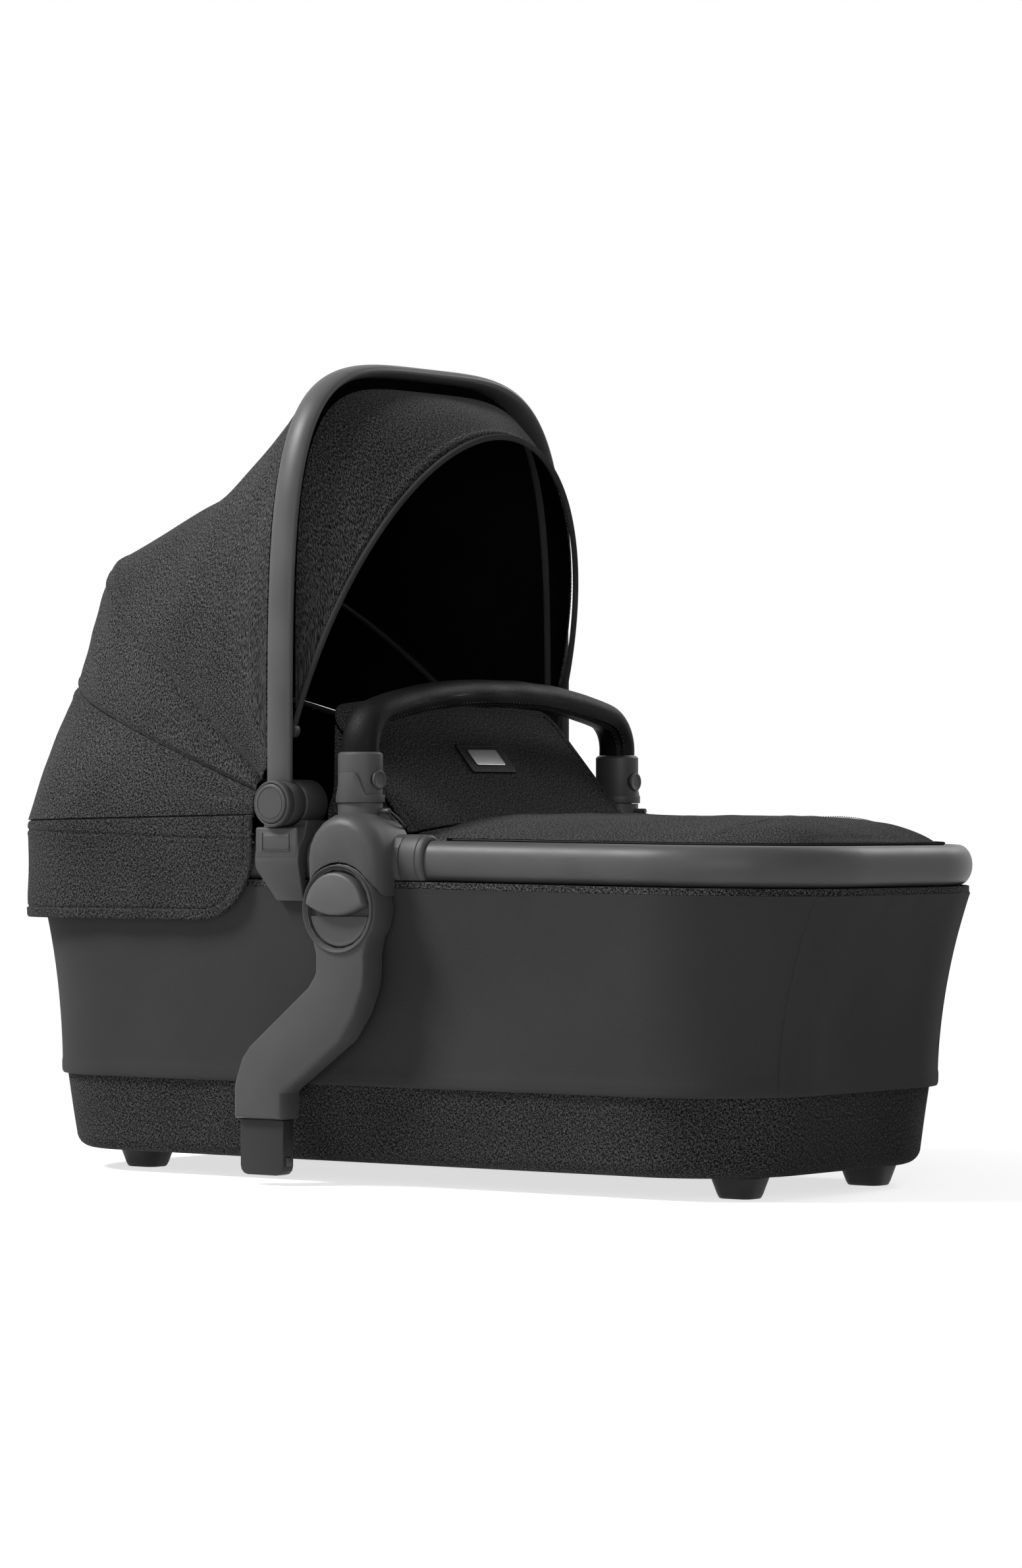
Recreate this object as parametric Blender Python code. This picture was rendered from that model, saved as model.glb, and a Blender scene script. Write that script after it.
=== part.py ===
"""Carrycot with a folding hood, a lift-off carry handle, a raised wind flap and plug-on chassis adaptors.

Metres, +Z up, +X towards the foot end, +Y to the left. The part stands on its four feet at z = 0.
The right side is modelled once as distances from the middle plane, and each pair is made by a loop.
"""
import math

import bmesh
import bpy
from mathutils import Vector

SIDES = (("left", 1), ("right", -1))
QUARTER = 90.0
HALFWAY = 0.5

# Clearances
GAP = 0.0003
RUNNING_GAP = 0.0005
OVERRUN = 0.02

# Rails
RAIL_FOOT_X = 0.437
RAIL_HEAD_X = -0.4308
RAIL_THICK = 0.025
RAIL_TALL = 0.035
RAIL_Y = 0.190
RAIL_Z = 0.283
RAIL_FOOT_DROP = 0.005
RAIL_FOOT_RADIUS = 0.130
RAIL_HEAD_RADIUS = 0.115

# Side cover and rim binding, hung from the rail
COVER_TUCK = 0.003
COVER_FLARE_FOOT = 0.038
COVER_FLARE_HEAD = 0.015
COVER_FLARE_SIDE = 0.0145
COVER_CORNER_SPREAD = 0.010
COVER_BOTTOM = 0.087
COVER_TOP_FOOT_X = RAIL_FOOT_X - COVER_TUCK
COVER_TOP_HEAD_X = RAIL_HEAD_X + COVER_TUCK
COVER_TOP_HALF = RAIL_Y + RAIL_THICK / 2
COVER_TOP_RADIUS = RAIL_FOOT_RADIUS + COVER_CORNER_SPREAD
COVER_FOOT_X = COVER_TOP_FOOT_X - COVER_FLARE_FOOT
COVER_HEAD_X = COVER_TOP_HEAD_X + COVER_FLARE_HEAD
COVER_HALF = COVER_TOP_HALF - COVER_FLARE_SIDE
COVER_RADIUS = 0.110
COVER_THICK = 0.002
COVER_FLARE_POWER = 2.0
BINDING_TALL = 0.006
BINDING_INSET = 0.0015
BINDING_THICK = 0.004

# Base tray, its woven cover and the feet
COVER_OVERHANG_END = 0.006
COVER_OVERHANG_SIDE = 0.004
BASE_BOTTOM = 0.019
BASE_TOP = COVER_BOTTOM - GAP
BASE_HEAD_X = COVER_HEAD_X + COVER_OVERHANG_END
BASE_FOOT_X = COVER_FOOT_X - COVER_OVERHANG_END
BASE_HALF = COVER_HALF - COVER_OVERHANG_SIDE
BASE_RADIUS = 0.110
BASE_LEAN = 0.008
BASE_EDGE = 0.014
BASE_EDGE_TURNS = (0.0, 30.0, 60.0, 90.0)
BASE_COVER_THICK = 0.0015
TRAY_THICK = 0.0025
FOOT_END_INSET = 0.1054
FOOT_SIDE_INSET = 0.0854
FOOT_CENTRE_X = (RAIL_FOOT_X + RAIL_HEAD_X) / 2
FOOT_PITCH_X = RAIL_FOOT_X - RAIL_HEAD_X - 2 * FOOT_END_INSET
FOOT_PITCH_Y = 2 * (BASE_HALF - FOOT_SIDE_INSET)
FOOT_LONG = 0.047
FOOT_WIDE = 0.040
FOOT_TAPER = 0.007
FOOT_EDGE = 0.004
FOOT_CORNER_SHARE = 0.7

# Tub wall, lining and mattress
WALL_THICK = 0.005
WALL_OUTSIDE = 0.004
WALL_TOP_HALF = RAIL_Y + WALL_OUTSIDE
LINING_CLEARANCE = 0.005
LINING_INSET = 0.029
LINING_ABOVE_RAIL = 0.002
LINING_TOP = RAIL_Z + LINING_ABOVE_RAIL
LINING_TOP_HALF = RAIL_Y - RAIL_THICK / 2 - LINING_CLEARANCE
LINING_HALF = BASE_HALF - LINING_INSET
LINING_THICK = 0.0015
MATTRESS_TALL = 0.042
MATTRESS_SIDE_ROOM = 0.007
MATTRESS_END_ROOM = 0.0334
MATTRESS_HALF = LINING_HALF - MATTRESS_SIDE_ROOM
MATTRESS_LONG = BASE_FOOT_X - BASE_HEAD_X - 2 * MATTRESS_END_ROOM
MATTRESS_EDGE = 0.012
MATTRESS_CROWN = 0.006
MATTRESS_WAIST = 0.004
MATTRESS_CORNER_SHARE = 0.75
MATTRESS_CROWN_SHARES = ((0.75, 0.3), (1.0, 0.68))

# Hubs, necks, spigots and rail collars
HUB_X = 0.006
HUB_RISE = 0.001
HUB_TOP_Z = RAIL_Z + HUB_RISE
HUB_TOP_RADIUS = 0.040
KNOB_DROP = 0.042
HUB_LOW_Z = RAIL_Z - KNOB_DROP
HUB_LOW_RADIUS = 0.038
HUB_INSIDE = 0.0135
HUB_INNER_Y = RAIL_Y - HUB_INSIDE
HUB_DOME_START = 0.025
HUB_WAIST_Y = RAIL_Y + HUB_DOME_START
HUB_OUTSIDE = 0.042
HUB_FACE_Y = RAIL_Y + HUB_OUTSIDE
HUB_DOME = 0.013
HUB_DOME_SWEEP = 82.0
HUB_INNER_EDGE = 0.003
NECK_SHIFT = 0.009
NECK_X = HUB_X - NECK_SHIFT
NECK_LONG = 0.042
NECK_WIDE = 0.034
NECK_RISE = 0.049
NECK_TOP = RAIL_Z + NECK_RISE
SPIGOT_LONG = 0.030
SPIGOT_WIDE = 0.022
SPIGOT_TALL = 0.030
SPIGOT_GROOVE_WIDE = 0.010
SPIGOT_GROOVE_DEEP = 0.005
SPIGOT_GROOVE_FLOOR = 0.012
STUB_THICK = 0.035
STUB_TALL = 0.045
STUB_FOOT_REACH = 0.0445
STUB_FOOT_X = HUB_X + STUB_FOOT_REACH
STUB_HEAD_REACH = 0.044
STUB_HEAD_X = HUB_X - STUB_HEAD_REACH
COLLAR_THICK = 0.033
COLLAR_TALL = 0.045
COLLAR_EDGE = 0.0025
FRONT_COLLAR_LONG = 0.025
REAR_COLLAR_LONG = 0.014
PEG_RADIUS = 0.0025
PEG_LONG = 0.011
PEG_DROP = 0.007
PEG_Z = NECK_TOP - PEG_DROP

# Hood hinge
HINGE_BEHIND_HUB = 0.083
HINGE_X = HUB_X - HINGE_BEHIND_HUB
HINGE_RISE = 0.0485
HINGE_Z = RAIL_Z + HINGE_RISE
HOUSING_RADIUS = 0.0208
HOUSING_INSIDE = 0.022
HOUSING_INNER_Y = RAIL_Y - HOUSING_INSIDE
HOUSING_OUTSIDE = 0.0072
HOUSING_OUTER_Y = RAIL_Y + HOUSING_OUTSIDE
BOW_FOOT_RADIUS = 0.020
BOW_FOOT_INNER_Y = HOUSING_OUTER_Y + GAP
BOW_FOOT_THICK = 0.0245
BOW_FOOT_FACE_Y = BOW_FOOT_INNER_Y + BOW_FOOT_THICK
HINGE_BEVEL = 0.0015
HINGE_BORE = 0.0043
HINGE_PIN_RADIUS = 0.0040
HINGE_PIN_INSIDE = 0.016
HINGE_PIN_SHORT = 0.0095
HINGE_PIN_INNER_Y = HOUSING_INNER_Y - HINGE_PIN_INSIDE
HINGE_PIN_OUTER_Y = BOW_FOOT_FACE_Y - HINGE_PIN_SHORT
BUTTON_RADIUS = 0.017
BUTTON_POCKET = 0.008
BUTTON_THICK = 0.006
BUTTON_PROUD = 0.0015
BUTTON_FACE_SHARE = 0.75

# Brackets that carry the hinge on the rear rail
BRACKET_LONG = 0.049
BRACKET_RADIUS = 0.025
BRACKET_DRUM_START = -20.0
BRACKET_DRUM_END = 50.0
BRACKET_INSIDE = 0.0162
BRACKET_INNER_Y = RAIL_Y - BRACKET_INSIDE
BRACKET_TOP_DROP = 0.0145
BRACKET_TOP = HINGE_Z - BRACKET_TOP_DROP
BRACKET_LEG_DROP = 0.011
BRACKET_LEG_Z = RAIL_Z - BRACKET_LEG_DROP
BRACKET_LIP_DROP = 0.036
BRACKET_LIP_Z = RAIL_Z - BRACKET_LIP_DROP
BRACKET_LIP_THICK = 0.004
BRACKET_SKIN_GAP = 0.0009
BRACKET_SKIN_Y = COVER_TOP_HALF + BRACKET_SKIN_GAP
BRACKET_EDGE = 0.0015
INSERT_LONG = 0.030
INSERT_TALL = 0.012
INSERT_THICK = 0.0016
INSERT_RISE_SHARE = 0.35

# Hood bows
BOW_SHIFT = 0.005
BOW_X = HINGE_X - BOW_SHIFT
BOW_DEEP = 0.027
BOW_THICK = 0.012
BOW_OUTSIDE = 0.0135
BOW_HALF = RAIL_Y + BOW_OUTSIDE
BOW_RISE = 0.387
BOW_POWER = 4.3
BOW_START = BOW_FOOT_RADIUS / 4
WIRE_RADIUS = 0.003
MID_BOW_INSET = 0.0105
MID_HALF = BOW_HALF - MID_BOW_INSET
MID_RISE = 0.350
MID_POWER = 3.97
MID_ANGLE = 50.0
EYELET_CLEARANCE = 0.004
EYELET_SPACING = 0.006
MID_FOOT_Y = HOUSING_INNER_Y - EYELET_CLEARANCE
REAR_BOW_INSET = 0.0175
REAR_HALF = BOW_HALF - REAR_BOW_INSET
REAR_RISE = 0.337
REAR_POWER = 3.5
REAR_ANGLE = 70.0
REAR_FOOT_Y = MID_FOOT_Y - EYELET_SPACING
EYELET_RADIUS = 0.008
EYELET_THICK = 0.005
WIRE_FLARE = 0.075

# Hood fabric: arches about the hinge, at these angles back from upright
PANEL_THICK = 0.003
PANEL_START = 0.032
PANEL_FAN_STEP = 0.003
PANEL_FRONT_PROUD = 0.0025
PANEL_FRONT_HALF = BOW_HALF + PANEL_FRONT_PROUD
PANEL_FRONT_BELOW = 0.0025
PANEL_FRONT_RISE = BOW_RISE - PANEL_FRONT_BELOW
PANEL_OVER_WIRE = 0.010
PANEL_HALF = MID_HALF + PANEL_OVER_WIRE
PANEL_MID_PROUD = 0.0065
PANEL_MID_RISE = MID_RISE + PANEL_MID_PROUD
PANEL_SWELL_DROP = 0.0175
PANEL_SWELL_RISE = PANEL_MID_RISE - PANEL_SWELL_DROP
PANEL_DIP_ANGLE = 20.0
PANEL_DIP_DROP = 0.016
PANEL_DIP_RISE = PANEL_SWELL_RISE - PANEL_DIP_DROP
PANEL_DIP_POWER = 4.1
PANEL_SWELL_ANGLE = 40.0
PANEL_SWELL_POWER = 3.5
PANEL_REAR_PROUD = 0.007
PANEL_REAR_RISE = REAR_RISE + PANEL_REAR_PROUD
PANEL_OVER_REAR_WIRE = 0.019
PANEL_REAR_HALF = REAR_HALF + PANEL_OVER_REAR_WIRE
SKIRT_OUTSIDE = 0.0175
SKIRT_HALF = RAIL_Y + SKIRT_OUTSIDE
SKIRT_BEHIND_HINGE = 0.033
SKIRT_FRONT_X = HINGE_X - SKIRT_BEHIND_HINGE
SKIRT_RADIUS = 0.111
SKIRT_THICK = 0.0045
SKIRT_HEAD_X = RAIL_HEAD_X - SKIRT_THICK - RUNNING_GAP
SKIRT_HEAD_DROP = 0.015
SKIRT_TOP_HEAD = HINGE_Z - SKIRT_HEAD_DROP
SKIRT_FRONT_DROP = 0.009
SKIRT_TOP_FRONT = HINGE_Z - SKIRT_FRONT_DROP
SKIRT_TALL = 0.0875
SKIRT_HEM = SKIRT_TOP_HEAD - SKIRT_TALL
SKIRT_CORNER = 0.060
SKIRT_FOLD_TALL = 0.009
SKIRT_FOLD_PROUD = 0.0012
SKIRT_SIDE_SHARES = (0.0, 0.08, 0.16, 0.24, 0.6)

# Visor
VISOR_PIVOT_RISE = 0.0635
VISOR_Z = HINGE_Z + VISOR_PIVOT_RISE
VISOR_TILT = 18.5
VISOR_LONG = 0.278
VISOR_INSIDE_BOW = 0.012
VISOR_HALF = BOW_HALF - VISOR_INSIDE_BOW
VISOR_POWER = 2.0
VISOR_WIRE_RADIUS = 0.0025
VISOR_EYELET_RADIUS = 0.006
VISOR_EYELET_THICK = 0.006
VISOR_EYELET_BORE = 0.0023
VISOR_PIN_RADIUS = 0.0020
VISOR_PIN_HEAD_RADIUS = 0.0042
VISOR_PIN_HEAD_THICK = 0.0015
VISOR_ROOT_INSET = 0.003
VISOR_ROOT_HALF = VISOR_HALF - VISOR_ROOT_INSET
VISOR_ROOT_DROP = 0.016
VISOR_ROOT_RISE = BOW_RISE - VISOR_ROOT_DROP
VISOR_THICK = 0.0025
VISOR_BULGE = 0.006
VISOR_START = 0.020
VISOR_ROW_SHARES = (0.0, 0.33, 0.67, 1.0)
VISOR_WIRE_START_SHARE = 0.75

# Carry handle
HANDLE_THICK = 0.025
HANDLE_WIDE = 0.036
HANDLE_CORNER = 0.032
HANDLE_CORNER_SWEEP = 75.0
HANDLE_CROWN_POWER = 2.4
HANDLE_CROWN_SHARES = (0.8, 0.6, 0.4, 0.2)
SLEEVE_TALL = 0.044
SLEEVE_TOP = NECK_TOP + SLEEVE_TALL
HANDLE_CROWN_RISE = 0.054
HANDLE_RISE = SLEEVE_TOP + HANDLE_CROWN_RISE
HANDLE_CORNER_RISE = 0.005
HANDLE_CORNER_Z = SLEEVE_TOP + HANDLE_CORNER_RISE
SLEEVE_ROOF = 0.010
SLEEVE_EDGE = 0.002
SLEEVE_RING_THICK = 0.0014
SLEEVE_RING_TALL = 0.007
SLEEVE_TAB_TALL = 0.026
SLEEVE_TAB_WIDE = 0.021
HANDLE_BUTTON_DROP = 0.024
HANDLE_BUTTON_Z = SLEEVE_TOP - HANDLE_BUTTON_DROP
HANDLE_BUTTON_RADIUS = 0.0085
HANDLE_BUTTON_THICK = 0.0028
HANDLE_BUTTON_PROUD = 0.0020
HANDLE_BUTTON_TRAVEL = 0.002
HANDLE_SHANK_RADIUS = 0.004
HANDLE_SHANK_REACH = 0.0015

# Chassis adaptors
ARM_CLEARANCE = 0.0005
ARM_INNER_Y = COVER_TOP_HALF + ARM_CLEARANCE
ARM_FACE_Y = HUB_FACE_Y
ARM_EDGE = 0.0035
ARM_HEAD_RADIUS = 0.0395
ARM_HEAD_OPENING = 12.0
ARM_BEND_SHARE = 1 / 6
ARM_HOLLOW_SHARES = ((0.30, 0.55), (0.12, 0.29), (0.02, 0.05))
ARM_SHIN_SOFT_SHARE = 0.75
ARM_CREST_GAP = 0.0008
TONGUE_LONG = 0.024
TONGUE_THICK = 0.014
TONGUE_TALL = 0.059
TONGUE_TOP = HUB_LOW_Z + TONGUE_TALL
ARM_BOTTOM = 0.058
ARM_NECK_LEFT = 0.026
ARM_NECK_LEFT_X = HUB_X - ARM_NECK_LEFT
ARM_NECK_RIGHT = 0.027
ARM_NECK_RIGHT_X = HUB_X + ARM_NECK_RIGHT
ARM_NECK_DROP = 0.035
ARM_NECK_TOP_Z = HUB_LOW_Z - ARM_NECK_DROP
ARM_KNEE_LEFT_DROP = 0.059
ARM_KNEE_LEFT_Z = HUB_LOW_Z - ARM_KNEE_LEFT_DROP
ARM_KNEE_RIGHT_DROP = 0.063
ARM_KNEE_RIGHT_Z = HUB_LOW_Z - ARM_KNEE_RIGHT_DROP
ARM_CRANK = 0.117
ARM_SHIN_LEFT_X = HUB_X - ARM_CRANK
ARM_SHIN_WIDE = 0.052
ARM_SHIN_RIGHT_X = ARM_SHIN_LEFT_X + ARM_SHIN_WIDE
ARM_SHIN_LEFT_DROP = 0.137
ARM_SHIN_LEFT_Z = HUB_LOW_Z - ARM_SHIN_LEFT_DROP
ARM_SHIN_RIGHT_DROP = 0.156
ARM_SHIN_RIGHT_Z = HUB_LOW_Z - ARM_SHIN_RIGHT_DROP
PLUG_LONG = 0.048
PLUG_THICK = 0.015
PLUG_TALL = 0.049
PLUG_BOTTOM = ARM_BOTTOM - PLUG_TALL
PLUG_EDGE = 0.002
PLUG_CORNER = 0.008
CATCH_ABOVE_TIP = 0.012
CATCH_Z = PLUG_BOTTOM + CATCH_ABOVE_TIP
CATCH_TALL = 0.008
CATCH_THICK = 0.007
CATCH_LONG = 0.010
CATCH_PROUD = 0.002
CATCH_TRAVEL = 0.0025
RIM_WIDE = 0.004
KNOB_RECESS_RADIUS = 0.034
KNOB_RADIUS = KNOB_RECESS_RADIUS + RIM_WIDE
KNOB_RECESS_DEEP = 0.006
RIM_PROUD = 0.0025
RIM_EDGE = 0.0015
PADDLE_CLEARANCE = 0.0025
PADDLE_RADIUS = KNOB_RECESS_RADIUS - PADDLE_CLEARANCE
PADDLE_LOW_DROP = 0.0055
PADDLE_LOW_Z = HUB_LOW_Z - PADDLE_LOW_DROP
PADDLE_SIDE_RISE = 0.004
PADDLE_SIDE_Z = HUB_LOW_Z + PADDLE_SIDE_RISE
PADDLE_AXIS_RISE = 0.0295
PADDLE_AXIS_Z = HUB_LOW_Z + PADDLE_AXIS_RISE
PADDLE_PROUD = 0.008
PADDLE_SEAT = 3 * GAP
PADDLE_EDGE = 0.003
PADDLE_LOW_SHARES = (-0.8, -0.5, -0.17, 0.17, 0.5, 0.8)

# Apron, wind flap and label
APRON_AHEAD_OF_HUB = 0.028
APRON_X = HUB_X + APRON_AHEAD_OF_HUB
APRON_EDGE_RISE = 0.015
APRON_EDGE_Z = RAIL_Z + APRON_EDGE_RISE
APRON_DOME = 0.0255
APRON_CROWN = APRON_EDGE_Z + APRON_DOME
APRON_THICK = 0.0025
APRON_CROWN_POWER = 3.0
APRON_ROW_SHARES = (0.0, 0.2, 0.4, 0.6, 0.8)
APRON_COLUMN_SHARES = (-1.0, -0.95, -0.85, -0.68, -0.45, -0.2, 0.0, 0.2, 0.45, 0.68, 0.85, 0.95, 1.0)
BAND_TALL = 0.011
BAND_THICK = 0.003
BAND_LOW_SHARE = 0.5
BAND_BEHIND_COLLAR = 0.0065
BAND_START_X = STUB_FOOT_X + FRONT_COLLAR_LONG + BAND_BEHIND_COLLAR
FLAP_SIDE_RISE = 0.008
FLAP_SIDE_Z = APRON_EDGE_Z + FLAP_SIDE_RISE
FLAP_MID_RISE = 0.0195
FLAP_MID_Z = APRON_EDGE_Z + FLAP_MID_RISE
FLAP_LEAN = 41.0
FLAP_LONG = 0.145
FLAP_INSIDE = 0.022
FLAP_HALF = RAIL_Y - FLAP_INSIDE
FLAP_TAPER = 0.005
FLAP_TOP_HALF = FLAP_HALF - FLAP_TAPER
FLAP_THICK = 0.0030
FLAP_CORNER = 0.022
FLAP_ROW_SHARES = (0.0, 0.2, 0.45, 0.7, 0.88, 1.0)
FLAP_X = APRON_X - GAP - FLAP_THICK / 2 * math.cos(math.radians(FLAP_LEAN))
WING_BACK_REACH = 0.058
WING_END_X = HUB_X - WING_BACK_REACH
WING_END_RISE = 0.043
WING_END_Z = APRON_EDGE_Z + WING_END_RISE
WING_LOW_RISE = 0.0095
WING_LOW_Z = APRON_EDGE_Z + WING_LOW_RISE
WING_THICK = 0.002
WING_OUT = 0.004
WING_SHARES = (0.0, 0.25, 0.5, 0.75, 1.0)
PATCH_WIDE = 0.065
PATCH_TALL = 0.033
PATCH_THICK = 0.0015
LABEL_CORNER_SHARE = 0.1
PATCH_UP = 0.070
PLATE_WIDE = 0.042
PLATE_TALL = 0.018
PLATE_THICK = 0.0008

# Heights at which the side cover and the tub wall are measured
HEIGHT_SHARES = (0.0, 0.25, 0.5, 0.75, 1.0)

# Counts that set how finely the curves are cut
CORNER_STEPS = 5
RAIL_CORNER_STEPS = 6
HUB_ARC_STEPS = 10
HEAD_ARC_STEPS = 14
ARM_HEAD_STEPS = HEAD_ARC_STEPS + 4
DOME_STEPS = 4
ARCH_STEPS = 20
BOW_STEPS = ARCH_STEPS + 4
TUBE_SIDES = 10
WIRE_SIDES = 6
ROUND_SIDES = 20
SPIGOT_SIDES = ROUND_SIDES - 4
SLEEVE_RING_SIDES = ROUND_SIDES + 12
SMALL_SIDES = 2 * WIRE_SIDES
RAIL_SIDES = TUBE_SIDES + 2
SMALL_CORNER_STEPS = 2
PLUG_CORNER_STEPS = 3
FOOT_CORNER_STEPS = 4
BRACKET_DRUM_STEPS = 6
WIRE_FOOT_STEPS = 8
FLAP_STEPS = 12
SMOOTH_ANGLE = 40.0
MITRE_LIMIT = 0.4

# Colours as red, green and blue shares, with roughness and metal share
CHARCOAL_PLASTIC = ((0.085, 0.085, 0.088), 0.55, 0.0)
COATED_METAL = ((0.075, 0.075, 0.078), 0.38, 0.6)
SOFTSHELL_FABRIC = ((0.035, 0.035, 0.036), 0.85, 0.0)
MELANGE_TWILL = ((0.028, 0.028, 0.029), 0.95, 0.0)
LINING_FABRIC = ((0.012, 0.012, 0.013), 0.95, 0.0)
BLACK_LEATHER = ((0.018, 0.018, 0.018), 0.5, 0.0)
DARK_PLASTIC = ((0.03, 0.03, 0.03), 0.5, 0.0)
BARE_STEEL = ((0.45, 0.45, 0.46), 0.3, 1.0)
MATTRESS_COVER = ((0.6, 0.6, 0.58), 0.9, 0.0)


def clear_scene():
    """Remove every object of the scene the script runs in."""
    for found in list(bpy.data.objects):
        bpy.data.objects.remove(found, do_unlink=True)


def make_material(name, look):
    """Principled material in one flat colour."""
    colour, roughness, metallic = look
    material = bpy.data.materials.new(name)
    material.use_nodes = True
    shader = material.node_tree.nodes["Principled BSDF"]
    shader.inputs["Base Color"].default_value = (*colour, 1.0)
    shader.inputs["Roughness"].default_value = roughness
    shader.inputs["Metallic"].default_value = metallic
    material.diffuse_color = (*colour, 1.0)
    return material


def finish_object(name, mesh, material, parent=None, smooth=True):
    """Object of a finished mesh, with its origin on its parent's when it has one."""
    if smooth:
        mesh.shade_smooth()
        mesh.set_sharp_from_angle(angle=math.radians(SMOOTH_ANGLE))
    mesh.materials.clear()
    mesh.materials.append(material)
    made = bpy.data.objects.new(name, mesh)
    bpy.context.collection.objects.link(made)
    if parent:
        mesh.transform(parent.matrix_world.inverted())
        made.parent = parent
    return made


def mesh_of_rings(name, rings, closed=False):
    """Mesh of the walls between like rings of points, capped at both ends unless it is closed on itself."""
    work = bmesh.new()
    rows = [[work.verts.new(point) for point in ring] for ring in rings]
    pairs = list(zip(rows, rows[1:]))
    if closed:
        pairs.append((rows[-1], rows[0]))
    for lower, upper in pairs:
        for index, corner in enumerate(lower):
            follow = (index + 1) % len(lower)
            work.faces.new((corner, lower[follow], upper[follow], upper[index]))
    if not closed:
        work.faces.new(list(reversed(rows[0])))
        work.faces.new(rows[-1])
    bmesh.ops.recalc_face_normals(work, faces=work.faces)
    mesh = bpy.data.meshes.new(name)
    work.to_mesh(mesh)
    work.free()
    return mesh


def mesh_of_sheet(name, outer, inner):
    """Closed mesh of a sheet, from its outer and its inner grid of points (rows of equal length)."""
    work = bmesh.new()
    faces = []
    grids = []
    for grid in (outer, inner):
        grids.append([[work.verts.new(point) for point in row] for row in grid])
    for grid, turned in zip(grids, (False, True)):
        for row, follow in zip(grid, grid[1:]):
            for index in range(len(row) - 1):
                corners = (row[index], row[index + 1], follow[index + 1], follow[index])
                faces.append(corners[::-1] if turned else corners)
    front, back = grids
    rims = [(front[0], back[0]), (back[-1], front[-1])]
    rims.append(([row[0] for row in back], [row[0] for row in front]))
    rims.append(([row[-1] for row in front], [row[-1] for row in back]))
    for first, second in rims:
        for index in range(len(first) - 1):
            faces.append((first[index], second[index], second[index + 1], first[index + 1]))
    for corners in faces:
        work.faces.new(corners)
    bmesh.ops.recalc_face_normals(work, faces=work.faces)
    mesh = bpy.data.meshes.new(name)
    work.to_mesh(mesh)
    work.free()
    return mesh


def combined_mesh(mesh, tools):
    """Mesh after exact Booleans with the given (operation, mesh) tools."""
    body = bpy.data.objects.new("body_of_cut", mesh)
    bpy.context.collection.objects.link(body)
    helpers = []
    for index, (operation, tool_mesh) in enumerate(tools):
        helper = bpy.data.objects.new(f"tool_{index}", tool_mesh)
        helper.hide_render = True
        helper.display_type = "WIRE"
        bpy.context.collection.objects.link(helper)
        modifier = body.modifiers.new(f"cut_{index}", "BOOLEAN")
        modifier.operation = operation
        modifier.solver = "EXACT"
        modifier.object = helper
        helpers.append(helper)
    bpy.context.view_layer.update()
    evaluated = body.evaluated_get(bpy.context.evaluated_depsgraph_get())
    result = bpy.data.meshes.new_from_object(evaluated)
    for helper in [body, *helpers]:
        bpy.data.objects.remove(helper, do_unlink=True)
    return result


def arc(centre, radius, start, end, steps):
    """Points of an arc in a plane, from one angle to the other in degrees."""
    turns = [math.radians(start + (end - start) * index / steps) for index in range(steps + 1)]
    return [(centre[0] + radius * math.cos(turn), centre[1] + radius * math.sin(turn)) for turn in turns]


def rounded_outline(low, high, radii, steps=CORNER_STEPS):
    """Rectangle between two corners, anticlockwise, with radii at high-high, low-high, low-low, high-low."""
    (x0, y0), (x1, y1) = low, high
    r1, r2, r3, r4 = radii
    outline = arc((x1 - r1, y1 - r1), r1, 0, QUARTER, steps)
    outline += arc((x0 + r2, y1 - r2), r2, QUARTER, 2 * QUARTER, steps)
    outline += arc((x0 + r3, y0 + r3), r3, 2 * QUARTER, 3 * QUARTER, steps)
    outline += arc((x1 - r4, y0 + r4), r4, 3 * QUARTER, 4 * QUARTER, steps)
    return outline


def plan_ring(head_x, foot_x, half, head_radius, foot_radius, height, inset=0.0):
    """Level ring of the body seen from above; height is a number or a function of x."""
    radii = (foot_radius - inset, head_radius - inset, head_radius - inset, foot_radius - inset)
    outline = rounded_outline((head_x + inset, inset - half), (foot_x - inset, half - inset), radii)
    level = height if callable(height) else lambda x: height
    return [Vector((x, y, level(x))) for x, y in outline]


def ellipse(half_first, half_second, sides):
    """Points of an ellipse round zero."""
    turns = [2.0 * math.pi * index / sides for index in range(sides)]
    return [(half_first * math.cos(turn), half_second * math.sin(turn)) for turn in turns]


def tube_rings(path, across, section):
    """Rings of a section carried along a path: first value square to the path, second along across."""
    rings = []
    for index, point in enumerate(path):
        before = path[max(index - 1, 0)]
        after = path[min(index + 1, len(path) - 1)]
        ahead = (after - before).normalized()
        side = ahead.cross(across).normalized()
        rings.append([point + side * first + across * second for first, second in section])
    return rings


def turned_rings(centre, axis, profile, sides=ROUND_SIDES):
    """Rings of a profile of (distance along the axis, radius) turned about it."""
    axis = Vector(axis).normalized()
    first = axis.orthogonal().normalized()
    second = axis.cross(first)
    rings = []
    for along, radius in profile:
        heart = Vector(centre) + axis * along
        rings.append([heart + first * a + second * b for a, b in ellipse(radius, radius, sides)])
    return rings


def cylinder_mesh(name, centre, axis, start, end, radius, edge=0.0, sides=ROUND_SIDES):
    """Solid cylinder between two distances along its axis, with chamfered rims."""
    profile = [(start, radius), (end, radius)]
    if edge:
        profile = [(start, radius - edge), (start + edge, radius), (end - edge, radius), (end, radius - edge)]
    return mesh_of_rings(name, turned_rings(centre, axis, profile, sides))


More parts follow.
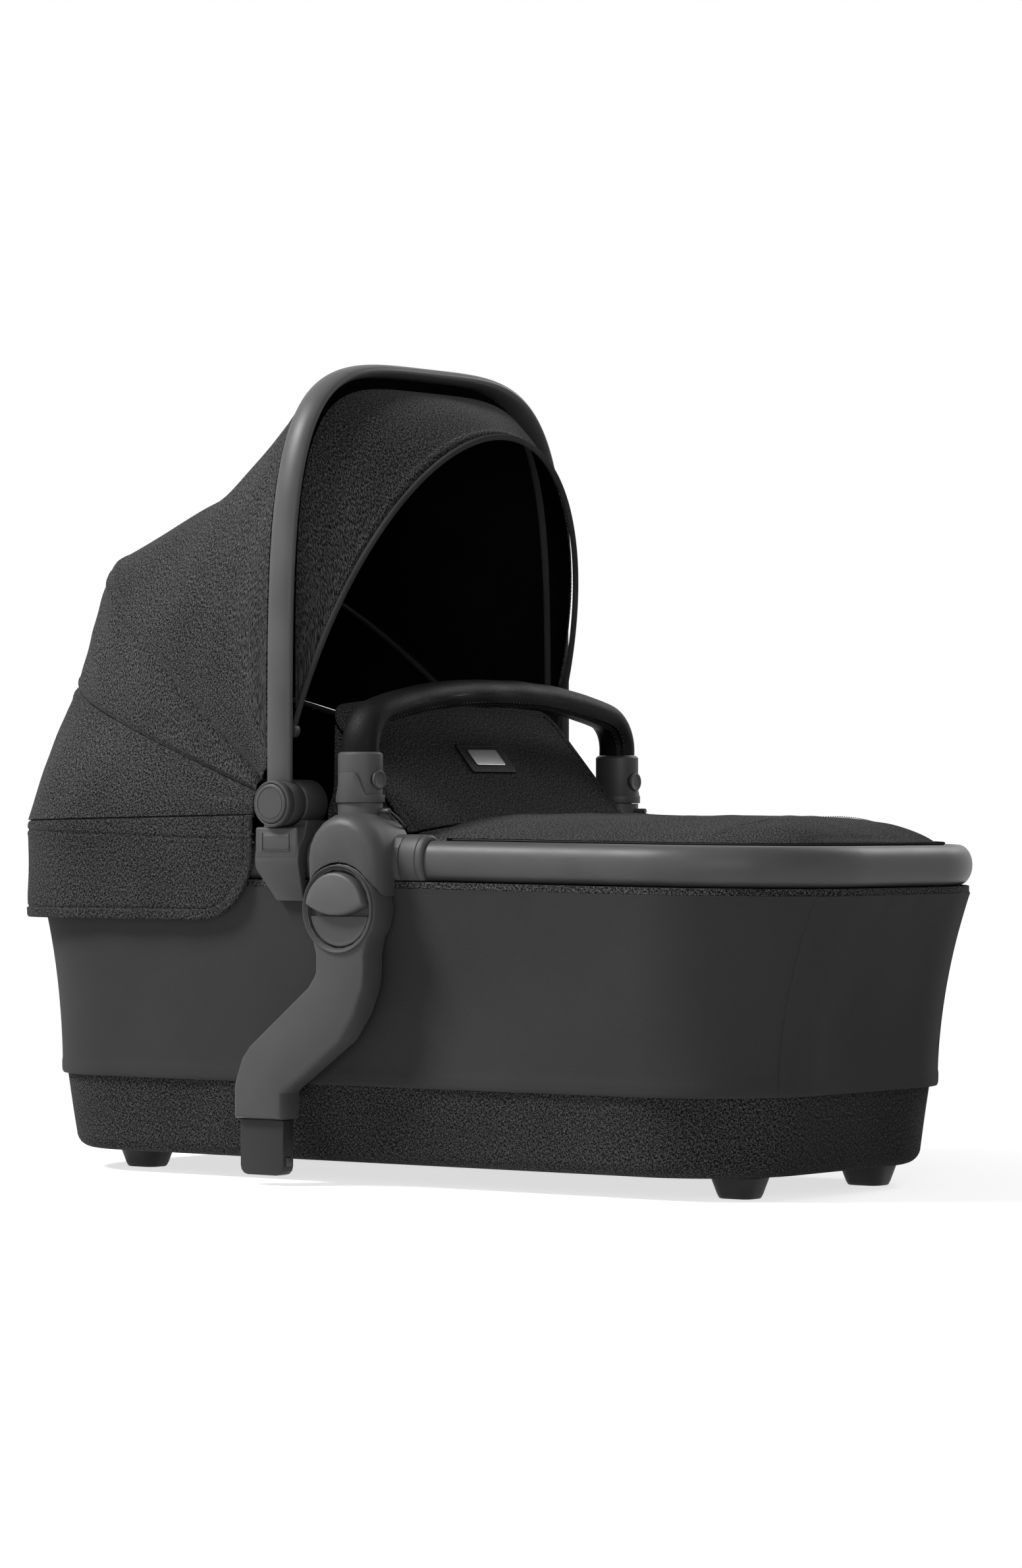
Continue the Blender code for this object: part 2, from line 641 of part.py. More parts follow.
def shrunk(outline, inset):
    """Anticlockwise outline moved inwards by the inset, square to its edges."""
    moved = []
    count = len(outline)
    for index, (x, y) in enumerate(outline):
        before = Vector(outline[index - 1])
        after = Vector(outline[(index + 1) % count])
        here = Vector((x, y))
        first = (here - before).normalized()
        second = (after - here).normalized()
        inward = Vector((-first.y - second.y, first.x + second.x)).normalized()
        reach = inset / max(inward.dot(Vector((-first.y, first.x))), MITRE_LIMIT)
        moved.append((x + inward.x * reach, y + inward.y * reach))
    return moved


def slab_mesh(name, outline, place, levels):
    """Solid of an outline through (distance, inset) levels; place(a, b, distance) gives a point in space."""
    rings = [[place(a, b, distance) for a, b in shrunk(outline, inset)] for distance, inset in levels]
    return mesh_of_rings(name, rings)


def face_levels(end, edge):
    """Last levels of a slab whose far face has a rounded edge."""
    soft = edge * (1.0 - math.cos(math.radians(QUARTER / 2)))
    return [(end - edge, 0.0), (end - soft, soft), (end, edge)]


def edge_levels(start, end, edge):
    """Levels of a slab whose two faces have rounded edges."""
    first = [(2 * start - distance, inset) for distance, inset in reversed(face_levels(start, edge))]
    return first + face_levels(end, edge)


def facing_side(side):
    """Placement of an (x, z) outline at a distance from the middle plane, on one side."""
    return lambda x, z, distance: Vector((x, side * distance, z))


def facing_up(x, y, distance):
    """Placement of an (x, y) outline at a height."""
    return Vector((x, y, distance))


def rail_z(x):
    """Height of the rail's centre, which drops a little towards the foot end."""
    return RAIL_Z - RAIL_FOOT_DROP * max(x, 0.0) / RAIL_FOOT_X


def rail_underside(x):
    """Height of the lowest line of the rail."""
    return rail_z(x) - RAIL_TALL / 2


def empty_at(name, position):
    """Empty on a joint axis, which carries the pieces that move."""
    made = bpy.data.objects.new(name, None)
    made.empty_display_size = GAP
    made.location = position
    bpy.context.collection.objects.link(made)
    bpy.context.view_layer.update()
    return made


def base_ring(height, inset):
    """Level ring of the base at a distance inside its upper outline."""
    return plan_ring(BASE_HEAD_X, BASE_FOOT_X, BASE_HALF, BASE_RADIUS, BASE_RADIUS, height, inset)


def base_levels(offset, top):
    """Rings of the base's rounded tub shape, a constant distance inside its outer skin, bottom to top."""
    bottom = BASE_BOTTOM + offset
    edge = BASE_EDGE
    rings = []
    for turn in BASE_EDGE_TURNS:
        sine = math.sin(math.radians(turn))
        rise = edge * (1.0 - math.cos(math.radians(turn)))
        rings.append(base_ring(bottom + rise, BASE_LEAN + offset + edge * (1.0 - sine)))
    rings.append(base_ring(top, offset))
    return rings


def build_base_fabric(material):
    """Woven cover round the base: a thin cup with a rounded bottom edge."""
    outer = base_levels(0.0, BASE_TOP)
    inner = base_levels(BASE_COVER_THICK, BASE_TOP)
    finish_object("base_fabric", mesh_of_rings("base_fabric", outer + inner[::-1]), material)


def build_base_shell(material):
    """Moulded tray inside the woven cover."""
    offset = BASE_COVER_THICK + GAP
    outer = base_levels(offset, BASE_TOP)
    inner = base_levels(offset + TRAY_THICK, BASE_TOP)
    finish_object("base_shell", mesh_of_rings("base_shell", outer + inner[::-1]), material)


def tray_floor():
    """Height of the tray's floor, on which the lining and the mattress stand."""
    return BASE_BOTTOM + BASE_COVER_THICK + GAP + TRAY_THICK + GAP


def build_feet(material):
    """Four tapered feet under the corners of the base."""
    top = BASE_BOTTOM - GAP
    for end_name, end in (("head", -1), ("front", 1)):
        x = FOOT_CENTRE_X + end * FOOT_PITCH_X / 2
        for side_name, side in SIDES:
            y = side * FOOT_PITCH_Y / 2
            rings = []
            for height, inset in ((0.0, FOOT_TAPER), (FOOT_EDGE, FOOT_TAPER - FOOT_EDGE / 2), (top, 0.0)):
                long = FOOT_LONG / 2 - inset
                wide = FOOT_WIDE / 2 - inset
                corners = ((x - long, y - wide), (x + long, y + wide))
                outline = rounded_outline(*corners, (wide * FOOT_CORNER_SHARE,) * 4, FOOT_CORNER_STEPS)
                rings.append([Vector((a, b, height)) for a, b in outline])
            name = f"foot_{end_name}_{side_name}"
            finish_object(name, mesh_of_rings(name, rings), material)


def cover_ring(share, inset, below_rail):
    """Ring of the side cover at a share of its height, whose top lies at a distance below the rail."""
    flare = share ** COVER_FLARE_POWER
    head_x = COVER_HEAD_X + (COVER_TOP_HEAD_X - COVER_HEAD_X) * flare
    foot_x = COVER_FOOT_X + (COVER_TOP_FOOT_X - COVER_FOOT_X) * flare
    half = COVER_HALF + (COVER_TOP_HALF - COVER_HALF) * flare
    radius = COVER_RADIUS + (COVER_TOP_RADIUS - COVER_RADIUS) * flare
    height = lambda x: COVER_BOTTOM + (rail_underside(x) - below_rail - COVER_BOTTOM) * share
    return plan_ring(head_x, foot_x, half, RAIL_HEAD_RADIUS, radius, height, inset)


def build_side_fabric(material):
    """Smooth outer cover, flared towards the rail."""
    below = BINDING_TALL + 2 * GAP
    outer = [cover_ring(share, 0.0, below) for share in HEIGHT_SHARES]
    inner = [cover_ring(share, COVER_THICK, below) for share in HEIGHT_SHARES]
    finish_object("side_fabric", mesh_of_rings("side_fabric", outer + inner[::-1], closed=True), material)


def build_rim_binding(material):
    """Woven strip between the side cover and the rail."""
    rings = []
    for lift, inset in ((0.0, BINDING_INSET), (BINDING_TALL, BINDING_INSET)):
        height = lambda x, lift=lift: rail_underside(x) - BINDING_TALL - GAP + lift
        ends = (COVER_TOP_HEAD_X, COVER_TOP_FOOT_X)
        radii = (RAIL_HEAD_RADIUS, COVER_TOP_RADIUS)
        insets = (inset, inset + BINDING_THICK)
        rings.append([plan_ring(*ends, COVER_TOP_HALF, *radii, height, place) for place in insets])
    (low_out, low_in), (high_out, high_in) = rings
    mesh = mesh_of_rings("rim_binding", [low_out, high_out, high_in, low_in], closed=True)
    finish_object("rim_binding", mesh, material)


def build_tub_wall(material):
    """Stiff wall that stands on the tray's rim and carries the rails."""
    shift = COVER_TOP_HALF - WALL_TOP_HALF - COVER_THICK - GAP
    sheets = []
    for thick in (0.0, WALL_THICK):
        inset = COVER_THICK + GAP + thick
        sheets.append([cover_ring(share, inset + shift * share, GAP) for share in HEIGHT_SHARES])
    outer, inner = sheets
    mesh = mesh_of_rings("tub_wall", [*outer, *inner[::-1]], closed=True)
    finish_object("tub_wall", mesh, material)


def build_lining(material):
    """Inner fabric wall from the tray's floor to the inside of the rail."""
    floor = tray_floor()
    squeeze = BASE_HALF - LINING_HALF
    spread = RAIL_Y - LINING_TOP_HALF
    head_x = RAIL_HEAD_X + RAIL_THICK / 2
    foot_x = RAIL_FOOT_X - RAIL_THICK / 2
    rings = []
    for thick in (0.0, LINING_THICK):
        low = base_ring(floor, squeeze + thick)
        inset = spread + thick
        high = plan_ring(head_x, foot_x, RAIL_Y, RAIL_HEAD_RADIUS, RAIL_FOOT_RADIUS, LINING_TOP, inset)
        rings.append((low, [a.lerp(b, HALFWAY) for a, b in zip(low, high)], high))
    outer, inner = rings
    mesh = mesh_of_rings("lining", [*outer, *inner[::-1]], closed=True)
    finish_object("lining", mesh, material)


def build_mattress(material):
    """Foam mattress with a crowned top and sides drawn in at the middle."""
    centre_x = (BASE_HEAD_X + BASE_FOOT_X) / 2
    half_long = MATTRESS_LONG / 2
    floor = tray_floor()
    radius = BASE_RADIUS * MATTRESS_CORNER_SHARE
    top = floor + MATTRESS_TALL
    sizes = (centre_x - half_long, centre_x + half_long, MATTRESS_HALF, radius, radius)
    edge = MATTRESS_EDGE
    levels = [(floor, edge), (floor + edge / 2, edge / 4), (floor + edge, 0.0)]
    levels += [(floor + MATTRESS_TALL / 2, MATTRESS_WAIST), (top - edge, 0.0)]
    levels += [(top - edge / 3, edge / 4), (top, edge)]
    for rise, inset in MATTRESS_CROWN_SHARES:
        levels.append((top + MATTRESS_CROWN * rise, radius * inset))
    rings = [plan_ring(*sizes, height, inset) for height, inset in levels]
    finish_object("mattress", mesh_of_rings("mattress", rings), material)


def rail_path(end_x, start_x, corner, steps):
    """Centre line of a U-shaped rail, from one side round the end to the other."""
    direction = 1 if end_x > start_x else -1
    far = end_x - direction * RAIL_THICK / 2
    straight = far - direction * corner
    bends = arc((0.0, corner - RAIL_Y), corner, -QUARTER, 0, steps)
    bends += arc((0.0, RAIL_Y - corner), corner, 0, QUARTER, steps)
    points = [(start_x, -RAIL_Y)]
    points += [(straight + direction * x, y) for x, y in bends]
    points.append((start_x, RAIL_Y))
    return [Vector((x, y, rail_z(x))) for x, y in points]


def build_rails(material):
    """Front and rear rail: oval metal tubes, each bent into a U."""
    section = ellipse(RAIL_THICK / 2, RAIL_TALL / 2, RAIL_SIDES)
    up = Vector((0, 0, 1))
    front = rail_path(RAIL_FOOT_X, STUB_FOOT_X + GAP, RAIL_FOOT_RADIUS, RAIL_CORNER_STEPS)
    rear = rail_path(RAIL_HEAD_X, STUB_HEAD_X - GAP, RAIL_HEAD_RADIUS, CORNER_STEPS)
    for name, path in (("front_rail", front), ("rear_rail", rear)):
        finish_object(name, mesh_of_rings(name, tube_rings(path, up, section)), material)


def cover_space_mesh(side):
    """Space under the rail that the side cover, the binding and the tub wall fill beside a hub."""
    reach = FRONT_COLLAR_LONG + STUB_FOOT_X + OVERRUN
    top = rail_underside(0.0)
    outline = [(-reach, COVER_BOTTOM), (reach, COVER_BOTTOM), (reach, top), (-reach, top)]
    levels = [(HUB_INNER_Y - OVERRUN, 0.0), (BRACKET_SKIN_Y - GAP, 0.0)]
    return slab_mesh("cover_space", outline, facing_side(side), levels)


def collar_mesh(side, start, long):
    """Oval collar round a rail end, from its start at the hub; a negative length runs to the head end."""
    hole = ellipse(RAIL_THICK / 2 + GAP, RAIL_TALL / 2 + GAP, RAIL_SIDES)
    last = start + long
    edge_x = last - math.copysign(COLLAR_EDGE, long)
    rings = []
    for x, inset in ((start, 0.0), (edge_x, 0.0), (last, COLLAR_EDGE)):
        oval = ellipse(COLLAR_THICK / 2 - inset, COLLAR_TALL / 2 - inset, RAIL_SIDES)
        rings.append([Vector((x, side * RAIL_Y + a, rail_z(x) + b)) for a, b in oval])
    for x in (last, start):
        rings.append([Vector((x, side * RAIL_Y + a, rail_z(x) + b)) for a, b in hole])
    return mesh_of_rings("collar", rings, closed=True)


def build_front_collars(material):
    """Collars round the front rail's ends."""
    for side_name, side in SIDES:
        mesh = collar_mesh(side, STUB_FOOT_X + GAP, FRONT_COLLAR_LONG)
        mesh = combined_mesh(mesh, [("DIFFERENCE", cover_space_mesh(side))])
        finish_object(f"front_collar_{side_name}", mesh, material)


def hub_outline():
    """Egg of the hub seen from the side: a larger circle over a smaller one."""
    upper = arc((HUB_X, HUB_TOP_Z), HUB_TOP_RADIUS, 0, 2 * QUARTER, HUB_ARC_STEPS)
    lower = arc((HUB_X, HUB_LOW_Z), HUB_LOW_RADIUS, 2 * QUARTER, 4 * QUARTER, HUB_ARC_STEPS)
    return upper + lower


def dome_levels(steps):
    """Levels of the outer dome, from its waist to its face."""
    reach = HUB_FACE_Y - HUB_WAIST_Y
    levels = []
    for index in range(1, steps + 1):
        turn = math.radians(HUB_DOME_SWEEP * index / steps)
        share = math.sin(turn) / math.sin(math.radians(HUB_DOME_SWEEP))
        levels.append((HUB_WAIST_Y + reach * share, HUB_DOME * (1.0 - math.cos(turn))))
    return levels


def post_mesh(name, side, long, wide, sides, levels):
    """Upright oval post over a hub, through (height, inset) levels."""
    rings = []
    for height, inset in levels:
        oval = ellipse(long / 2 - inset, wide / 2 - inset, sides)
        rings.append([Vector((NECK_X + a, side * RAIL_Y + b, height)) for a, b in oval])
    return mesh_of_rings(name, rings)


def stub_mesh(side):
    """Oval stub along the rail through a hub."""
    rings = []
    for x in (STUB_HEAD_X, STUB_FOOT_X):
        oval = ellipse(STUB_THICK / 2 - GAP, STUB_TALL / 2, RAIL_SIDES)
        rings.append([Vector((x, side * (RAIL_Y + GAP) + a, rail_z(x) + b)) for a, b in oval])
    return mesh_of_rings("stub", rings)


def crest_mesh(side):
    """Space in a hub's face for the round head of the adaptor arm."""
    reach = ARM_HEAD_RADIUS + OVERRUN
    radius = ARM_HEAD_RADIUS + ARM_CREST_GAP
    outline = [(HUB_X + reach, HUB_LOW_Z - reach), (HUB_X + reach, HUB_LOW_Z)]
    outline += arc((HUB_X, HUB_LOW_Z), radius, 0, 2 * QUARTER, HEAD_ARC_STEPS)
    outline += [(HUB_X - reach, HUB_LOW_Z), (HUB_X - reach, HUB_LOW_Z - reach)]
    levels = [(ARM_INNER_Y - GAP, 0.0), (HUB_FACE_Y + OVERRUN, 0.0)]
    return slab_mesh("crest", outline, facing_side(side), levels)


def pocket_mesh(side):
    """Pocket in a hub for the adaptor's tongue."""
    middle = tongue_centre()
    half_long = TONGUE_LONG / 2 + RUNNING_GAP
    half_thick = TONGUE_THICK / 2 + RUNNING_GAP
    top = TONGUE_TOP + RUNNING_GAP
    outline = [(HUB_X - half_long, HUB_LOW_Z), (HUB_X + half_long, HUB_LOW_Z)]
    outline += [(HUB_X + half_long, top), (HUB_X - half_long, top)]
    levels = [(middle - half_thick, 0.0), (middle + half_thick, 0.0)]
    return slab_mesh("pocket", outline, facing_side(side), levels)


def groove_mesh(side):
    """Groove down a spigot in which the handle button's shank runs as the handle is lifted off."""
    floor_x = NECK_X + SPIGOT_LONG / 2 - SPIGOT_GROOVE_DEEP
    middle = side * RAIL_Y
    half = SPIGOT_GROOVE_WIDE / 2
    outline = [(floor_x, middle - half), (floor_x + OVERRUN, middle - half)]
    outline += [(floor_x + OVERRUN, middle + half), (floor_x, middle + half)]
    levels = [(NECK_TOP + SPIGOT_GROOVE_FLOOR, 0.0), (NECK_TOP + SPIGOT_TALL + OVERRUN, 0.0)]
    return slab_mesh("groove", outline, facing_up, levels)


def build_hubs(material):
    """Domed hubs with the rail stubs, the neck and the spigot, cut out for the adaptor's head and tongue."""
    levels = [(HUB_INNER_Y, HUB_INNER_EDGE), (HUB_INNER_Y + HUB_INNER_EDGE, 0.0), (HUB_WAIST_Y, 0.0)]
    levels += dome_levels(DOME_STEPS)
    top = NECK_TOP + SPIGOT_TALL
    spigot_levels = [(HUB_TOP_Z + GAP, 0.0), (top - SLEEVE_EDGE, 0.0), (top, SLEEVE_EDGE)]
    for side_name, side in SIDES:
        egg = slab_mesh("hub_egg", hub_outline(), facing_side(side), levels)
        neck = post_mesh("neck", side, NECK_LONG, NECK_WIDE, ROUND_SIDES, [(HUB_TOP_Z, 0.0), (NECK_TOP, 0.0)])
        spigot = post_mesh("spigot", side, SPIGOT_LONG, SPIGOT_WIDE, SPIGOT_SIDES, spigot_levels)
        collar = collar_mesh(side, STUB_HEAD_X + COLLAR_EDGE, -REAR_COLLAR_LONG - COLLAR_EDGE)
        heart = Vector((NECK_X, side * RAIL_Y, PEG_Z))
        peg = cylinder_mesh("peg", heart, (1, 0, 0), NECK_LONG / 4, NECK_LONG / 2 + PEG_LONG, PEG_RADIUS,
                            sides=WIRE_SIDES + 2)
        tools = [("UNION", stub_mesh(side)), ("UNION", neck), ("UNION", collar), ("UNION", peg)]
        tools += [("DIFFERENCE", cover_space_mesh(side)), ("UNION", spigot), ("DIFFERENCE", crest_mesh(side))]
        tools += [("DIFFERENCE", pocket_mesh(side)), ("DIFFERENCE", groove_mesh(side))]
        finish_object(f"hub_{side_name}", combined_mesh(egg, tools), material)


def tongue_centre():
    """Distance of the adaptor tongue's middle from the middle plane."""
    return (ARM_INNER_Y + ARM_FACE_Y) / 2 - ARM_EDGE / 2


def bracket_outline():
    """Bracket seen along the rail, as (distance from the middle plane, height): neck, drum and lower lip."""
    low = BRACKET_LIP_Z
    lip = BRACKET_SKIN_Y + BRACKET_LIP_THICK
    outline = [(BRACKET_INNER_Y, BRACKET_LEG_Z), (BRACKET_SKIN_Y, BRACKET_LEG_Z)]
    outline += [(BRACKET_SKIN_Y, low), (lip, low)]
    drum = (BRACKET_DRUM_START, BRACKET_DRUM_END)
    outline += arc((RAIL_Y, RAIL_Z), BRACKET_RADIUS, *drum, BRACKET_DRUM_STEPS)
    outline += [(HOUSING_OUTER_Y + BRACKET_LIP_THICK, BRACKET_TOP), (BRACKET_INNER_Y, BRACKET_TOP)]
    return outline


def build_brackets(material):
    """Clips over the rear rail that carry the hood hinge, each with a small raised panel on its face."""
    start = HINGE_X - BRACKET_LONG / 2
    levels = edge_levels(start, start + BRACKET_LONG, BRACKET_EDGE)
    for side_name, side in SIDES:
        place = lambda y, z, x, side=side: Vector((x, side * y, z))
        body = slab_mesh("bracket", bracket_outline(), place, levels)
        rail = []
        for x in (start - OVERRUN, start + BRACKET_LONG + OVERRUN):
            oval = ellipse(RAIL_THICK / 2 + GAP, RAIL_TALL / 2 + GAP, RAIL_SIDES)
            rail.append([Vector((x, side * RAIL_Y + a, RAIL_Z + b)) for a, b in oval])
        seat = cylinder_mesh("seat", (HINGE_X, 0, HINGE_Z), (0, side, 0), HOUSING_INNER_Y - OVERRUN,
                             BOW_FOOT_FACE_Y + OVERRUN, HOUSING_RADIUS + GAP)
        low = (HINGE_X - INSERT_LONG / 2, RAIL_Z + BRACKET_RADIUS * INSERT_RISE_SHARE)
        high = (low[0] + INSERT_LONG, low[1] + INSERT_TALL)
        outline = rounded_outline(low, high, (INSERT_TALL / 4,) * 4, SMALL_CORNER_STEPS)
        face = RAIL_Y + BRACKET_RADIUS
        depth = [(face - INSERT_TALL / 2, 0.0), (face + INSERT_THICK / 4, 0.0)]
        panel = slab_mesh("panel", outline, facing_side(side), depth)
        tools = [("UNION", panel), ("DIFFERENCE", mesh_of_rings("rail", rail)), ("DIFFERENCE", seat)]
        finish_object(f"bracket_{side_name}", combined_mesh(body, tools), material)


def build_hinge_housings(material, pin_material):
    """Fixed inner halves of the hood hinges and the pins through both halves."""
    for side_name, side in SIDES:
        centre = (HINGE_X, 0, HINGE_Z)
        axis = (0, side, 0)
        profile = [(HOUSING_INNER_Y, HINGE_BORE), (HOUSING_INNER_Y, HOUSING_RADIUS - HINGE_BEVEL)]
        profile += [(HOUSING_INNER_Y + HINGE_BEVEL, HOUSING_RADIUS)]
        profile += [(HOUSING_OUTER_Y - HINGE_BEVEL, HOUSING_RADIUS)]
        profile += [(HOUSING_OUTER_Y, HOUSING_RADIUS - HINGE_BEVEL), (HOUSING_OUTER_Y, HINGE_BORE)]
        mesh = mesh_of_rings("housing", turned_rings(centre, axis, profile), closed=True)
        finish_object(f"hinge_housing_{side_name}", mesh, material)
        pin = cylinder_mesh("pin", centre, axis, HINGE_PIN_INNER_Y, HINGE_PIN_OUTER_Y, HINGE_PIN_RADIUS,
                            GAP, SMALL_SIDES)
        finish_object(f"hinge_pin_{side_name}", pin, pin_material)


def build_bow_feet(material, hood):
    """Outer halves of the hood hinges, which turn with the front bow and hold the hinge buttons."""
    for side_name, side in SIDES:
        floor = BOW_FOOT_FACE_Y - BUTTON_POCKET
        pocket = BUTTON_RADIUS + GAP
        outer = BOW_FOOT_RADIUS
        profile = [(BOW_FOOT_INNER_Y, HINGE_BORE), (BOW_FOOT_INNER_Y, outer - HINGE_BEVEL)]
        profile += [(BOW_FOOT_INNER_Y + HINGE_BEVEL, outer), (BOW_FOOT_FACE_Y - HINGE_BEVEL, outer)]
        profile += [(BOW_FOOT_FACE_Y, outer - HINGE_BEVEL), (BOW_FOOT_FACE_Y, pocket), (floor, pocket)]
        profile.append((floor, HINGE_BORE))
        rings = turned_rings((HINGE_X, 0, HINGE_Z), (0, side, 0), profile)
        mesh = mesh_of_rings("bow_foot", rings, closed=True)
        finish_object(f"bow_foot_{side_name}", mesh, material, hood)


def build_hinge_buttons(material):
    """Press buttons in the faces of the bow feet."""
    for side_name, side in SIDES:
        face = BOW_FOOT_FACE_Y + BUTTON_PROUD
        start = face - BUTTON_THICK
        profile = [(start, BUTTON_RADIUS), (face - BUTTON_PROUD, BUTTON_RADIUS)]
        profile.append((face - BUTTON_PROUD / 4, BUTTON_RADIUS - BUTTON_PROUD))
        profile.append((face, BUTTON_RADIUS * BUTTON_FACE_SHARE))
        mesh = mesh_of_rings("button", turned_rings((HINGE_X, 0, HINGE_Z), (0, side, 0), profile))
        carrier = empty_at(f"hinge_button_axis_{side_name}", (HINGE_X, side * start, HINGE_Z))
        finish_object(f"hinge_button_{side_name}", mesh, material, carrier)


def arch_points(half, rise, power, start, steps):
    """Superellipse arch as (distance from the middle plane, distance above the axis), from foot to foot."""
    limit = math.acos(min((start / rise) ** (power / 2.0), 1.0))
    points = []
    for index in range(steps + 1):
        turn = -limit + 2.0 * limit * index / steps
        y = math.copysign(abs(math.sin(turn)) ** (2.0 / power), turn) * half
        points.append((y, abs(math.cos(turn)) ** (2.0 / power) * rise))
    return points


def leaning(points, angle, heart_x=HINGE_X, heart_z=HINGE_Z):
    """Arch points placed in the plane that leans back by the angle about a line across the hood."""
    back = math.radians(angle)
    return [Vector((heart_x - r * math.sin(back), y, heart_z + r * math.cos(back))) for y, r in points]


def visor_pivot_mesh(side):
    """Rivet inside the front bow that carries an eyelet of the visor."""
    seat = BOW_HALF
    neck = VISOR_HALF - VISOR_EYELET_THICK / 2 - GAP
    end = neck - VISOR_PIN_HEAD_THICK
    profile = [(end, VISOR_PIN_HEAD_RADIUS), (neck, VISOR_PIN_HEAD_RADIUS)]
    profile += [(neck, VISOR_PIN_RADIUS), (seat, VISOR_PIN_RADIUS)]
    return mesh_of_rings("pivot", turned_rings((HINGE_X, 0, VISOR_Z), (0, side, 0), profile, WIRE_SIDES))


def build_front_bow(material, hood):
    """Oval metal bow with the visor's rivets, and feet hollowed to sit on the bow feet."""
    arch = arch_points(BOW_HALF, BOW_RISE, BOW_POWER, BOW_START, BOW_STEPS)
    path = [Vector((BOW_X, y, HINGE_Z + r)) for y, r in arch]
    section = ellipse(BOW_THICK / 2, BOW_DEEP / 2, TUBE_SIDES)
    rings = tube_rings(path, Vector((1, 0, 0)), section)
    foot = cylinder_mesh("foot", (HINGE_X, 0, HINGE_Z), (0, 1, 0), -BOW_FOOT_FACE_Y - OVERRUN,
                         BOW_FOOT_FACE_Y + OVERRUN, BOW_FOOT_RADIUS + GAP)
    tools = [("DIFFERENCE", foot)]
    tools += [("UNION", visor_pivot_mesh(side)) for _, side in SIDES]
    mesh = combined_mesh(mesh_of_rings("front_bow", rings), tools)
    finish_object("front_bow", mesh, material, hood)


def wire_path(half, rise, power, angle, foot_y):
    """Centre line of an inner wire bow, from its eyelet on one hinge pin to the other."""
    points = []
    start = EYELET_RADIUS - WIRE_RADIUS
    arch = arch_points(half, rise, power, start, ARCH_STEPS)
    rise_step = (arch[1][1] - start) / WIRE_FOOT_STEPS
    foot = [(arch[0][0], start + rise_step * step) for step in range(WIRE_FOOT_STEPS)]
    mirrored = [(-y, r) for y, r in foot[::-1]]
    for y, r in foot + arch[1:-1] + mirrored:
        clear = HOUSING_RADIUS + 2 * WIRE_RADIUS
        flare = min(max((r - clear) / WIRE_FLARE, 0.0), 1.0)
        shift = (half - foot_y) * (1.0 + math.cos(flare * math.pi)) / 2
        points.append((y - math.copysign(shift, y) if abs(y) > shift else y, r))
    return leaning(points, angle)


def build_wire_bow(name, shape, material, carrier):
    """Inner wire bow with a flat eyelet at each foot."""
    angle, foot_y = shape[-2:]
    back = math.radians(angle)
    across = Vector((math.cos(back), 0, math.sin(back)))
    rings = tube_rings(wire_path(*shape), across, ellipse(WIRE_RADIUS, WIRE_RADIUS, WIRE_SIDES))
    tools = []
    start = foot_y - EYELET_THICK / 2
    for _, side in SIDES:
        disc = cylinder_mesh("disc", (HINGE_X, 0, HINGE_Z), (0, side, 0), start, start + EYELET_THICK,
                             EYELET_RADIUS, sides=SMALL_SIDES)
        tools.append(("UNION", disc))
    for _, side in SIDES:
        bore = cylinder_mesh("bore", (HINGE_X, 0, HINGE_Z), (0, side, 0), start - OVERRUN,
                             start + EYELET_THICK + OVERRUN, HINGE_BORE, sides=SMALL_SIDES)
        tools.append(("DIFFERENCE", bore))
    mesh = combined_mesh(mesh_of_rings(name, rings), tools)
    finish_object(name, mesh, material, carrier)


def panel_row(half, rise, power, angle, inset, place):
    """Row across a hood panel at one angle; beside the hinge each row lies a step behind the last."""
    points = arch_points(half - inset, rise - inset, power, PANEL_START, ARCH_STEPS)
    limit = BOW_X - BOW_DEEP / 2 - GAP - place * PANEL_FAN_STEP
    return [Vector((min(point.x, limit), point.y, point.z)) for point in leaning(points, angle)]


def front_panel_row(inset):
    """Row at the front edge of the hood fabric, just behind the front bow."""
    x = BOW_X - BOW_DEEP / 2 - GAP
    half = PANEL_FRONT_HALF - inset
    rise = PANEL_FRONT_RISE - inset
    points = arch_points(half, rise, BOW_POWER, PANEL_START, ARCH_STEPS)
    return [Vector((x, y, HINGE_Z + r)) for y, r in points]


def skirt_top(x):
    """Height of the skirt's upper edge, which sinks towards the head end."""
    share = (x - SKIRT_HEAD_X) / (SKIRT_FRONT_X - SKIRT_HEAD_X)
    return SKIRT_TOP_HEAD + (SKIRT_TOP_FRONT - SKIRT_TOP_HEAD) * share


def skirt_plan(inset, steps):
    """Plan of the skirt's U from the right front edge round the head end, as (x, y) points."""
    half = SKIRT_HALF - inset
    radius = SKIRT_RADIUS - inset
    bend = SKIRT_HEAD_X + inset + radius
    side = [SKIRT_FRONT_X + (bend - SKIRT_FRONT_X) * share for share in SKIRT_SIDE_SHARES]
    points = [(x, -half) for x in side]
    points += arc((bend, radius - half), radius, 3 * QUARTER, 2 * QUARTER, steps)
    points += arc((bend, half - radius), radius, 2 * QUARTER, QUARTER, steps)
    points += [(x, half) for x in reversed(side)]
    return points


def base_row(inset):
    """Row at the foot of the hood fabric, on the skirt's upper edge, with as many points as an arch."""
    plan = skirt_plan(inset, CORNER_STEPS)
    lengths = [0.0]
    for before, after in zip(plan, plan[1:]):
        lengths.append(lengths[-1] + math.dist(before, after))
    row = []
    piece = 0
    for index in range(ARCH_STEPS + 1):
        wanted = lengths[-1] * index / ARCH_STEPS
        while piece < len(plan) - 2 and lengths[piece + 1] < wanted:
            piece += 1
        share = (wanted - lengths[piece]) / (lengths[piece + 1] - lengths[piece])
        x, y = Vector(plan[piece]).lerp(Vector(plan[piece + 1]), share)
        row.append(Vector((x, y, skirt_top(x) + GAP)))
    return row


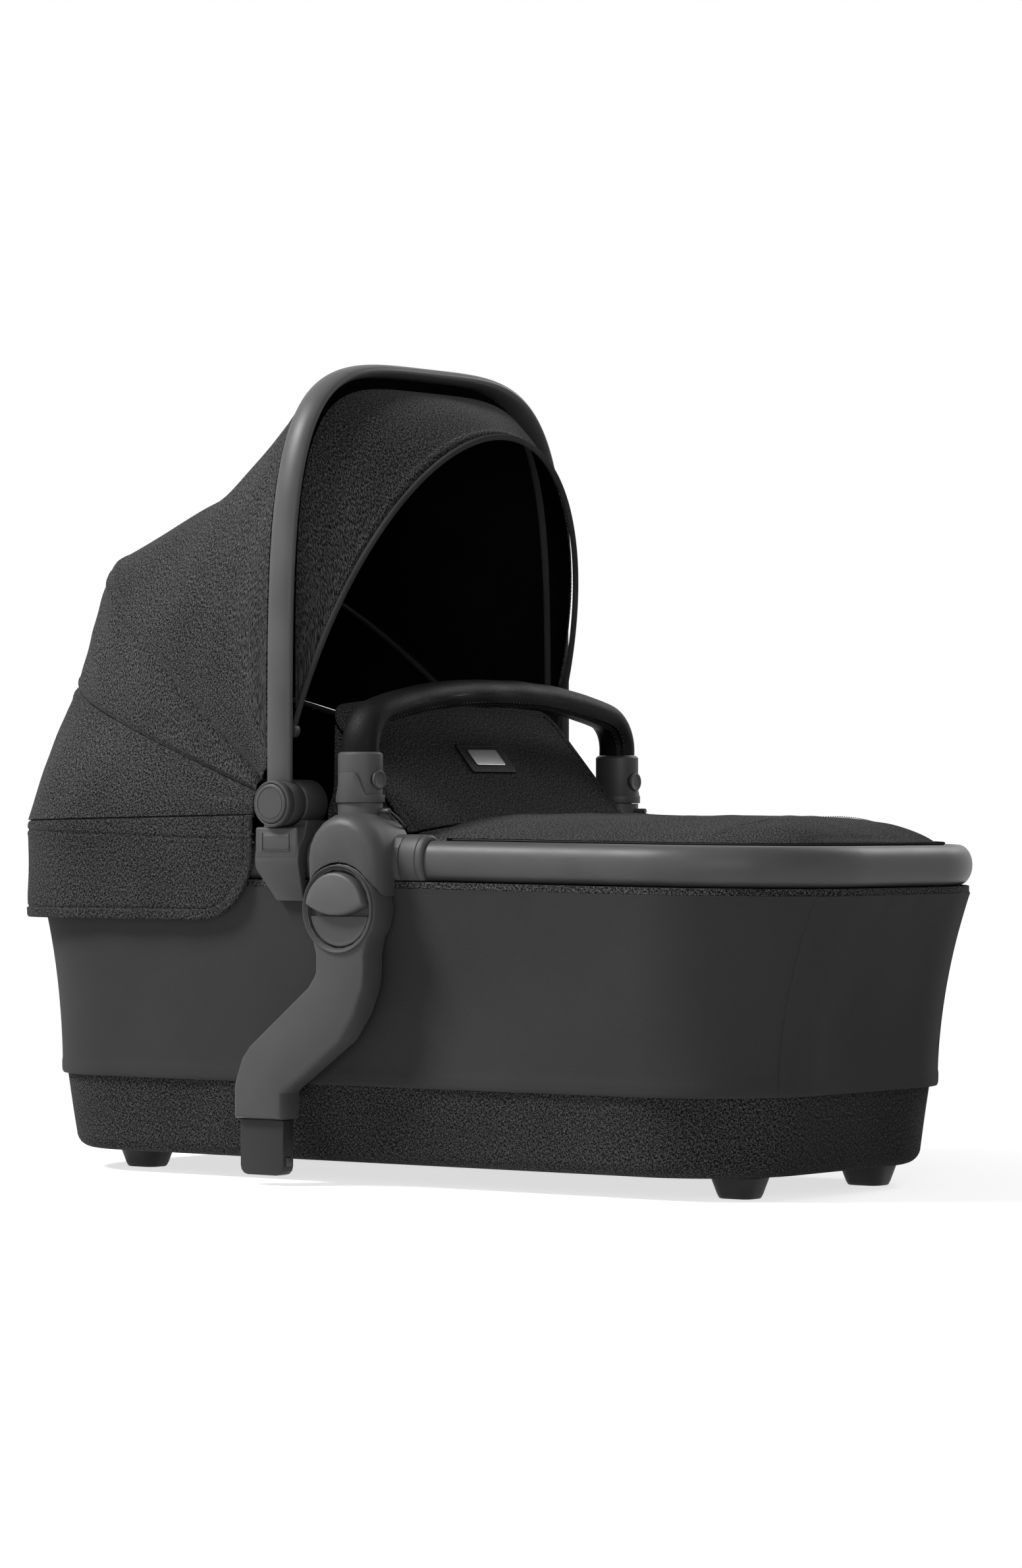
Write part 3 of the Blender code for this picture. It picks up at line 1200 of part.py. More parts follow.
def nudged(row, other, distance):
    """Row moved a short way towards another, which leaves the seam's gap between two panels."""
    return [point + (goal - point).normalized() * distance for point, goal in zip(row, other)]


def hood_rows(inset):
    """Rows of the hood fabric from the front bow back to the skirt, at a distance inside its outer skin."""
    shapes = ((PANEL_HALF, PANEL_DIP_RISE, PANEL_DIP_POWER, PANEL_DIP_ANGLE),
              (PANEL_HALF, PANEL_SWELL_RISE, PANEL_SWELL_POWER, PANEL_SWELL_ANGLE),
              (PANEL_HALF, PANEL_MID_RISE, MID_POWER, MID_ANGLE),
              (PANEL_REAR_HALF, PANEL_REAR_RISE, REAR_POWER, REAR_ANGLE))
    rows = [front_panel_row(inset)]
    for place, shape in enumerate(shapes, 1):
        rows.append(panel_row(*shape, inset, place))
    rows.append(base_row(inset))
    return rows


def build_hood_panels(material, bodies):
    """Three fabric panels between the skirt, the two wire bows and the front bow."""
    grids = (hood_rows(0.0), hood_rows(PANEL_THICK))
    last = len(grids[0]) - 1
    mid = last - 2
    panels = (("hood_panel_front", 0, mid, bodies["mid_bow"]),
              ("hood_panel_mid", mid, last - 1, bodies["rear_bow"]),
              ("hood_panel_rear", last - 1, last, None))
    for name, start, end, parent in panels:
        sheets = []
        for grid in grids:
            stack = list(grid[start:end + 1])
            if start:
                stack[0] = nudged(stack[0], stack[1], GAP)
            stack[-1] = nudged(stack[-1], stack[-2], GAP)
            if start:
                stack.insert(1, [a.lerp(b, HALFWAY) for a, b in zip(stack[0], stack[1])])
            sheets.append(stack)
        finish_object(name, mesh_of_sheet(name, *sheets), material, parent)


def build_hood_skirt(material):
    """Rear skirt of the hood over the rail, with a folded hem and rounded front corners."""
    outer = []
    inner = []
    plans = [skirt_plan(inset, CORNER_STEPS) for inset in (0.0, SKIRT_THICK, -SKIRT_FOLD_PROUD)]
    for skin, back, hem in zip(*plans):
        run = min((SKIRT_FRONT_X - skin[0]) / SKIRT_CORNER, 1.0)
        low = SKIRT_HEM + SKIRT_CORNER * (1.0 - math.sqrt(max(1.0 - (1.0 - run) ** 2, 0.0)))
        fold = low + SKIRT_FOLD_TALL
        heights = (low, fold, fold + SKIRT_FOLD_PROUD, skirt_top(skin[0]))
        outer.append([Vector((*place, height)) for place, height in zip((hem, hem, skin, skin), heights)])
        inner.append([Vector((*back, height)) for height in heights])
    finish_object("hood_skirt", mesh_of_sheet("hood_skirt", outer, inner), material)


def visor_arch(half, long, start):
    """Points of the visor's edge, in the plane that tilts forward from the visor's pivots."""
    points = arch_points(half, long, VISOR_POWER, start, ARCH_STEPS)
    return leaning(points, -VISOR_TILT, HINGE_X, VISOR_Z)


def build_visor_wire(material, carrier):
    """Visor wire with an eyelet at each foot."""
    tilt = math.radians(VISOR_TILT)
    across = Vector((math.cos(tilt), 0, -math.sin(tilt)))
    path = visor_arch(VISOR_HALF, VISOR_LONG, VISOR_EYELET_RADIUS * VISOR_WIRE_START_SHARE)
    rings = tube_rings(path, across, ellipse(VISOR_WIRE_RADIUS, VISOR_WIRE_RADIUS, WIRE_SIDES))
    start = VISOR_HALF - VISOR_EYELET_THICK / 2
    end = start + VISOR_EYELET_THICK
    centre = (HINGE_X, 0, VISOR_Z)
    discs = []
    bores = []
    for _, side in SIDES:
        axis = (0, side, 0)
        disc = cylinder_mesh("disc", centre, axis, start, end, VISOR_EYELET_RADIUS, sides=SMALL_SIDES)
        bore = cylinder_mesh("bore", centre, axis, start - OVERRUN, end + OVERRUN, VISOR_EYELET_BORE,
                             sides=WIRE_SIDES)
        discs.append(("UNION", disc))
        bores.append(("DIFFERENCE", bore))
    mesh = combined_mesh(mesh_of_rings("visor_wire", rings), discs + bores)
    finish_object("visor_wire", mesh, material, carrier)


def build_visor_fabric(material, carrier):
    """Slightly bulging fabric between the visor wire and the front bow."""
    sheets = []
    reach = VISOR_WIRE_RADIUS + 2 * GAP
    rise = VISOR_ROOT_RISE - (VISOR_Z - HINGE_Z)
    for inset in (0.0, VISOR_THICK):
        arch = arch_points(VISOR_ROOT_HALF - inset, rise - inset, BOW_POWER, VISOR_START, ARCH_STEPS)
        root = [Vector((HINGE_X, y, VISOR_Z + r)) for y, r in arch]
        edge = visor_arch(VISOR_HALF - 2 * VISOR_WIRE_RADIUS - inset, VISOR_LONG - inset, VISOR_START)
        edge = nudged(edge, root, reach)
        rows = []
        for share in VISOR_ROW_SHARES:
            swell = VISOR_BULGE * math.sin(share * math.pi)
            row = []
            for a, b in zip(root, edge):
                outward = Vector((0, a.y, a.z - VISOR_Z)).normalized()
                room = min((a.z - VISOR_Z) / VISOR_LONG, 1.0)
                row.append(a.lerp(b, share) + outward * swell * room)
            rows.append(row)
        sheets.append(rows)
    finish_object("visor_fabric", mesh_of_sheet("visor_fabric", *sheets), material, carrier)


def handle_path():
    """Centre line of the handle bar in its upright plane, from the right sleeve to the left one."""
    corner = (RAIL_Y - HANDLE_CORNER, HANDLE_CORNER_Z)
    half = [(RAIL_Y, SLEEVE_TOP + GAP)]
    half += arc(corner, HANDLE_CORNER, 0, HANDLE_CORNER_SWEEP, CORNER_STEPS + 1)
    end_y, end_z = half[-1]
    for share in HANDLE_CROWN_SHARES:
        half.append((end_y * share, HANDLE_RISE - (HANDLE_RISE - end_z) * share ** HANDLE_CROWN_POWER))
    path = [(-y, z) for y, z in half] + [(0.0, HANDLE_RISE)] + half[::-1]
    return [Vector((NECK_X, y, z)) for y, z in path]


def build_handle_bar(material, carrier):
    """Leatherette-covered bar between the two sleeves."""
    section = ellipse(HANDLE_THICK / 2, HANDLE_WIDE / 2, RAIL_SIDES)
    rings = tube_rings(handle_path(), Vector((1, 0, 0)), section)
    for ring, height in ((rings[0], SLEEVE_TOP + GAP), (rings[-1], SLEEVE_TOP + GAP)):
        for point in ring:
            point.z = height
    finish_object("handle_bar", mesh_of_rings("handle_bar", rings), material, carrier)


def build_sleeve(side_name, side, material, handle):
    """Sleeve over a spigot, hollow below and cut for its release button."""
    levels = [(NECK_TOP + GAP, 0.0), (SLEEVE_TOP - SLEEVE_EDGE, 0.0), (SLEEVE_TOP, SLEEVE_EDGE)]
    body = post_mesh("sleeve", side, NECK_LONG, NECK_WIDE, ROUND_SIDES, levels)
    hole_levels = [(NECK_TOP - OVERRUN, 0.0), (SLEEVE_TOP - SLEEVE_ROOF, 0.0)]
    hole = post_mesh("hole", side, SPIGOT_LONG + 2 * RUNNING_GAP, SPIGOT_WIDE + 2 * RUNNING_GAP, SPIGOT_SIDES,
                     hole_levels)
    face = NECK_LONG / 2
    heart = (NECK_X, side * RAIL_Y, HANDLE_BUTTON_Z)
    floor = face + HANDLE_BUTTON_PROUD - HANDLE_BUTTON_THICK - HANDLE_BUTTON_TRAVEL - GAP
    head = cylinder_mesh("head", heart, (1, 0, 0), floor, face + OVERRUN, HANDLE_BUTTON_RADIUS + GAP,
                         sides=SMALL_SIDES)
    shank = cylinder_mesh("shank", heart, (1, 0, 0), SPIGOT_LONG / 4, face + OVERRUN,
                          HANDLE_SHANK_RADIUS + GAP, sides=SMALL_SIDES)
    mesh = combined_mesh(body, [("DIFFERENCE", hole), ("DIFFERENCE", head), ("DIFFERENCE", shank)])
    finish_object(f"handle_sleeve_{side_name}", mesh, material, handle)


def build_handle_button(side_name, side, material):
    """Round release button of a sleeve, whose shank reaches into the spigot's groove."""
    first = NECK_LONG / 2 + HANDLE_BUTTON_PROUD
    back = first - HANDLE_BUTTON_THICK
    tip = SPIGOT_LONG / 2 - HANDLE_SHANK_REACH
    heart = (NECK_X, side * RAIL_Y, HANDLE_BUTTON_Z)
    profile = [(tip, HANDLE_SHANK_RADIUS), (back, HANDLE_SHANK_RADIUS), (back, HANDLE_BUTTON_RADIUS)]
    profile += [(first - GAP, HANDLE_BUTTON_RADIUS), (first, HANDLE_BUTTON_RADIUS - GAP)]
    button = mesh_of_rings("button", turned_rings(heart, (1, 0, 0), profile, SMALL_SIDES))
    carrier = empty_at(f"handle_button_axis_{side_name}", heart)
    finish_object(f"handle_button_{side_name}", button, material, carrier)


def build_sleeve_ring(side_name, side, material, handle):
    """Thin band round the foot of a sleeve, with a tab that rises on its outer side."""
    rows = []
    for outset in (GAP + SLEEVE_RING_THICK, GAP):
        oval = ellipse(NECK_LONG / 2 + outset, NECK_WIDE / 2 + outset, SLEEVE_RING_SIDES)
        low = [Vector((NECK_X + a, side * RAIL_Y + b, NECK_TOP + GAP)) for a, b in oval]
        high = []
        for a, b in oval:
            away = max((abs(a) - SLEEVE_TAB_WIDE / 2) / (SLEEVE_TAB_WIDE / 4), 0.0)
            rise = SLEEVE_TAB_TALL * max(1.0 - away, 0.0) if b * side > 0 else 0.0
            high.append(Vector((NECK_X + a, side * RAIL_Y + b, NECK_TOP + max(rise, SLEEVE_RING_TALL))))
        rows.append((low, high))
    (low_out, high_out), (low_in, high_in) = rows
    ring = mesh_of_rings("ring", [low_out, high_out, high_in, low_in], closed=True)
    finish_object(f"sleeve_ring_{side_name}", ring, material, handle)


def arm_outline():
    """Adaptor arm seen from the side: round head, neck, cranked shin and lower block, anticlockwise."""
    head = (HUB_X, HUB_LOW_Z)
    left, right = ARM_NECK_LEFT_X, ARM_NECK_RIGHT_X
    shin_left, shin_right = ARM_SHIN_LEFT_X, ARM_SHIN_RIGHT_X
    start, end = [math.degrees(math.atan2(ARM_NECK_TOP_Z - HUB_LOW_Z, x - HUB_X)) for x in (right, left)]
    end += 4 * QUARTER
    outline = arc(head, ARM_HEAD_RADIUS, start + ARM_HEAD_OPENING, end - ARM_HEAD_OPENING, ARM_HEAD_STEPS)
    bend = ARM_SHIN_WIDE * ARM_BEND_SHARE
    outline += [(left, ARM_NECK_TOP_Z - bend / 2), (left, ARM_KNEE_LEFT_Z + bend / 2)]
    outline += [(left - bend / 4, ARM_KNEE_LEFT_Z), (left - bend, ARM_KNEE_LEFT_Z - bend)]
    outline += [(shin_left + 2 * bend, ARM_SHIN_LEFT_Z + 2 * bend)]
    outline += [(shin_left + bend, ARM_SHIN_LEFT_Z + bend * ARM_SHIN_SOFT_SHARE)]
    outline += [(shin_left + bend / 3, ARM_SHIN_LEFT_Z - bend), (shin_left, ARM_SHIN_LEFT_Z - 2 * bend)]
    outline += [(shin_left, ARM_BOTTOM), (shin_right, ARM_BOTTOM), (shin_right, ARM_SHIN_RIGHT_Z - bend / 2)]
    outline += [(shin_right + bend / 2, ARM_SHIN_RIGHT_Z), (shin_right + 2 * bend, ARM_SHIN_RIGHT_Z + bend)]
    run = right - shin_right
    outline += [(right - run * back, ARM_KNEE_RIGHT_Z - run * drop) for back, drop in ARM_HOLLOW_SHARES]
    outline += [(right, ARM_KNEE_RIGHT_Z + bend), (right, ARM_NECK_TOP_Z - bend / 2)]
    return outline


def paddle_outline():
    """Half-moon of the release paddle: the knob's upper arc over a shallow lower curve."""
    heart = (HUB_X, HUB_LOW_Z)
    start = math.degrees(math.asin((PADDLE_SIDE_Z - HUB_LOW_Z) / PADDLE_RADIUS))
    outline = arc(heart, PADDLE_RADIUS, start, 2 * QUARTER - start, HEAD_ARC_STEPS)
    half = PADDLE_RADIUS * math.cos(math.radians(start))
    drop = PADDLE_SIDE_Z - PADDLE_LOW_Z
    for share in PADDLE_LOW_SHARES:
        outline.append((HUB_X + half * share, PADDLE_SIDE_Z - drop * (1.0 - share ** 2)))
    return outline


def build_arm(side_name, side, material, carrier):
    """Cranked adaptor arm with the tongue that slides into the hub and a round recess in its face."""
    body = slab_mesh("arm", arm_outline(), facing_side(side), edge_levels(ARM_INNER_Y, ARM_FACE_Y, ARM_EDGE))
    middle = tongue_centre()
    half = TONGUE_THICK / 2
    low = (HUB_X - TONGUE_LONG / 2, HUB_LOW_Z)
    high = (HUB_X + TONGUE_LONG / 2, TONGUE_TOP)
    outline = rounded_outline(low, high, (HUB_INNER_EDGE,) * 4, SMALL_CORNER_STEPS)
    tongue = slab_mesh("tongue", outline, facing_side(side), [(middle - half, 0.0), (middle + half, 0.0)])
    recess = cylinder_mesh("recess", (HUB_X, 0, HUB_LOW_Z), (0, side, 0), ARM_FACE_Y - KNOB_RECESS_DEEP,
                           ARM_FACE_Y + OVERRUN, KNOB_RECESS_RADIUS)
    arm = combined_mesh(body, [("UNION", tongue), ("DIFFERENCE", recess)])
    finish_object(f"adaptor_arm_{side_name}", arm, material, carrier)


def build_knob_rim(side_name, side, material, carrier):
    """Bright bevelled ring round the recess of an adaptor arm."""
    start = ARM_FACE_Y + GAP
    end = ARM_FACE_Y + RIM_PROUD
    profile = [(start, KNOB_RECESS_RADIUS), (start, KNOB_RADIUS), (end - RIM_EDGE, KNOB_RADIUS)]
    profile += [(end, KNOB_RADIUS - RIM_EDGE), (end, KNOB_RECESS_RADIUS + RIM_EDGE / 2)]
    rings = turned_rings((HUB_X, 0, HUB_LOW_Z), (0, side, 0), profile)
    finish_object(f"knob_rim_{side_name}", mesh_of_rings("rim", rings, closed=True), material, carrier)


def build_paddle(side_name, side, material):
    """Half-moon release paddle in the recess, which turns about its upper edge."""
    back = ARM_FACE_Y - KNOB_RECESS_DEEP + PADDLE_SEAT
    levels = [(back, 0.0)] + face_levels(ARM_FACE_Y + PADDLE_PROUD, PADDLE_EDGE)
    hinge = empty_at(f"paddle_axis_{side_name}", (HUB_X, side * back, PADDLE_AXIS_Z))
    paddle = slab_mesh("paddle", paddle_outline(), facing_side(side), levels)
    finish_object(f"release_paddle_{side_name}", paddle, material, hinge)


def build_plug(side_name, side, material, catch_material, carrier):
    """Plug under an adaptor arm with a spring catch in its foot-end face."""
    middle_x = (ARM_SHIN_LEFT_X + ARM_SHIN_RIGHT_X) / 2
    middle_y = (ARM_INNER_Y + ARM_FACE_Y) / 2
    place = facing_side(side)
    low = (middle_x - PLUG_LONG / 2, PLUG_BOTTOM)
    high = (middle_x + PLUG_LONG / 2, ARM_BOTTOM - GAP)
    radii = (PLUG_EDGE, PLUG_EDGE, PLUG_CORNER, PLUG_CORNER)
    outline = rounded_outline(low, high, radii, PLUG_CORNER_STEPS)
    first = middle_y - PLUG_THICK / 2
    plug = slab_mesh("plug", outline, place, edge_levels(first, first + PLUG_THICK, PLUG_EDGE / 2))
    catch_high = (high[0] + CATCH_PROUD, CATCH_Z + CATCH_TALL / 2)
    catch_low = (catch_high[0] - CATCH_LONG, CATCH_Z - CATCH_TALL / 2)
    room_low = (catch_low[0] - CATCH_TRAVEL - GAP, catch_low[1] - GAP)
    room = rounded_outline(room_low, (high[0] + OVERRUN, catch_high[1] + GAP), (GAP,) * 4, 1)
    half = CATCH_THICK / 2
    room_mesh = slab_mesh("room", room, place, [(middle_y - half - GAP, 0.0), (middle_y + half + GAP, 0.0)])
    plug = combined_mesh(plug, [("DIFFERENCE", room_mesh)])
    finish_object(f"plug_{side_name}", plug, material, carrier)
    slide = empty_at(f"catch_axis_{side_name}", (catch_high[0], side * middle_y, CATCH_Z))
    catch = rounded_outline(catch_low, catch_high, (PLUG_EDGE / 2,) * 4, SMALL_CORNER_STEPS)
    mesh = slab_mesh("catch", catch, place, [(middle_y - half, 0.0), (middle_y + half, 0.0)])
    finish_object(f"plug_catch_{side_name}", mesh, catch_material, slide)


def apron_sizes():
    """Foot end, half-width and foot corner radius of the apron inside the rail."""
    rail_side = RAIL_THICK / 2 * math.sqrt(1.0 - BAND_LOW_SHARE ** 2)
    inset = rail_side + GAP + BAND_THICK
    return RAIL_FOOT_X - RAIL_THICK / 2 - inset, RAIL_Y - inset, RAIL_FOOT_RADIUS - inset


def build_apron(material):
    """Domed apron over the foot half of the tub."""
    foot_x, half, radius = apron_sizes()
    bend = foot_x - radius
    stations = [(APRON_X + (bend - APRON_X) * share, half) for share in APRON_ROW_SHARES]
    corner = arc((0.0, 0.0), radius, 0, QUARTER, RAIL_CORNER_STEPS)
    stations += [(bend + x, half - radius + y) for y, x in corner]
    sheets = []
    for drop in (0.0, APRON_THICK):
        rows = []
        for x, wide in stations:
            edge = APRON_EDGE_Z - RAIL_FOOT_DROP * x / RAIL_FOOT_X - drop
            row = []
            for share in APRON_COLUMN_SHARES:
                inside = min(wide * (1.0 - abs(share)), foot_x - x) / half
                rise = (APRON_CROWN - APRON_EDGE_Z) * (1.0 - (1.0 - inside) ** APRON_CROWN_POWER)
                row.append(Vector((x, wide * share, edge + rise)))
            rows.append(row)
        sheets.append(rows)
    finish_object("apron", mesh_of_sheet("apron", *sheets), material)


def build_apron_band(material):
    """Zipped band between the apron and the front rail."""
    foot_x, half, radius = apron_sizes()
    high = (foot_x + BAND_THICK, half + BAND_THICK)
    bends = rounded_outline((-high[0], -high[1]), high, (radius + BAND_THICK,) * 4, RAIL_CORNER_STEPS)
    count = RAIL_CORNER_STEPS + 1
    line = [(BAND_START_X, -high[1]), *bends[-count:], *bends[:count], (BAND_START_X, high[1])]
    inside = BAND_THICK - GAP
    rings = []
    for index, (x, y) in enumerate(line):
        before = Vector(line[max(index - 1, 0)])
        after = Vector(line[min(index + 1, len(line) - 1)])
        ahead = (after - before).normalized()
        inward = Vector((-ahead.y, ahead.x))
        low = rail_z(x) + RAIL_TALL / 2 * BAND_LOW_SHARE
        corners = ((0.0, low), (0.0, low + BAND_TALL), (inside, low + BAND_TALL), (inside, low))
        place = Vector((x, y))
        rings.append([Vector((*(place + inward * reach), height)) for reach, height in corners])
    finish_object("apron_band", mesh_of_rings("apron_band", rings), material)


def flap_point(across, up, out):
    """Point of the wind flap: distance across, distance up its slope and distance out of its front face."""
    lean = math.radians(FLAP_LEAN)
    share = min(abs(across) / FLAP_HALF, 1.0)
    base = FLAP_MID_Z + (FLAP_SIDE_Z - FLAP_MID_Z) * share ** 2
    x = FLAP_X - up * math.sin(lean) + out * math.cos(lean)
    return Vector((x, across, base + up * math.cos(lean) + out * math.sin(lean)))


def build_wind_flap(material, parent):
    """Raised wind flap at the head of the apron."""
    sheets = []
    for out in (FLAP_THICK / 2, -FLAP_THICK / 2):
        rows = []
        for share in FLAP_ROW_SHARES:
            up = FLAP_LONG * share
            half = FLAP_HALF + (FLAP_TOP_HALF - FLAP_HALF) * share
            beyond = max(up - (FLAP_LONG - FLAP_CORNER), 0.0)
            half -= FLAP_CORNER - math.sqrt(max(FLAP_CORNER ** 2 - beyond ** 2, 0.0))
            across = [half * (2.0 * index / FLAP_STEPS - 1.0) for index in range(FLAP_STEPS + 1)]
            rows.append([flap_point(place, up, out) for place in across])
        sheets.append(rows)
    finish_object("wind_flap", mesh_of_sheet("wind_flap", *sheets), material, parent)


def build_flap_wings(material):
    """Fabric wings that run back from the sides of the wind flap."""
    lean = math.radians(FLAP_LEAN)
    front_x = FLAP_X - FLAP_THICK
    high_z = WING_LOW_Z + (FLAP_LONG - FLAP_CORNER) * math.cos(lean)
    front_high = Vector((front_x - (high_z - WING_LOW_Z) * math.tan(lean), 0, high_z))
    back = Vector((WING_END_X, 0, WING_END_Z))
    for side_name, side in SIDES:
        sheets = []
        for thick in (0.0, -WING_THICK):
            rows = []
            for share in WING_SHARES:
                foot = Vector((front_x + (WING_END_X - FLAP_X) * share, 0, WING_LOW_Z))
                top = front_high.lerp(back, share)
                row = []
                for climb in WING_SHARES:
                    point = foot.lerp(top, climb)
                    bow = WING_OUT * math.sin(climb * math.pi) * share
                    half = FLAP_HALF + (FLAP_TOP_HALF - FLAP_HALF) * climb + FLAP_THICK
                    row.append(Vector((point.x, side * (half + thick + bow), point.z)))
                rows.append(row)
            sheets.append(rows)
        name = f"flap_wing_{side_name}"
        finish_object(name, mesh_of_sheet(name, *sheets), material)


def build_label(patch_material, plate_material, parent):
    """Leather patch on the wind flap with a bare metal plate on it."""
    start = FLAP_THICK / 2 + GAP
    lean = math.radians(FLAP_LEAN)
    ahead = Vector((math.cos(lean), 0, math.sin(lean)))
    rise = Vector((-math.sin(lean), 0, math.cos(lean)))
    foot = Vector((FLAP_X, 0, FLAP_MID_Z))
    place = lambda across, up, out: foot + Vector((0, across, 0)) + rise * up + ahead * out
    sizes = (("label_patch", PATCH_WIDE, PATCH_TALL, start, PATCH_THICK, patch_material),
             ("label_plate", PLATE_WIDE, PLATE_TALL, start + PATCH_THICK + GAP, PLATE_THICK, plate_material))
    for name, wide, tall, first, thick, material in sizes:
        low = (-wide / 2, PATCH_UP - tall / 2)
        high = (wide / 2, PATCH_UP + tall / 2)
        outline = rounded_outline(low, high, (tall * LABEL_CORNER_SHARE,) * 4, SMALL_CORNER_STEPS)
        mesh = slab_mesh(name, outline, place, [(first, 0.0), (first + thick, 0.0)])
        finish_object(name, mesh, material, parent)


def build_tub(charcoal, metal, dark):
    """Base, covers, tub, mattress, rails and hubs, none of which moves."""
    twill = make_material("base_twill", MELANGE_TWILL)
    build_base_fabric(twill)
    build_base_shell(dark)
    build_feet(dark)
    build_side_fabric(make_material("softshell_fabric", SOFTSHELL_FABRIC))
    build_rim_binding(twill)
    build_tub_wall(dark)
    build_lining(make_material("lining_fabric", LINING_FABRIC))
    build_mattress(make_material("mattress_cover", MATTRESS_COVER))
    build_rails(metal)
    build_front_collars(charcoal)
    build_hubs(charcoal)


def build_hood(charcoal, metal, twill, steel):
    """Hood with its hinges, bows, fabric and visor."""
    names = ("rear_bow", "mid_bow", "front_bow")
    bodies = {name: empty_at(f"{name}_axis", (HINGE_X, 0, HINGE_Z)) for name in names}
    visor = empty_at("visor_axis", (HINGE_X, 0, VISOR_Z))
    build_brackets(charcoal)
    build_hinge_housings(charcoal, steel)
    build_bow_feet(charcoal, bodies["front_bow"])
    build_hinge_buttons(charcoal)
    build_front_bow(metal, bodies["front_bow"])
    mid_shape = (MID_HALF, MID_RISE, MID_POWER, MID_ANGLE, MID_FOOT_Y)
    rear_shape = (REAR_HALF, REAR_RISE, REAR_POWER, REAR_ANGLE, REAR_FOOT_Y)
    build_wire_bow("mid_bow", mid_shape, steel, bodies["mid_bow"])
    build_wire_bow("rear_bow", rear_shape, steel, bodies["rear_bow"])
    build_hood_panels(twill, bodies)
    build_hood_skirt(twill)
    build_visor_wire(steel, visor)
    build_visor_fabric(twill, visor)


def build_handle_and_adaptors(charcoal, metal, dark, leather):
    """Carry handle and chassis adaptors, each side's small pieces on their own axes."""
    handle = empty_at("handle_axis", (NECK_X, 0, NECK_TOP))
    build_handle_bar(leather, handle)
    for side_name, side in SIDES:
        build_sleeve(side_name, side, charcoal, handle)
        build_handle_button(side_name, side, charcoal)
        build_sleeve_ring(side_name, side, dark, handle)
        adaptor = empty_at(f"adaptor_axis_{side_name}", (HUB_X, side * ARM_INNER_Y, HUB_LOW_Z))
        build_arm(side_name, side, charcoal, adaptor)
        build_knob_rim(side_name, side, metal, adaptor)
        build_paddle(side_name, side, charcoal)
        build_plug(side_name, side, dark, charcoal, adaptor)


def build_all():
    """Build every piece, each moving one on an empty that stands on its joint axis."""
    clear_scene()
    charcoal = make_material("charcoal_plastic", CHARCOAL_PLASTIC)
    metal = make_material("powder_coated_metal", COATED_METAL)
    twill = make_material("melange_twill", MELANGE_TWILL)
    leather = make_material("black_leather", BLACK_LEATHER)
    dark = make_material("dark_plastic", DARK_PLASTIC)
    steel = make_material("bare_steel", BARE_STEEL)
    build_tub(charcoal, metal, dark)
    build_hood(charcoal, metal, twill, steel)
    build_handle_and_adaptors(charcoal, metal, dark, leather)
    build_apron(twill)
    build_apron_band(make_material("band_fabric", LINING_FABRIC))
    flap = empty_at("flap_axis", (FLAP_X, 0, FLAP_MID_Z))
    build_wind_flap(twill, flap)
    build_flap_wings(twill)
    build_label(leather, steel, flap)


build_all()
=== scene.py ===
import math

import bmesh
import bpy
import numpy as np
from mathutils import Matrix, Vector


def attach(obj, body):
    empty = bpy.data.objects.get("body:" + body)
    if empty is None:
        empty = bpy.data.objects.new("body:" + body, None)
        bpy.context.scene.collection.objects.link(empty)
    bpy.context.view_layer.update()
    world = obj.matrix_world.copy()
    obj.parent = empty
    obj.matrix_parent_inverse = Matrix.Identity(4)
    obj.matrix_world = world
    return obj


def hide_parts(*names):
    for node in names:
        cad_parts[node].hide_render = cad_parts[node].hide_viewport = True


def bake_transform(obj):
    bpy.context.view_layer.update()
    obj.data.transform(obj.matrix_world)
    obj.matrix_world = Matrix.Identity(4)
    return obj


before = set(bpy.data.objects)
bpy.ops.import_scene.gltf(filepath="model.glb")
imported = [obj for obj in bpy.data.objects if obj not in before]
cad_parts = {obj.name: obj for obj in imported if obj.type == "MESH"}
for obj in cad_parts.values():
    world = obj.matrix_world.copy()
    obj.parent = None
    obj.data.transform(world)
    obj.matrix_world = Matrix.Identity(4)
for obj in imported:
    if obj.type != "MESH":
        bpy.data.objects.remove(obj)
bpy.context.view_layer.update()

SIDES = (("left", 1), ("right", -1))
UP = np.array((0.0, 0.0, 1.0))
ALONG = np.array((1.0, 0.0, 0.0))
ACROSS = np.array((0.0, 1.0, 0.0))
ROUND = 2.0 * math.pi
WHITE = (1.0, 1.0, 1.0, 1.0)

# Clearance that fabric keeps to its neighbours
GAP = 0.0003

# Camera of the photograph: its place, the way it looks and its lens
CAMERA_TURN = 36.9
CAMERA_AWAY = 4.556
CAMERA_ASIDE = 0.0113
CAMERA_HEIGHT = 0.322
CAMERA_PITCH = 0.342
CAMERA_SHIFT_X = 0.003
CAMERA_LENS = 117.1

# Studio: the floor keeps its shadow up to the first distance and is white from the second
FLOOR_SHADOW_START = 0.40
FLOOR_SHADOW_END = 0.72
FLOOR_LIFT = 0.70
FLOOR_HALF = 30.0
WORLD_LEVEL = 0.09
AIM = (0.0, 0.0, 0.30)
LAMPS = (("key", (-1.73, -1.87, 2.82), 1.1, 150.0), ("front", (2.2, -3.0, 0.9), 1.6, 28.0),
         ("back", (0.6, 2.6, 2.0), 1.4, 26.0))

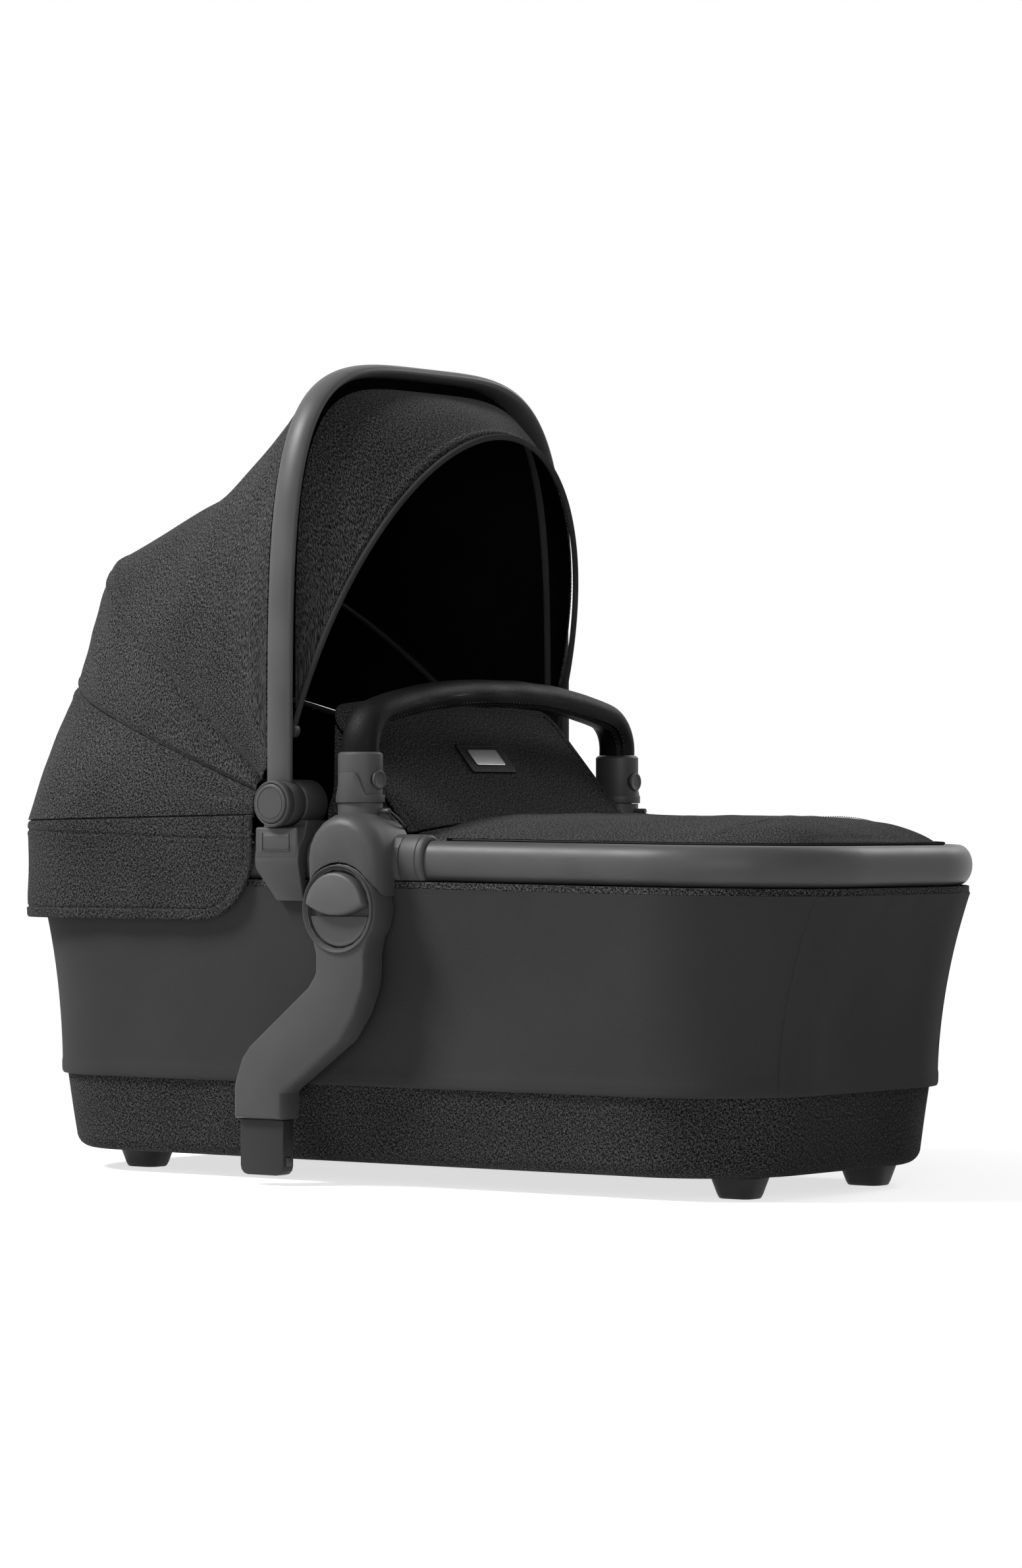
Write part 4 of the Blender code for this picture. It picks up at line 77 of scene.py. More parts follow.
# Sizes of the hood, as the CAD model has them; rows are (half width, rise, power of the arch, angle)
HINGE_X = -0.077
HINGE_Z = 0.3315
BOW_X = -0.082
BOW_DEEP = 0.027
BOW_THICK = 0.012
BOW_HALF = 0.2035
BOW_RISE = 0.387
BOW_POWER = 4.3
BOW_START = 0.005
BOW_FOOT_RADIUS = 0.020
PANEL_START = 0.032
PANEL_THICK = 0.0015
FAN_STEP = 0.003
MID_ANGLE = 50.0
REAR_ANGLE = 70.0
FRONT_ROW = (0.206, 0.3845, 4.3)
DIP_ROW = (0.203, 0.323, 4.1, 20.0)
SWELL_ROW = (0.203, 0.339, 3.5, 40.0)
MID_ROW = (0.203, 0.3565, 3.97, MID_ANGLE)
REAR_ROW = (0.205, 0.344, 3.5, REAR_ANGLE)
HOOD_CENTRE = (HINGE_X - 0.12, 0, HINGE_Z)
SKIRT_CENTRE = (-0.2, 0, 0.28)
SKIRT_HALF = 0.2075
SKIRT_HEAD_X = -0.4358
SKIRT_FRONT_X = -0.110
SKIRT_RADIUS = 0.111
SKIRT_THICK = 0.0018
SKIRT_TOP_HEAD = 0.3165
SKIRT_TOP_FRONT = 0.3225
SKIRT_HEM = 0.229
SKIRT_HEM_TALL = 0.0076
SKIRT_CORNER = 0.060
SKIRT_TUCK = 0.005
VISOR_Z = 0.395
VISOR_CENTRE = (HINGE_X + 0.06, 0, VISOR_Z)
VISOR_TILT = 18.5
VISOR_HALF = 0.1915
VISOR_LONG = 0.278
VISOR_START = 0.020
VISOR_PIPING_START = 0.0045
VISOR_ROOT_HALF = 0.1885
VISOR_ROOT_RISE = 0.371
VISOR_REACH = 0.0031

# Sizes of the tub; plans are (head end, foot end, half width, head and foot corner radius) seen from above
RAIL_FOOT_X = 0.437
RAIL_HEAD_X = -0.4308
RAIL_THICK = 0.025
RAIL_TALL = 0.035
RAIL_Y = 0.190
RAIL_Z = 0.283
RAIL_DROP = 0.005
RAIL_FOOT_RADIUS = 0.130
RAIL_HEAD_RADIUS = 0.115
RAIL_START_X = 0.0508
REAR_RAIL_START_X = -0.0383
COVER_LOW = np.array((-0.4128, 0.396, 0.188, RAIL_HEAD_RADIUS, 0.110))
COVER_HIGH = np.array((-0.4278, 0.434, 0.2025, RAIL_HEAD_RADIUS, 0.140))
COVER_CENTRE = (0, 0, 0.17)
COVER_BOTTOM = 0.087
COVER_THICK = 0.002
BINDING_TALL = 0.006
BASE_HALF = 0.184
BASE_PLAN = (-0.4068, 0.390, BASE_HALF, 0.110, 0.110)
BASE_CENTRE = (0, 0, 0.06)
BASE_BOTTOM = 0.019
BASE_TOP = 0.0867
BASE_EDGE = 0.014
BASE_LEAN = 0.008
LINING_CENTRE = (0, 0, 0.15)
LINING_HALF = 0.155
LINING_TOP = 0.285
LINING_TOP_HALF = 0.1725
FLOOR_Z = 0.0238
MATTRESS_LONG = 0.730
MATTRESS_X = -0.0084
MATTRESS_PLAN = (MATTRESS_X - MATTRESS_LONG / 2, MATTRESS_X + MATTRESS_LONG / 2, 0.148, 0.0825, 0.0825)
MATTRESS_TALL = 0.042
MATTRESS_FLOOR = 0.0236
MATTRESS_ROOM = 0.004
PUFF_FRAMES = 20
PUFF_LIMIT = 0.003
QUILT_PITCH = 0.052
QUILT_DEEP = 0.0032

# How finely the pieces are cut, and where the seams of the side cover run round its foot corners
ROW_COUNT = 121
ROUND_SIDES = 64
CORNER_STEPS = 26
LONG_STEPS = 56
END_STEPS = 14
LEAST_RADIUS = 0.012
SEAM_TURNS = (66.0, 24.0)
SEAM_OFFSETS = (-1.6, -1.0, -0.7, -0.45, -0.25, -0.1, 0.0, 0.1, 0.25, 0.45, 0.7, 1.0, 1.6)

# Sizes of the hub, the hinge, the collars, the handle and the adaptors
NECK_X = -0.003
NECK_LONG = 0.042
HUB_X = 0.006
HUB_LOW_Z = 0.241
COLLAR_THICK = 0.033
COLLAR_TALL = 0.045
FRONT_COLLAR_LONG = 0.025
HINGE_BORE = 0.0043
HOUSING_RADIUS = 0.0208
HOUSING_INNER_Y = 0.168
HOUSING_OUTER_Y = 0.1972
FOOT_INNER_Y = 0.1975
FOOT_FACE_Y = 0.222
BUTTON_RADIUS = 0.017
ARM_FACE_Y = 0.232
KNOB_RADIUS = 0.038
LIP_START_Z = 0.2744
LIP_TALL = 0.0274
LIP_CORNER = 0.0245
LIP_TAPER = 0.38
BRACKET_FACE_Y = 0.2153
BRACKET_LINE_LOW_Z = 0.2905
BRACKET_LINE_HIGH_Z = 0.3060
BRACKET_LINE_HALF = 0.0150
BRACKET_BLOCK_LOW_Z = 0.2835
BRACKET_BLOCK_HIGH_Z = 0.3110
BRACKET_BLOCK_HALF = 0.0236
HANDLE_FOOT_Z = 0.3763
HANDLE_BEND_Z = 0.381
HANDLE_BEND = 0.032
HANDLE_TOP_Z = 0.430
HANDLE_BUTTON_Z = 0.352
GRIP_WIDE = 0.0178
GRIP_DEEP = 0.0122
GRIP_MEAN = 0.0155
GRIP_SEAM_TURN = -52.0

# Moulded pieces on each side: CAD node, name, look, width of the rounded edges, body, slot, and the least
# angle between two faces whose edge is rounded
HARD_PIECES = (
    ("hub", "hub_shell", "plastic", 0.0008, "root", "charcoal_plastic", 24.0),
    ("handle_sleeve", "sleeve", "plastic", 0.0008, "handle", "charcoal_plastic", 32.0),
    ("sleeve_ring", "tab_ring", "plastic", 0.0003, "handle", "dark_plastic", 32.0),
    ("adaptor_arm", "arm", "plastic", 0.0009, "adaptor_{side}", "charcoal_plastic", 24.0),
    ("release_paddle", "paddle", "paddle", 0.0007, "release_paddle_{side}", "charcoal_plastic", 24.0),
    ("plug", "chassis_plug", "dark_plastic", 0.0006, "adaptor_{side}", "dark_plastic", 24.0),
    ("plug_catch", "catch", "plastic", 0.0005, "plug_catch_{side}", "charcoal_plastic", 24.0),
)

# Sizes of the apron, the wind flap and the label
APRON_CENTRE = (0.2, 0, 0.2)
APRON_X = 0.034
APRON_FOOT_X = 0.410375
APRON_HALF = 0.175875
APRON_RADIUS = 0.115875
APRON_BEND_X = APRON_FOOT_X - APRON_RADIUS
APRON_EDGE_Z = 0.298
APRON_CROWN = 0.3235
APRON_FOOT_RUN = 0.085
APRON_THICK = 0.0018
SEAM_MIDDLE_X = 0.342
SEAM_BEND = 0.020
BAND_CENTRE = (0.2, 0, 0.29)
BAND_START_X = 0.0823
BAND_THICK = 0.003
FLAP_CENTRE = (-0.1, 0, 0.2)
FLAP_X = 0.032568
FLAP_LEAN = math.radians(41.0)
FLAP_LONG = 0.145
FLAP_HALF = 0.168
FLAP_TOP_HALF = 0.163
FLAP_MID_Z = 0.3175
FLAP_SIDE_Z = 0.306
FLAP_CORNER = 0.022
FLAP_THICK = 0.003
FLAP_HEM = 0.012
WING_CENTRE = (0.0, 0, 0.33)
WING_STEPS = 31
WING_THICK = 0.0013
WING_END_X = -0.052
WING_END_Z = 0.341
WING_LOW_Z = 0.3075
PATCH_UP = 0.070
PATCH_THICK = 0.0015
LABEL_AHEAD = np.array((math.cos(FLAP_LEAN), 0, math.sin(FLAP_LEAN)))
LABEL_RISE = np.array((-math.sin(FLAP_LEAN), 0, math.cos(FLAP_LEAN)))
LABEL_FOOT = np.array((FLAP_X, 0, FLAP_MID_Z))

# Sewn seams: depth and width of the groove, then height, distance and width of the ridge on each side
SIDE_SEAM = (0.0011, 0.0011, 0.0005, 0.0042, 0.0024)
RIB_SEAM = (0.0016, 0.0022, 0.0014, 0.0065, 0.0035)
SKIRT_SEAM = (0.0010, 0.0010, 0.0005, 0.0034, 0.0018)
APRON_SEAM = (0.0012, 0.0014, 0.0006, 0.0045, 0.0026)
GRIP_SEAM = (0.0011, 0.0009, 0.0006, 0.0032, 0.0018)

# Stitches: pitch, share of it that the thread covers, radius of the thread
SIDE_STITCH = (0.0034, 0.7, 0.00034)
HOOD_STITCH = (0.0036, 0.7, 0.0004)
FLAP_STITCH = (0.0036, 0.7, 0.00038)
APRON_STITCH = (0.0038, 0.7, 0.00042)
GRIP_STITCH = (0.0045, 0.68, 0.0005)
PATCH_STITCH = (0.0030, 0.68, 0.00036)
STITCH_SINK = 0.3
STITCH_ROWS = ((-0.9, 0.45), (0.35, 0.95), (0.6, 1.0), (0.35, 0.95), (-0.9, 0.45))
STITCH_SIDES = 6
ZIP_PITCH = 0.0016


def unit(vectors):
    """Vectors scaled to a length of one."""
    lengths = np.linalg.norm(vectors, axis=-1, keepdims=True)
    return vectors / np.maximum(lengths, 1e-12)


def ramp(values, size=1.0):
    """Values over a size, kept between 0 and 1."""
    return np.clip(values / size, 0.0, 1.0)


def bell(values, centre, width):
    """Rounded ridge of height one at a centre."""
    return np.exp(-((values - centre) / width) ** 2)


def sewn_seam(away, seam):
    """Relief of a sewn seam at distances from it."""
    deep, narrow, high, beside, wide = seam
    return -deep * bell(away, 0.0, narrow) + high * bell(away, beside, wide)


def spans(start, *ends):
    """Rising values from a start through spans of (end, count), each cut evenly."""
    parts = []
    for end, count in ends:
        parts.append(np.linspace(start, end, count)[:-1])
        start = end
    return np.concatenate(parts + [[start]])


def runs(points):
    """Distance from the first point along a line, or down every column of a grid."""
    steps = np.linalg.norm(np.diff(points, axis=0), axis=-1)
    return np.concatenate((np.zeros_like(steps[:1]), np.cumsum(steps, axis=0)))


def read_at(points, lengths, wanted):
    """Points of a line at the wanted distances from its start."""
    return np.stack([np.interp(wanted, lengths, values) for values in points.T], axis=1)


def resampled(points, count):
    """Points at equal distances along a line of points."""
    points = np.asarray(points, float)
    lengths = runs(points)
    return read_at(points, lengths, np.linspace(0.0, lengths[-1], count))


def smooth_between(keys, places, wanted):
    """Cubic curve through rows of points at rising places, read at the wanted places."""
    keys = np.asarray(keys, float)
    places = np.asarray(places, float)
    slopes = np.gradient(keys, places, axis=0)
    rows = []
    for place in wanted:
        index = int(np.clip(np.searchsorted(places, place, side="right") - 1, 0, len(places) - 2))
        width = places[index + 1] - places[index]
        t = (place - places[index]) / width
        first = (1 + 2 * t) * (1 - t) ** 2 * keys[index] + t * (1 - t) ** 2 * width * slopes[index]
        second = t * t * (3 - 2 * t) * keys[index + 1] + t * t * (t - 1) * width * slopes[index + 1]
        rows.append(first + second)
    return np.array(rows)


def ripple(first, second, wave, seed):
    """Smooth irregular field between about -1 and 1 over two coordinates in metres."""
    chance = np.random.default_rng(seed)
    total = np.zeros(np.broadcast(first, second).shape)
    for _ in range(9):
        turn = chance.uniform(0.0, ROUND)
        pitch = ROUND / (wave * chance.uniform(0.7, 1.6))
        phase = chance.uniform(0.0, ROUND)
        total = total + np.sin((first * math.cos(turn) + second * math.sin(turn)) * pitch + phase)
    return total / 4.0


def grid_normals(grid, centre, closed=False):
    """Unit normals of a grid of points, turned away from a centre."""
    rows = np.gradient(grid, axis=0)
    if closed:
        columns = (np.roll(grid, -1, axis=1) - np.roll(grid, 1, axis=1)) / 2
    else:
        columns = np.gradient(grid, axis=1)
    normals = unit(np.cross(columns, rows))
    if np.sum(normals * (grid - np.asarray(centre))) < 0:
        normals = -normals
    return normals


def new_object(name, mesh, *materials):
    """Object of a mesh with its materials."""
    for material in materials:
        mesh.materials.append(material)
    made = bpy.data.objects.new(name, mesh)
    bpy.context.scene.collection.objects.link(made)
    return made


def shaded(mesh, angle=40.0):
    """Shades a mesh smooth, but for edges sharper than an angle."""
    mesh.shade_smooth()
    mesh.set_sharp_from_angle(angle=math.radians(angle))


def mesh_from(name, points, faces, indices=None, spots=None, angle=40.0):
    """Mesh of points and faces with outward faces, material indices and cloth coordinates in metres."""
    mesh = bpy.data.meshes.new(name)
    mesh.from_pydata([tuple(point) for point in points], [], faces)
    if indices is not None:
        mesh.polygons.foreach_set("material_index", indices)
    if spots is not None:
        layer = mesh.uv_layers.new(name="cloth")
        corners = np.zeros(len(mesh.loops), np.int32)
        mesh.loops.foreach_get("vertex_index", corners)
        layer.data.foreach_set("uv", np.asarray(spots, np.float32)[corners].ravel())
    work = bmesh.new()
    work.from_mesh(mesh)
    bmesh.ops.recalc_face_normals(work, faces=work.faces)
    work.to_mesh(mesh)
    work.free()
    shaded(mesh, angle)
    return mesh


def grid_faces(rows, columns, closed, start=0, turned_over=False):
    """Faces of a grid of rows and columns, whose columns may join round."""
    faces = []
    last = columns if closed else columns - 1
    for row in range(rows - 1):
        for column in range(last):
            follow = (column + 1) % columns
            low = start + row * columns
            high = low + columns
            face = (low + column, low + follow, high + follow, high + column)
            faces.append(face[::-1] if turned_over else face)
    return faces


def rim_faces(rows, columns, closed):
    """Faces between the edges of a grid and of a like grid whose points come after it."""
    shift = rows * columns
    last = columns if closed else columns - 1
    faces = []
    for column in range(last):
        follow = (column + 1) % columns
        low = (rows - 1) * columns
        faces.append((follow, column, shift + column, shift + follow))
        faces.append((low + column, low + follow, shift + low + follow, shift + low + column))
    if not closed:
        for here in range(0, shift - columns, columns):
            follow = here + columns
            faces.append((here, follow, shift + follow, shift + here))
            here += columns - 1
            follow += columns - 1
            faces.append((follow, here, shift + here, shift + follow))
    return faces


def sheet(name, grid, thickness, centre, outer, inner=None, closed=False):
    """Cloth with a thickness inwards from its outer grid; its back may have another material."""
    rows, columns = grid.shape[:2]
    back = grid - grid_normals(grid, centre, closed) * thickness
    front_faces = grid_faces(rows, columns, closed)
    back_faces = grid_faces(rows, columns, closed, rows * columns, True)
    rim = rim_faces(rows, columns, closed)
    indices = [0] * len(front_faces) + [1 if inner else 0] * len(back_faces) + [0] * len(rim)
    across = np.linalg.norm(np.diff(grid, axis=1), axis=2)
    u = np.concatenate((np.zeros((rows, 1)), np.cumsum(across, axis=1)), axis=1)
    spots = np.stack((u - u.mean(axis=1, keepdims=True), runs(grid)), axis=2).reshape(-1, 2)
    points = np.concatenate((grid.reshape(-1, 3), back.reshape(-1, 3)))
    mesh = mesh_from(name, points, front_faces + back_faces + rim, indices, np.concatenate((spots, spots)))
    return new_object(name, mesh, *([outer, inner] if inner else [outer]))


def loft(name, rings, material, around=False):
    """Walls between like rings, with end caps or joined round."""
    rings = np.asarray(rings, float)
    rows, columns = rings.shape[:2]
    faces = grid_faces(rows, columns, True)
    low = (rows - 1) * columns
    if around:
        faces += [(low + c, low + (c + 1) % columns, (c + 1) % columns, c) for c in range(columns)]
    else:
        faces.append(tuple(range(columns))[::-1])
        faces.append(tuple(low + c for c in range(columns)))
    across = np.linalg.norm(np.diff(rings, axis=1), axis=2)
    u = np.concatenate((np.zeros((rows, 1)), np.cumsum(across, axis=1)), axis=1)
    v = runs(rings.mean(axis=1))[:, None]
    spots = np.stack(np.broadcast_arrays(u, v), axis=2).reshape(-1, 2)
    return new_object(name, mesh_from(name, rings.reshape(-1, 3), faces, None, spots), material)


def sweep(name, path, across, section, material):
    """Section carried along a path, its second value along a fixed direction, capped at both ends."""
    side = unit(np.cross(unit(np.gradient(path, axis=0)), across))
    rings = path[:, None] + side[:, None] * section[None, :, :1] + across * section[None, :, 1:]
    return loft(name, rings, material)


def oval(half_first, half_second, sides=ROUND_SIDES):
    """Points of an ellipse round zero."""
    turns = np.linspace(0.0, ROUND, sides, endpoint=False)
    return np.stack((half_first * np.cos(turns), half_second * np.sin(turns)), axis=1)


def turned(name, centre, axis, profile, material, around=True, sides=ROUND_SIDES):
    """Profile of (distance along the axis, radius) turned about it; joined round when it has a bore."""
    axis = Vector(axis).normalized()
    first = np.array(axis.orthogonal().normalized())
    second = np.cross(np.array(axis), first)
    rings = []
    for along, radius in profile:
        ring = oval(radius, radius, sides)
        rings.append(np.array(centre) + np.array(axis) * along + ring[:, :1] * first + ring[:, 1:] * second)
    return loft(name, rings, material, around)


def tube(name, path, radius, material, sides=8, closed=False):
    """Round tube along any path, with frames that turn as little as they can."""
    ahead = np.roll(path, -1, axis=0) - np.roll(path, 1, axis=0) if closed else np.gradient(path, axis=0)
    ahead = unit(ahead)
    side = unit(np.cross(ahead[0], UP if abs(ahead[0] @ UP) < 0.9 else ALONG))
    ring = oval(radius, radius, sides)
    rings = []
    for point, forward in zip(path, ahead):
        side = unit(side - forward * (side @ forward))
        rings.append(point + ring[:, :1] * side + ring[:, 1:] * np.cross(forward, side))
    return loft(name, rings, material, closed)


def stitches(name, path, normals, material, kind):
    """Row of sewn stitches along a path, each a small spindle that dips into the cloth at its ends."""
    pitch, share, radius = kind
    lengths = runs(path)
    count = max(int(lengths[-1] / pitch), 2)
    points = []
    faces = []
    for index in range(count):
        start = (index + 0.5 - share / 2) * lengths[-1] / count
        places = start + np.linspace(0.0, share * lengths[-1] / count, len(STITCH_ROWS))
        line = read_at(path, lengths, places)
        out = unit(read_at(normals, lengths, places))
        aside = unit(np.cross(unit(line[-1] - line[0]), out))
        first = len(points)
        for spot, normal, side, (rise, wide) in zip(line, out, aside, STITCH_ROWS):
            heart = spot + normal * radius * (rise - STITCH_SINK)
            for turn in range(STITCH_SIDES):
                angle = ROUND * turn / STITCH_SIDES
                points.append(heart + radius * wide * (math.cos(angle) * side + math.sin(angle) * normal))
        faces += grid_faces(len(STITCH_ROWS), STITCH_SIDES, True, first)
        faces.append(tuple(first + turn for turn in range(STITCH_SIDES))[::-1])
        faces.append(tuple(range(len(points) - STITCH_SIDES, len(points))))
    return new_object(name, mesh_from(name, points, faces, angle=80.0), material)


def joined(name, objects):
    """Several meshes as one object, which keeps the materials of all."""
    bpy.ops.object.select_all(action="DESELECT")
    for each in objects:
        each.select_set(True)
    bpy.context.view_layer.objects.active = objects[0]
    bpy.ops.object.join()
    objects[0].name = name
    return objects[0]


def applied(piece):
    """Makes the result of a piece's modifiers its own mesh."""
    bpy.context.view_layer.update()
    evaluated = piece.evaluated_get(bpy.context.evaluated_depsgraph_get())
    mesh = bpy.data.meshes.new_from_object(evaluated)
    piece.modifiers.clear()
    piece.data = mesh


def combined(target, tools, angle=40.0):
    """Target after exact Booleans with the given (operation, object) tools, which are removed."""
    for index, (operation, tool) in enumerate(tools):
        modifier = target.modifiers.new(f"cut_{index}", "BOOLEAN")
        modifier.operation = operation
        modifier.solver = "EXACT"
        modifier.object = tool
    applied(target)
    for _, tool in tools:
        bpy.data.objects.remove(tool, do_unlink=True)
    shaded(target.data, angle)


def softened(piece, width, angle=32.0):
    """Rounds a hard piece's edges over a width and keeps its faces smooth."""
    bevel = piece.modifiers.new("edges", "BEVEL")
    bevel.width = width
    bevel.segments = 3
    bevel.limit_method = "ANGLE"
    bevel.angle_limit = math.radians(angle)
    bevel.harden_normals = False
    applied(piece)
    shaded(piece.data, 50.0)


def points_of(piece):
    """Points of a piece's mesh as an array."""
    points = np.zeros(len(piece.data.vertices) * 3)
    piece.data.vertices.foreach_get("co", points)
    return points.reshape(-1, 3)


def set_points(piece, points):
    """Moves the points of a piece's mesh."""
    piece.data.vertices.foreach_set("co", np.asarray(points, np.float32).ravel())
    piece.data.update()


def known(piece, nodes):
    """Hides the CAD nodes that a piece stands for."""
    if nodes:
        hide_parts(*nodes)
    return piece


def placed(piece, body, slot, *nodes):
    """Sets a piece's body and hides the CAD nodes it stands for; the slot is not used."""
    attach(piece, body)
    return known(piece, nodes)


def remade(node, name, material, width, body, slot, angle=32.0, reshape=None):
    """Piece for a hard CAD node: its faces made whole again, reshaped if wanted, its edges rounded."""
    work = bmesh.new()
    work.from_mesh(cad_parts[node].data)
    bmesh.ops.remove_doubles(work, verts=work.verts, dist=0.00002)
    bmesh.ops.dissolve_limit(work, angle_limit=math.radians(0.6), verts=work.verts, edges=work.edges)
    bmesh.ops.recalc_face_normals(work, faces=work.faces)
    mesh = bpy.data.meshes.new(name)
    work.to_mesh(mesh)
    work.free()
    piece = new_object(name, mesh, material)
    if reshape is not None:
        set_points(piece, reshape(points_of(piece)))
    softened(piece, width, angle)
    return placed(piece, body, slot, node)


def bent(piece, first, second, shares, slot, node):
    """Hides the CAD node that a sheet stands for and bakes its transform, which leaves its points as they
    were; the shares give points that are set back at once, and the two bodies and the slot are not used.
    """
    rest = points_of(piece)
    columns = len(rest) // 2 // len(shares)
    shares = np.clip(np.tile(np.repeat(shares, columns), 2), 0.0, 1.0)
    measure = np.zeros(rest.shape)
    measure[:, 0] = 0.5 - np.sin(np.arcsin(1.0 - 2.0 * shares) / 3.0)
    set_points(piece, measure)
    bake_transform(piece)
    set_points(piece, rest)
    return known(piece, (node,))


def grid_sizes(grid, closed):
    """Flat width and length of a grid of cloth, and its area."""
    left = grid if closed else grid[:, :-1]
    right = np.roll(grid, -1, axis=1) if closed else grid[:, 1:]
    across = np.linalg.norm(right - left, axis=2).sum(axis=1)
    along = np.linalg.norm(np.diff(grid, axis=0), axis=2).sum(axis=0)
    area = np.linalg.norm(np.cross(right[:-1] - left[:-1], left[1:] - left[:-1]), axis=2).sum()
    return float(across.max()), float(along.max()), float(area)


def declared(grid, closed=False):
    """Measures the flat width, length and area of a sheet's grid, which are not kept."""
    width, length, area = grid_sizes(grid, closed)


def dressed(node, material):
    """Better material on a CAD node that stays as it is."""
    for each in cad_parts[node].material_slots:
        each.link = "OBJECT"
        each.material = material


def grey(level):
    """Neutral colour at a linear level."""
    return (level, level, level)


class Graph:
    """Node tree of a material or a world, built call by call."""

    def __init__(self, owner):
        owner.use_nodes = True
        self.nodes = owner.node_tree.nodes
        self.links = owner.node_tree.links

    def add(self, kind, inputs, **settings):
        """New node; an input is a number, a colour or the socket that feeds it."""
        node = self.nodes.new(kind)
        for key, value in settings.items():
            setattr(node, key, value)
        for key, value in inputs.items():
            if isinstance(value, bpy.types.NodeSocket):
                self.links.new(value, node.inputs[key])
            else:
                node.inputs[key].default_value = value
        return node

    def sum(self, first, second, kind="ADD"):
        return self.add("ShaderNodeMath", {0: first, 1: second}, operation=kind).outputs[0]

    def times(self, first, second):
        return self.sum(first, second, "MULTIPLY")

    def seen(self):
        """One for rays of the camera and rays off gloss or through glass, else zero."""
        ray = self.add("ShaderNodeLightPath", {})
        seen = self.sum(ray.outputs["Is Camera Ray"], ray.outputs["Is Glossy Ray"], "MAXIMUM")
        return self.sum(seen, ray.outputs["Is Transmission Ray"], "MAXIMUM")


class Look(Graph):
    """Material with a Principled shader and the textures that its look is made of."""

    def __init__(self, name, roughness, specular, metallic=0.0, on_cloth=False):
        self.material = bpy.data.materials.new(name)
        super().__init__(self.material)
        self.shader = self.nodes["Principled BSDF"]
        self.shader.inputs["Roughness"].default_value = roughness
        self.shader.inputs["Specular IOR Level"].default_value = specular
        self.shader.inputs["Metallic"].default_value = metallic
        if on_cloth:
            self.place = self.add("ShaderNodeUVMap", {}, uv_map="cloth").outputs[0]
        else:
            self.place = self.add("ShaderNodeTexCoord", {}).outputs["Object"]

    def scaled(self, scale, turn=0.0):
        """Coordinates in metres, scaled and turned about their third axis."""
        inputs = {"Vector": self.place, "Scale": scale, "Rotation": (0.0, 0.0, math.radians(turn))}
        return self.add("ShaderNodeMapping", inputs).outputs[0]

    def noise(self, scale, detail, place=None):
        inputs = {"Vector": place or self.place, "Scale": scale, "Detail": detail}
        return self.add("ShaderNodeTexNoise", inputs).outputs[0]

    def waves(self, pitch, turn, distortion):
        """Bands a pitch apart; a band of the wave node is a tenth of pi wide."""
        inputs = {"Vector": self.scaled((1, 1, 1), turn), "Scale": math.pi / 10 / pitch}
        inputs["Distortion"] = distortion
        return self.add("ShaderNodeTexWave", inputs).outputs["Fac"]

    def cells(self, place, scale, feature):
        return self.add("ShaderNodeTexVoronoi", {"Vector": place, "Scale": scale}, feature=feature).outputs[0]

    def spread(self, value, low, high, first=0.0, last=1.0):
        inputs = {0: value, 1: low, 2: high, 3: first, 4: last}
        return self.add("ShaderNodeMapRange", inputs).outputs[0]

    def tones(self, share, dark, light):
        """Grey between two levels, by a share."""
        inputs = {0: share, 6: (*grey(dark), 1.0), 7: (*grey(light), 1.0)}
        return self.add("ShaderNodeMix", inputs, data_type="RGBA").outputs[2]

    def sheen(self, weight, roughness):
        self.shader.inputs["Sheen Weight"].default_value = weight
        self.shader.inputs["Sheen Roughness"].default_value = roughness

    def surface(self, colour, height, distance, strength, roughness=None):
        """Links colour, relief and roughness to the shader and gives the material."""
        self.links.new(colour, self.shader.inputs["Base Color"])
        relief = self.add("ShaderNodeBump", {"Height": height, "Distance": distance, "Strength": strength})
        self.links.new(relief.outputs[0], self.shader.inputs["Normal"])
        if roughness is not None:
            self.links.new(roughness, self.shader.inputs["Roughness"])
        return self.material


def melange_material(name, dark, light):
    """Woven melange: light and dark fibres along both threads, over the diagonal of a twill."""
    look = Look(name, 0.9, 0.05, on_cloth=True)
    warp = look.noise(1.0, 3.0, look.scaled((1500.0, 420.0, 900.0)))
    weft = look.noise(1.0, 3.0, look.scaled((380.0, 1600.0, 900.0), 8.0))
    coarse = look.noise(1.0, 1.0, look.scaled((620.0, 620.0, 620.0), 31.0))
    fleck = look.sum(look.times(warp, weft), look.times(coarse, 0.30))
    twill = look.waves(0.0011, 32.0, 1.2)
    share = look.spread(look.sum(fleck, look.times(twill, 0.05)), 0.39, 0.51)
    broad = look.spread(look.noise(9.0, 3.0), 0.3, 0.7, 0.86, 1.12)
    inputs = {0: 1.0, 6: look.tones(share, dark, light), 7: broad}
    colour = look.add("ShaderNodeMix", inputs, data_type="RGBA", blend_type="MULTIPLY")
    look.sheen(0.03, 0.5)
    return look.surface(colour.outputs[2], look.sum(look.times(twill, 0.6), fleck), 0.00025, 0.7)


def softshell_material(name, level):
    """Smooth fine knit with faint ribs and slow tonal changes."""
    look = Look(name, 0.8, 0.08, on_cloth=True)
    grain = look.noise(1.0, 2.0, look.scaled((1900.0, 1100.0, 1900.0)))
    ribs = look.waves(0.0009, 0.0, 0.6)
    broad = look.spread(look.noise(6.0, 3.0), 0.3, 0.7, 0.0, 0.3)
    tone = look.sum(look.spread(grain, 0.25, 0.75, 0.0, 0.7), broad)
    look.sheen(0.04, 0.45)
    height = look.sum(look.times(ribs, 0.4), grain)
    return look.surface(look.tones(tone, level * 0.72, level * 1.3), height, 0.00022, 0.6)


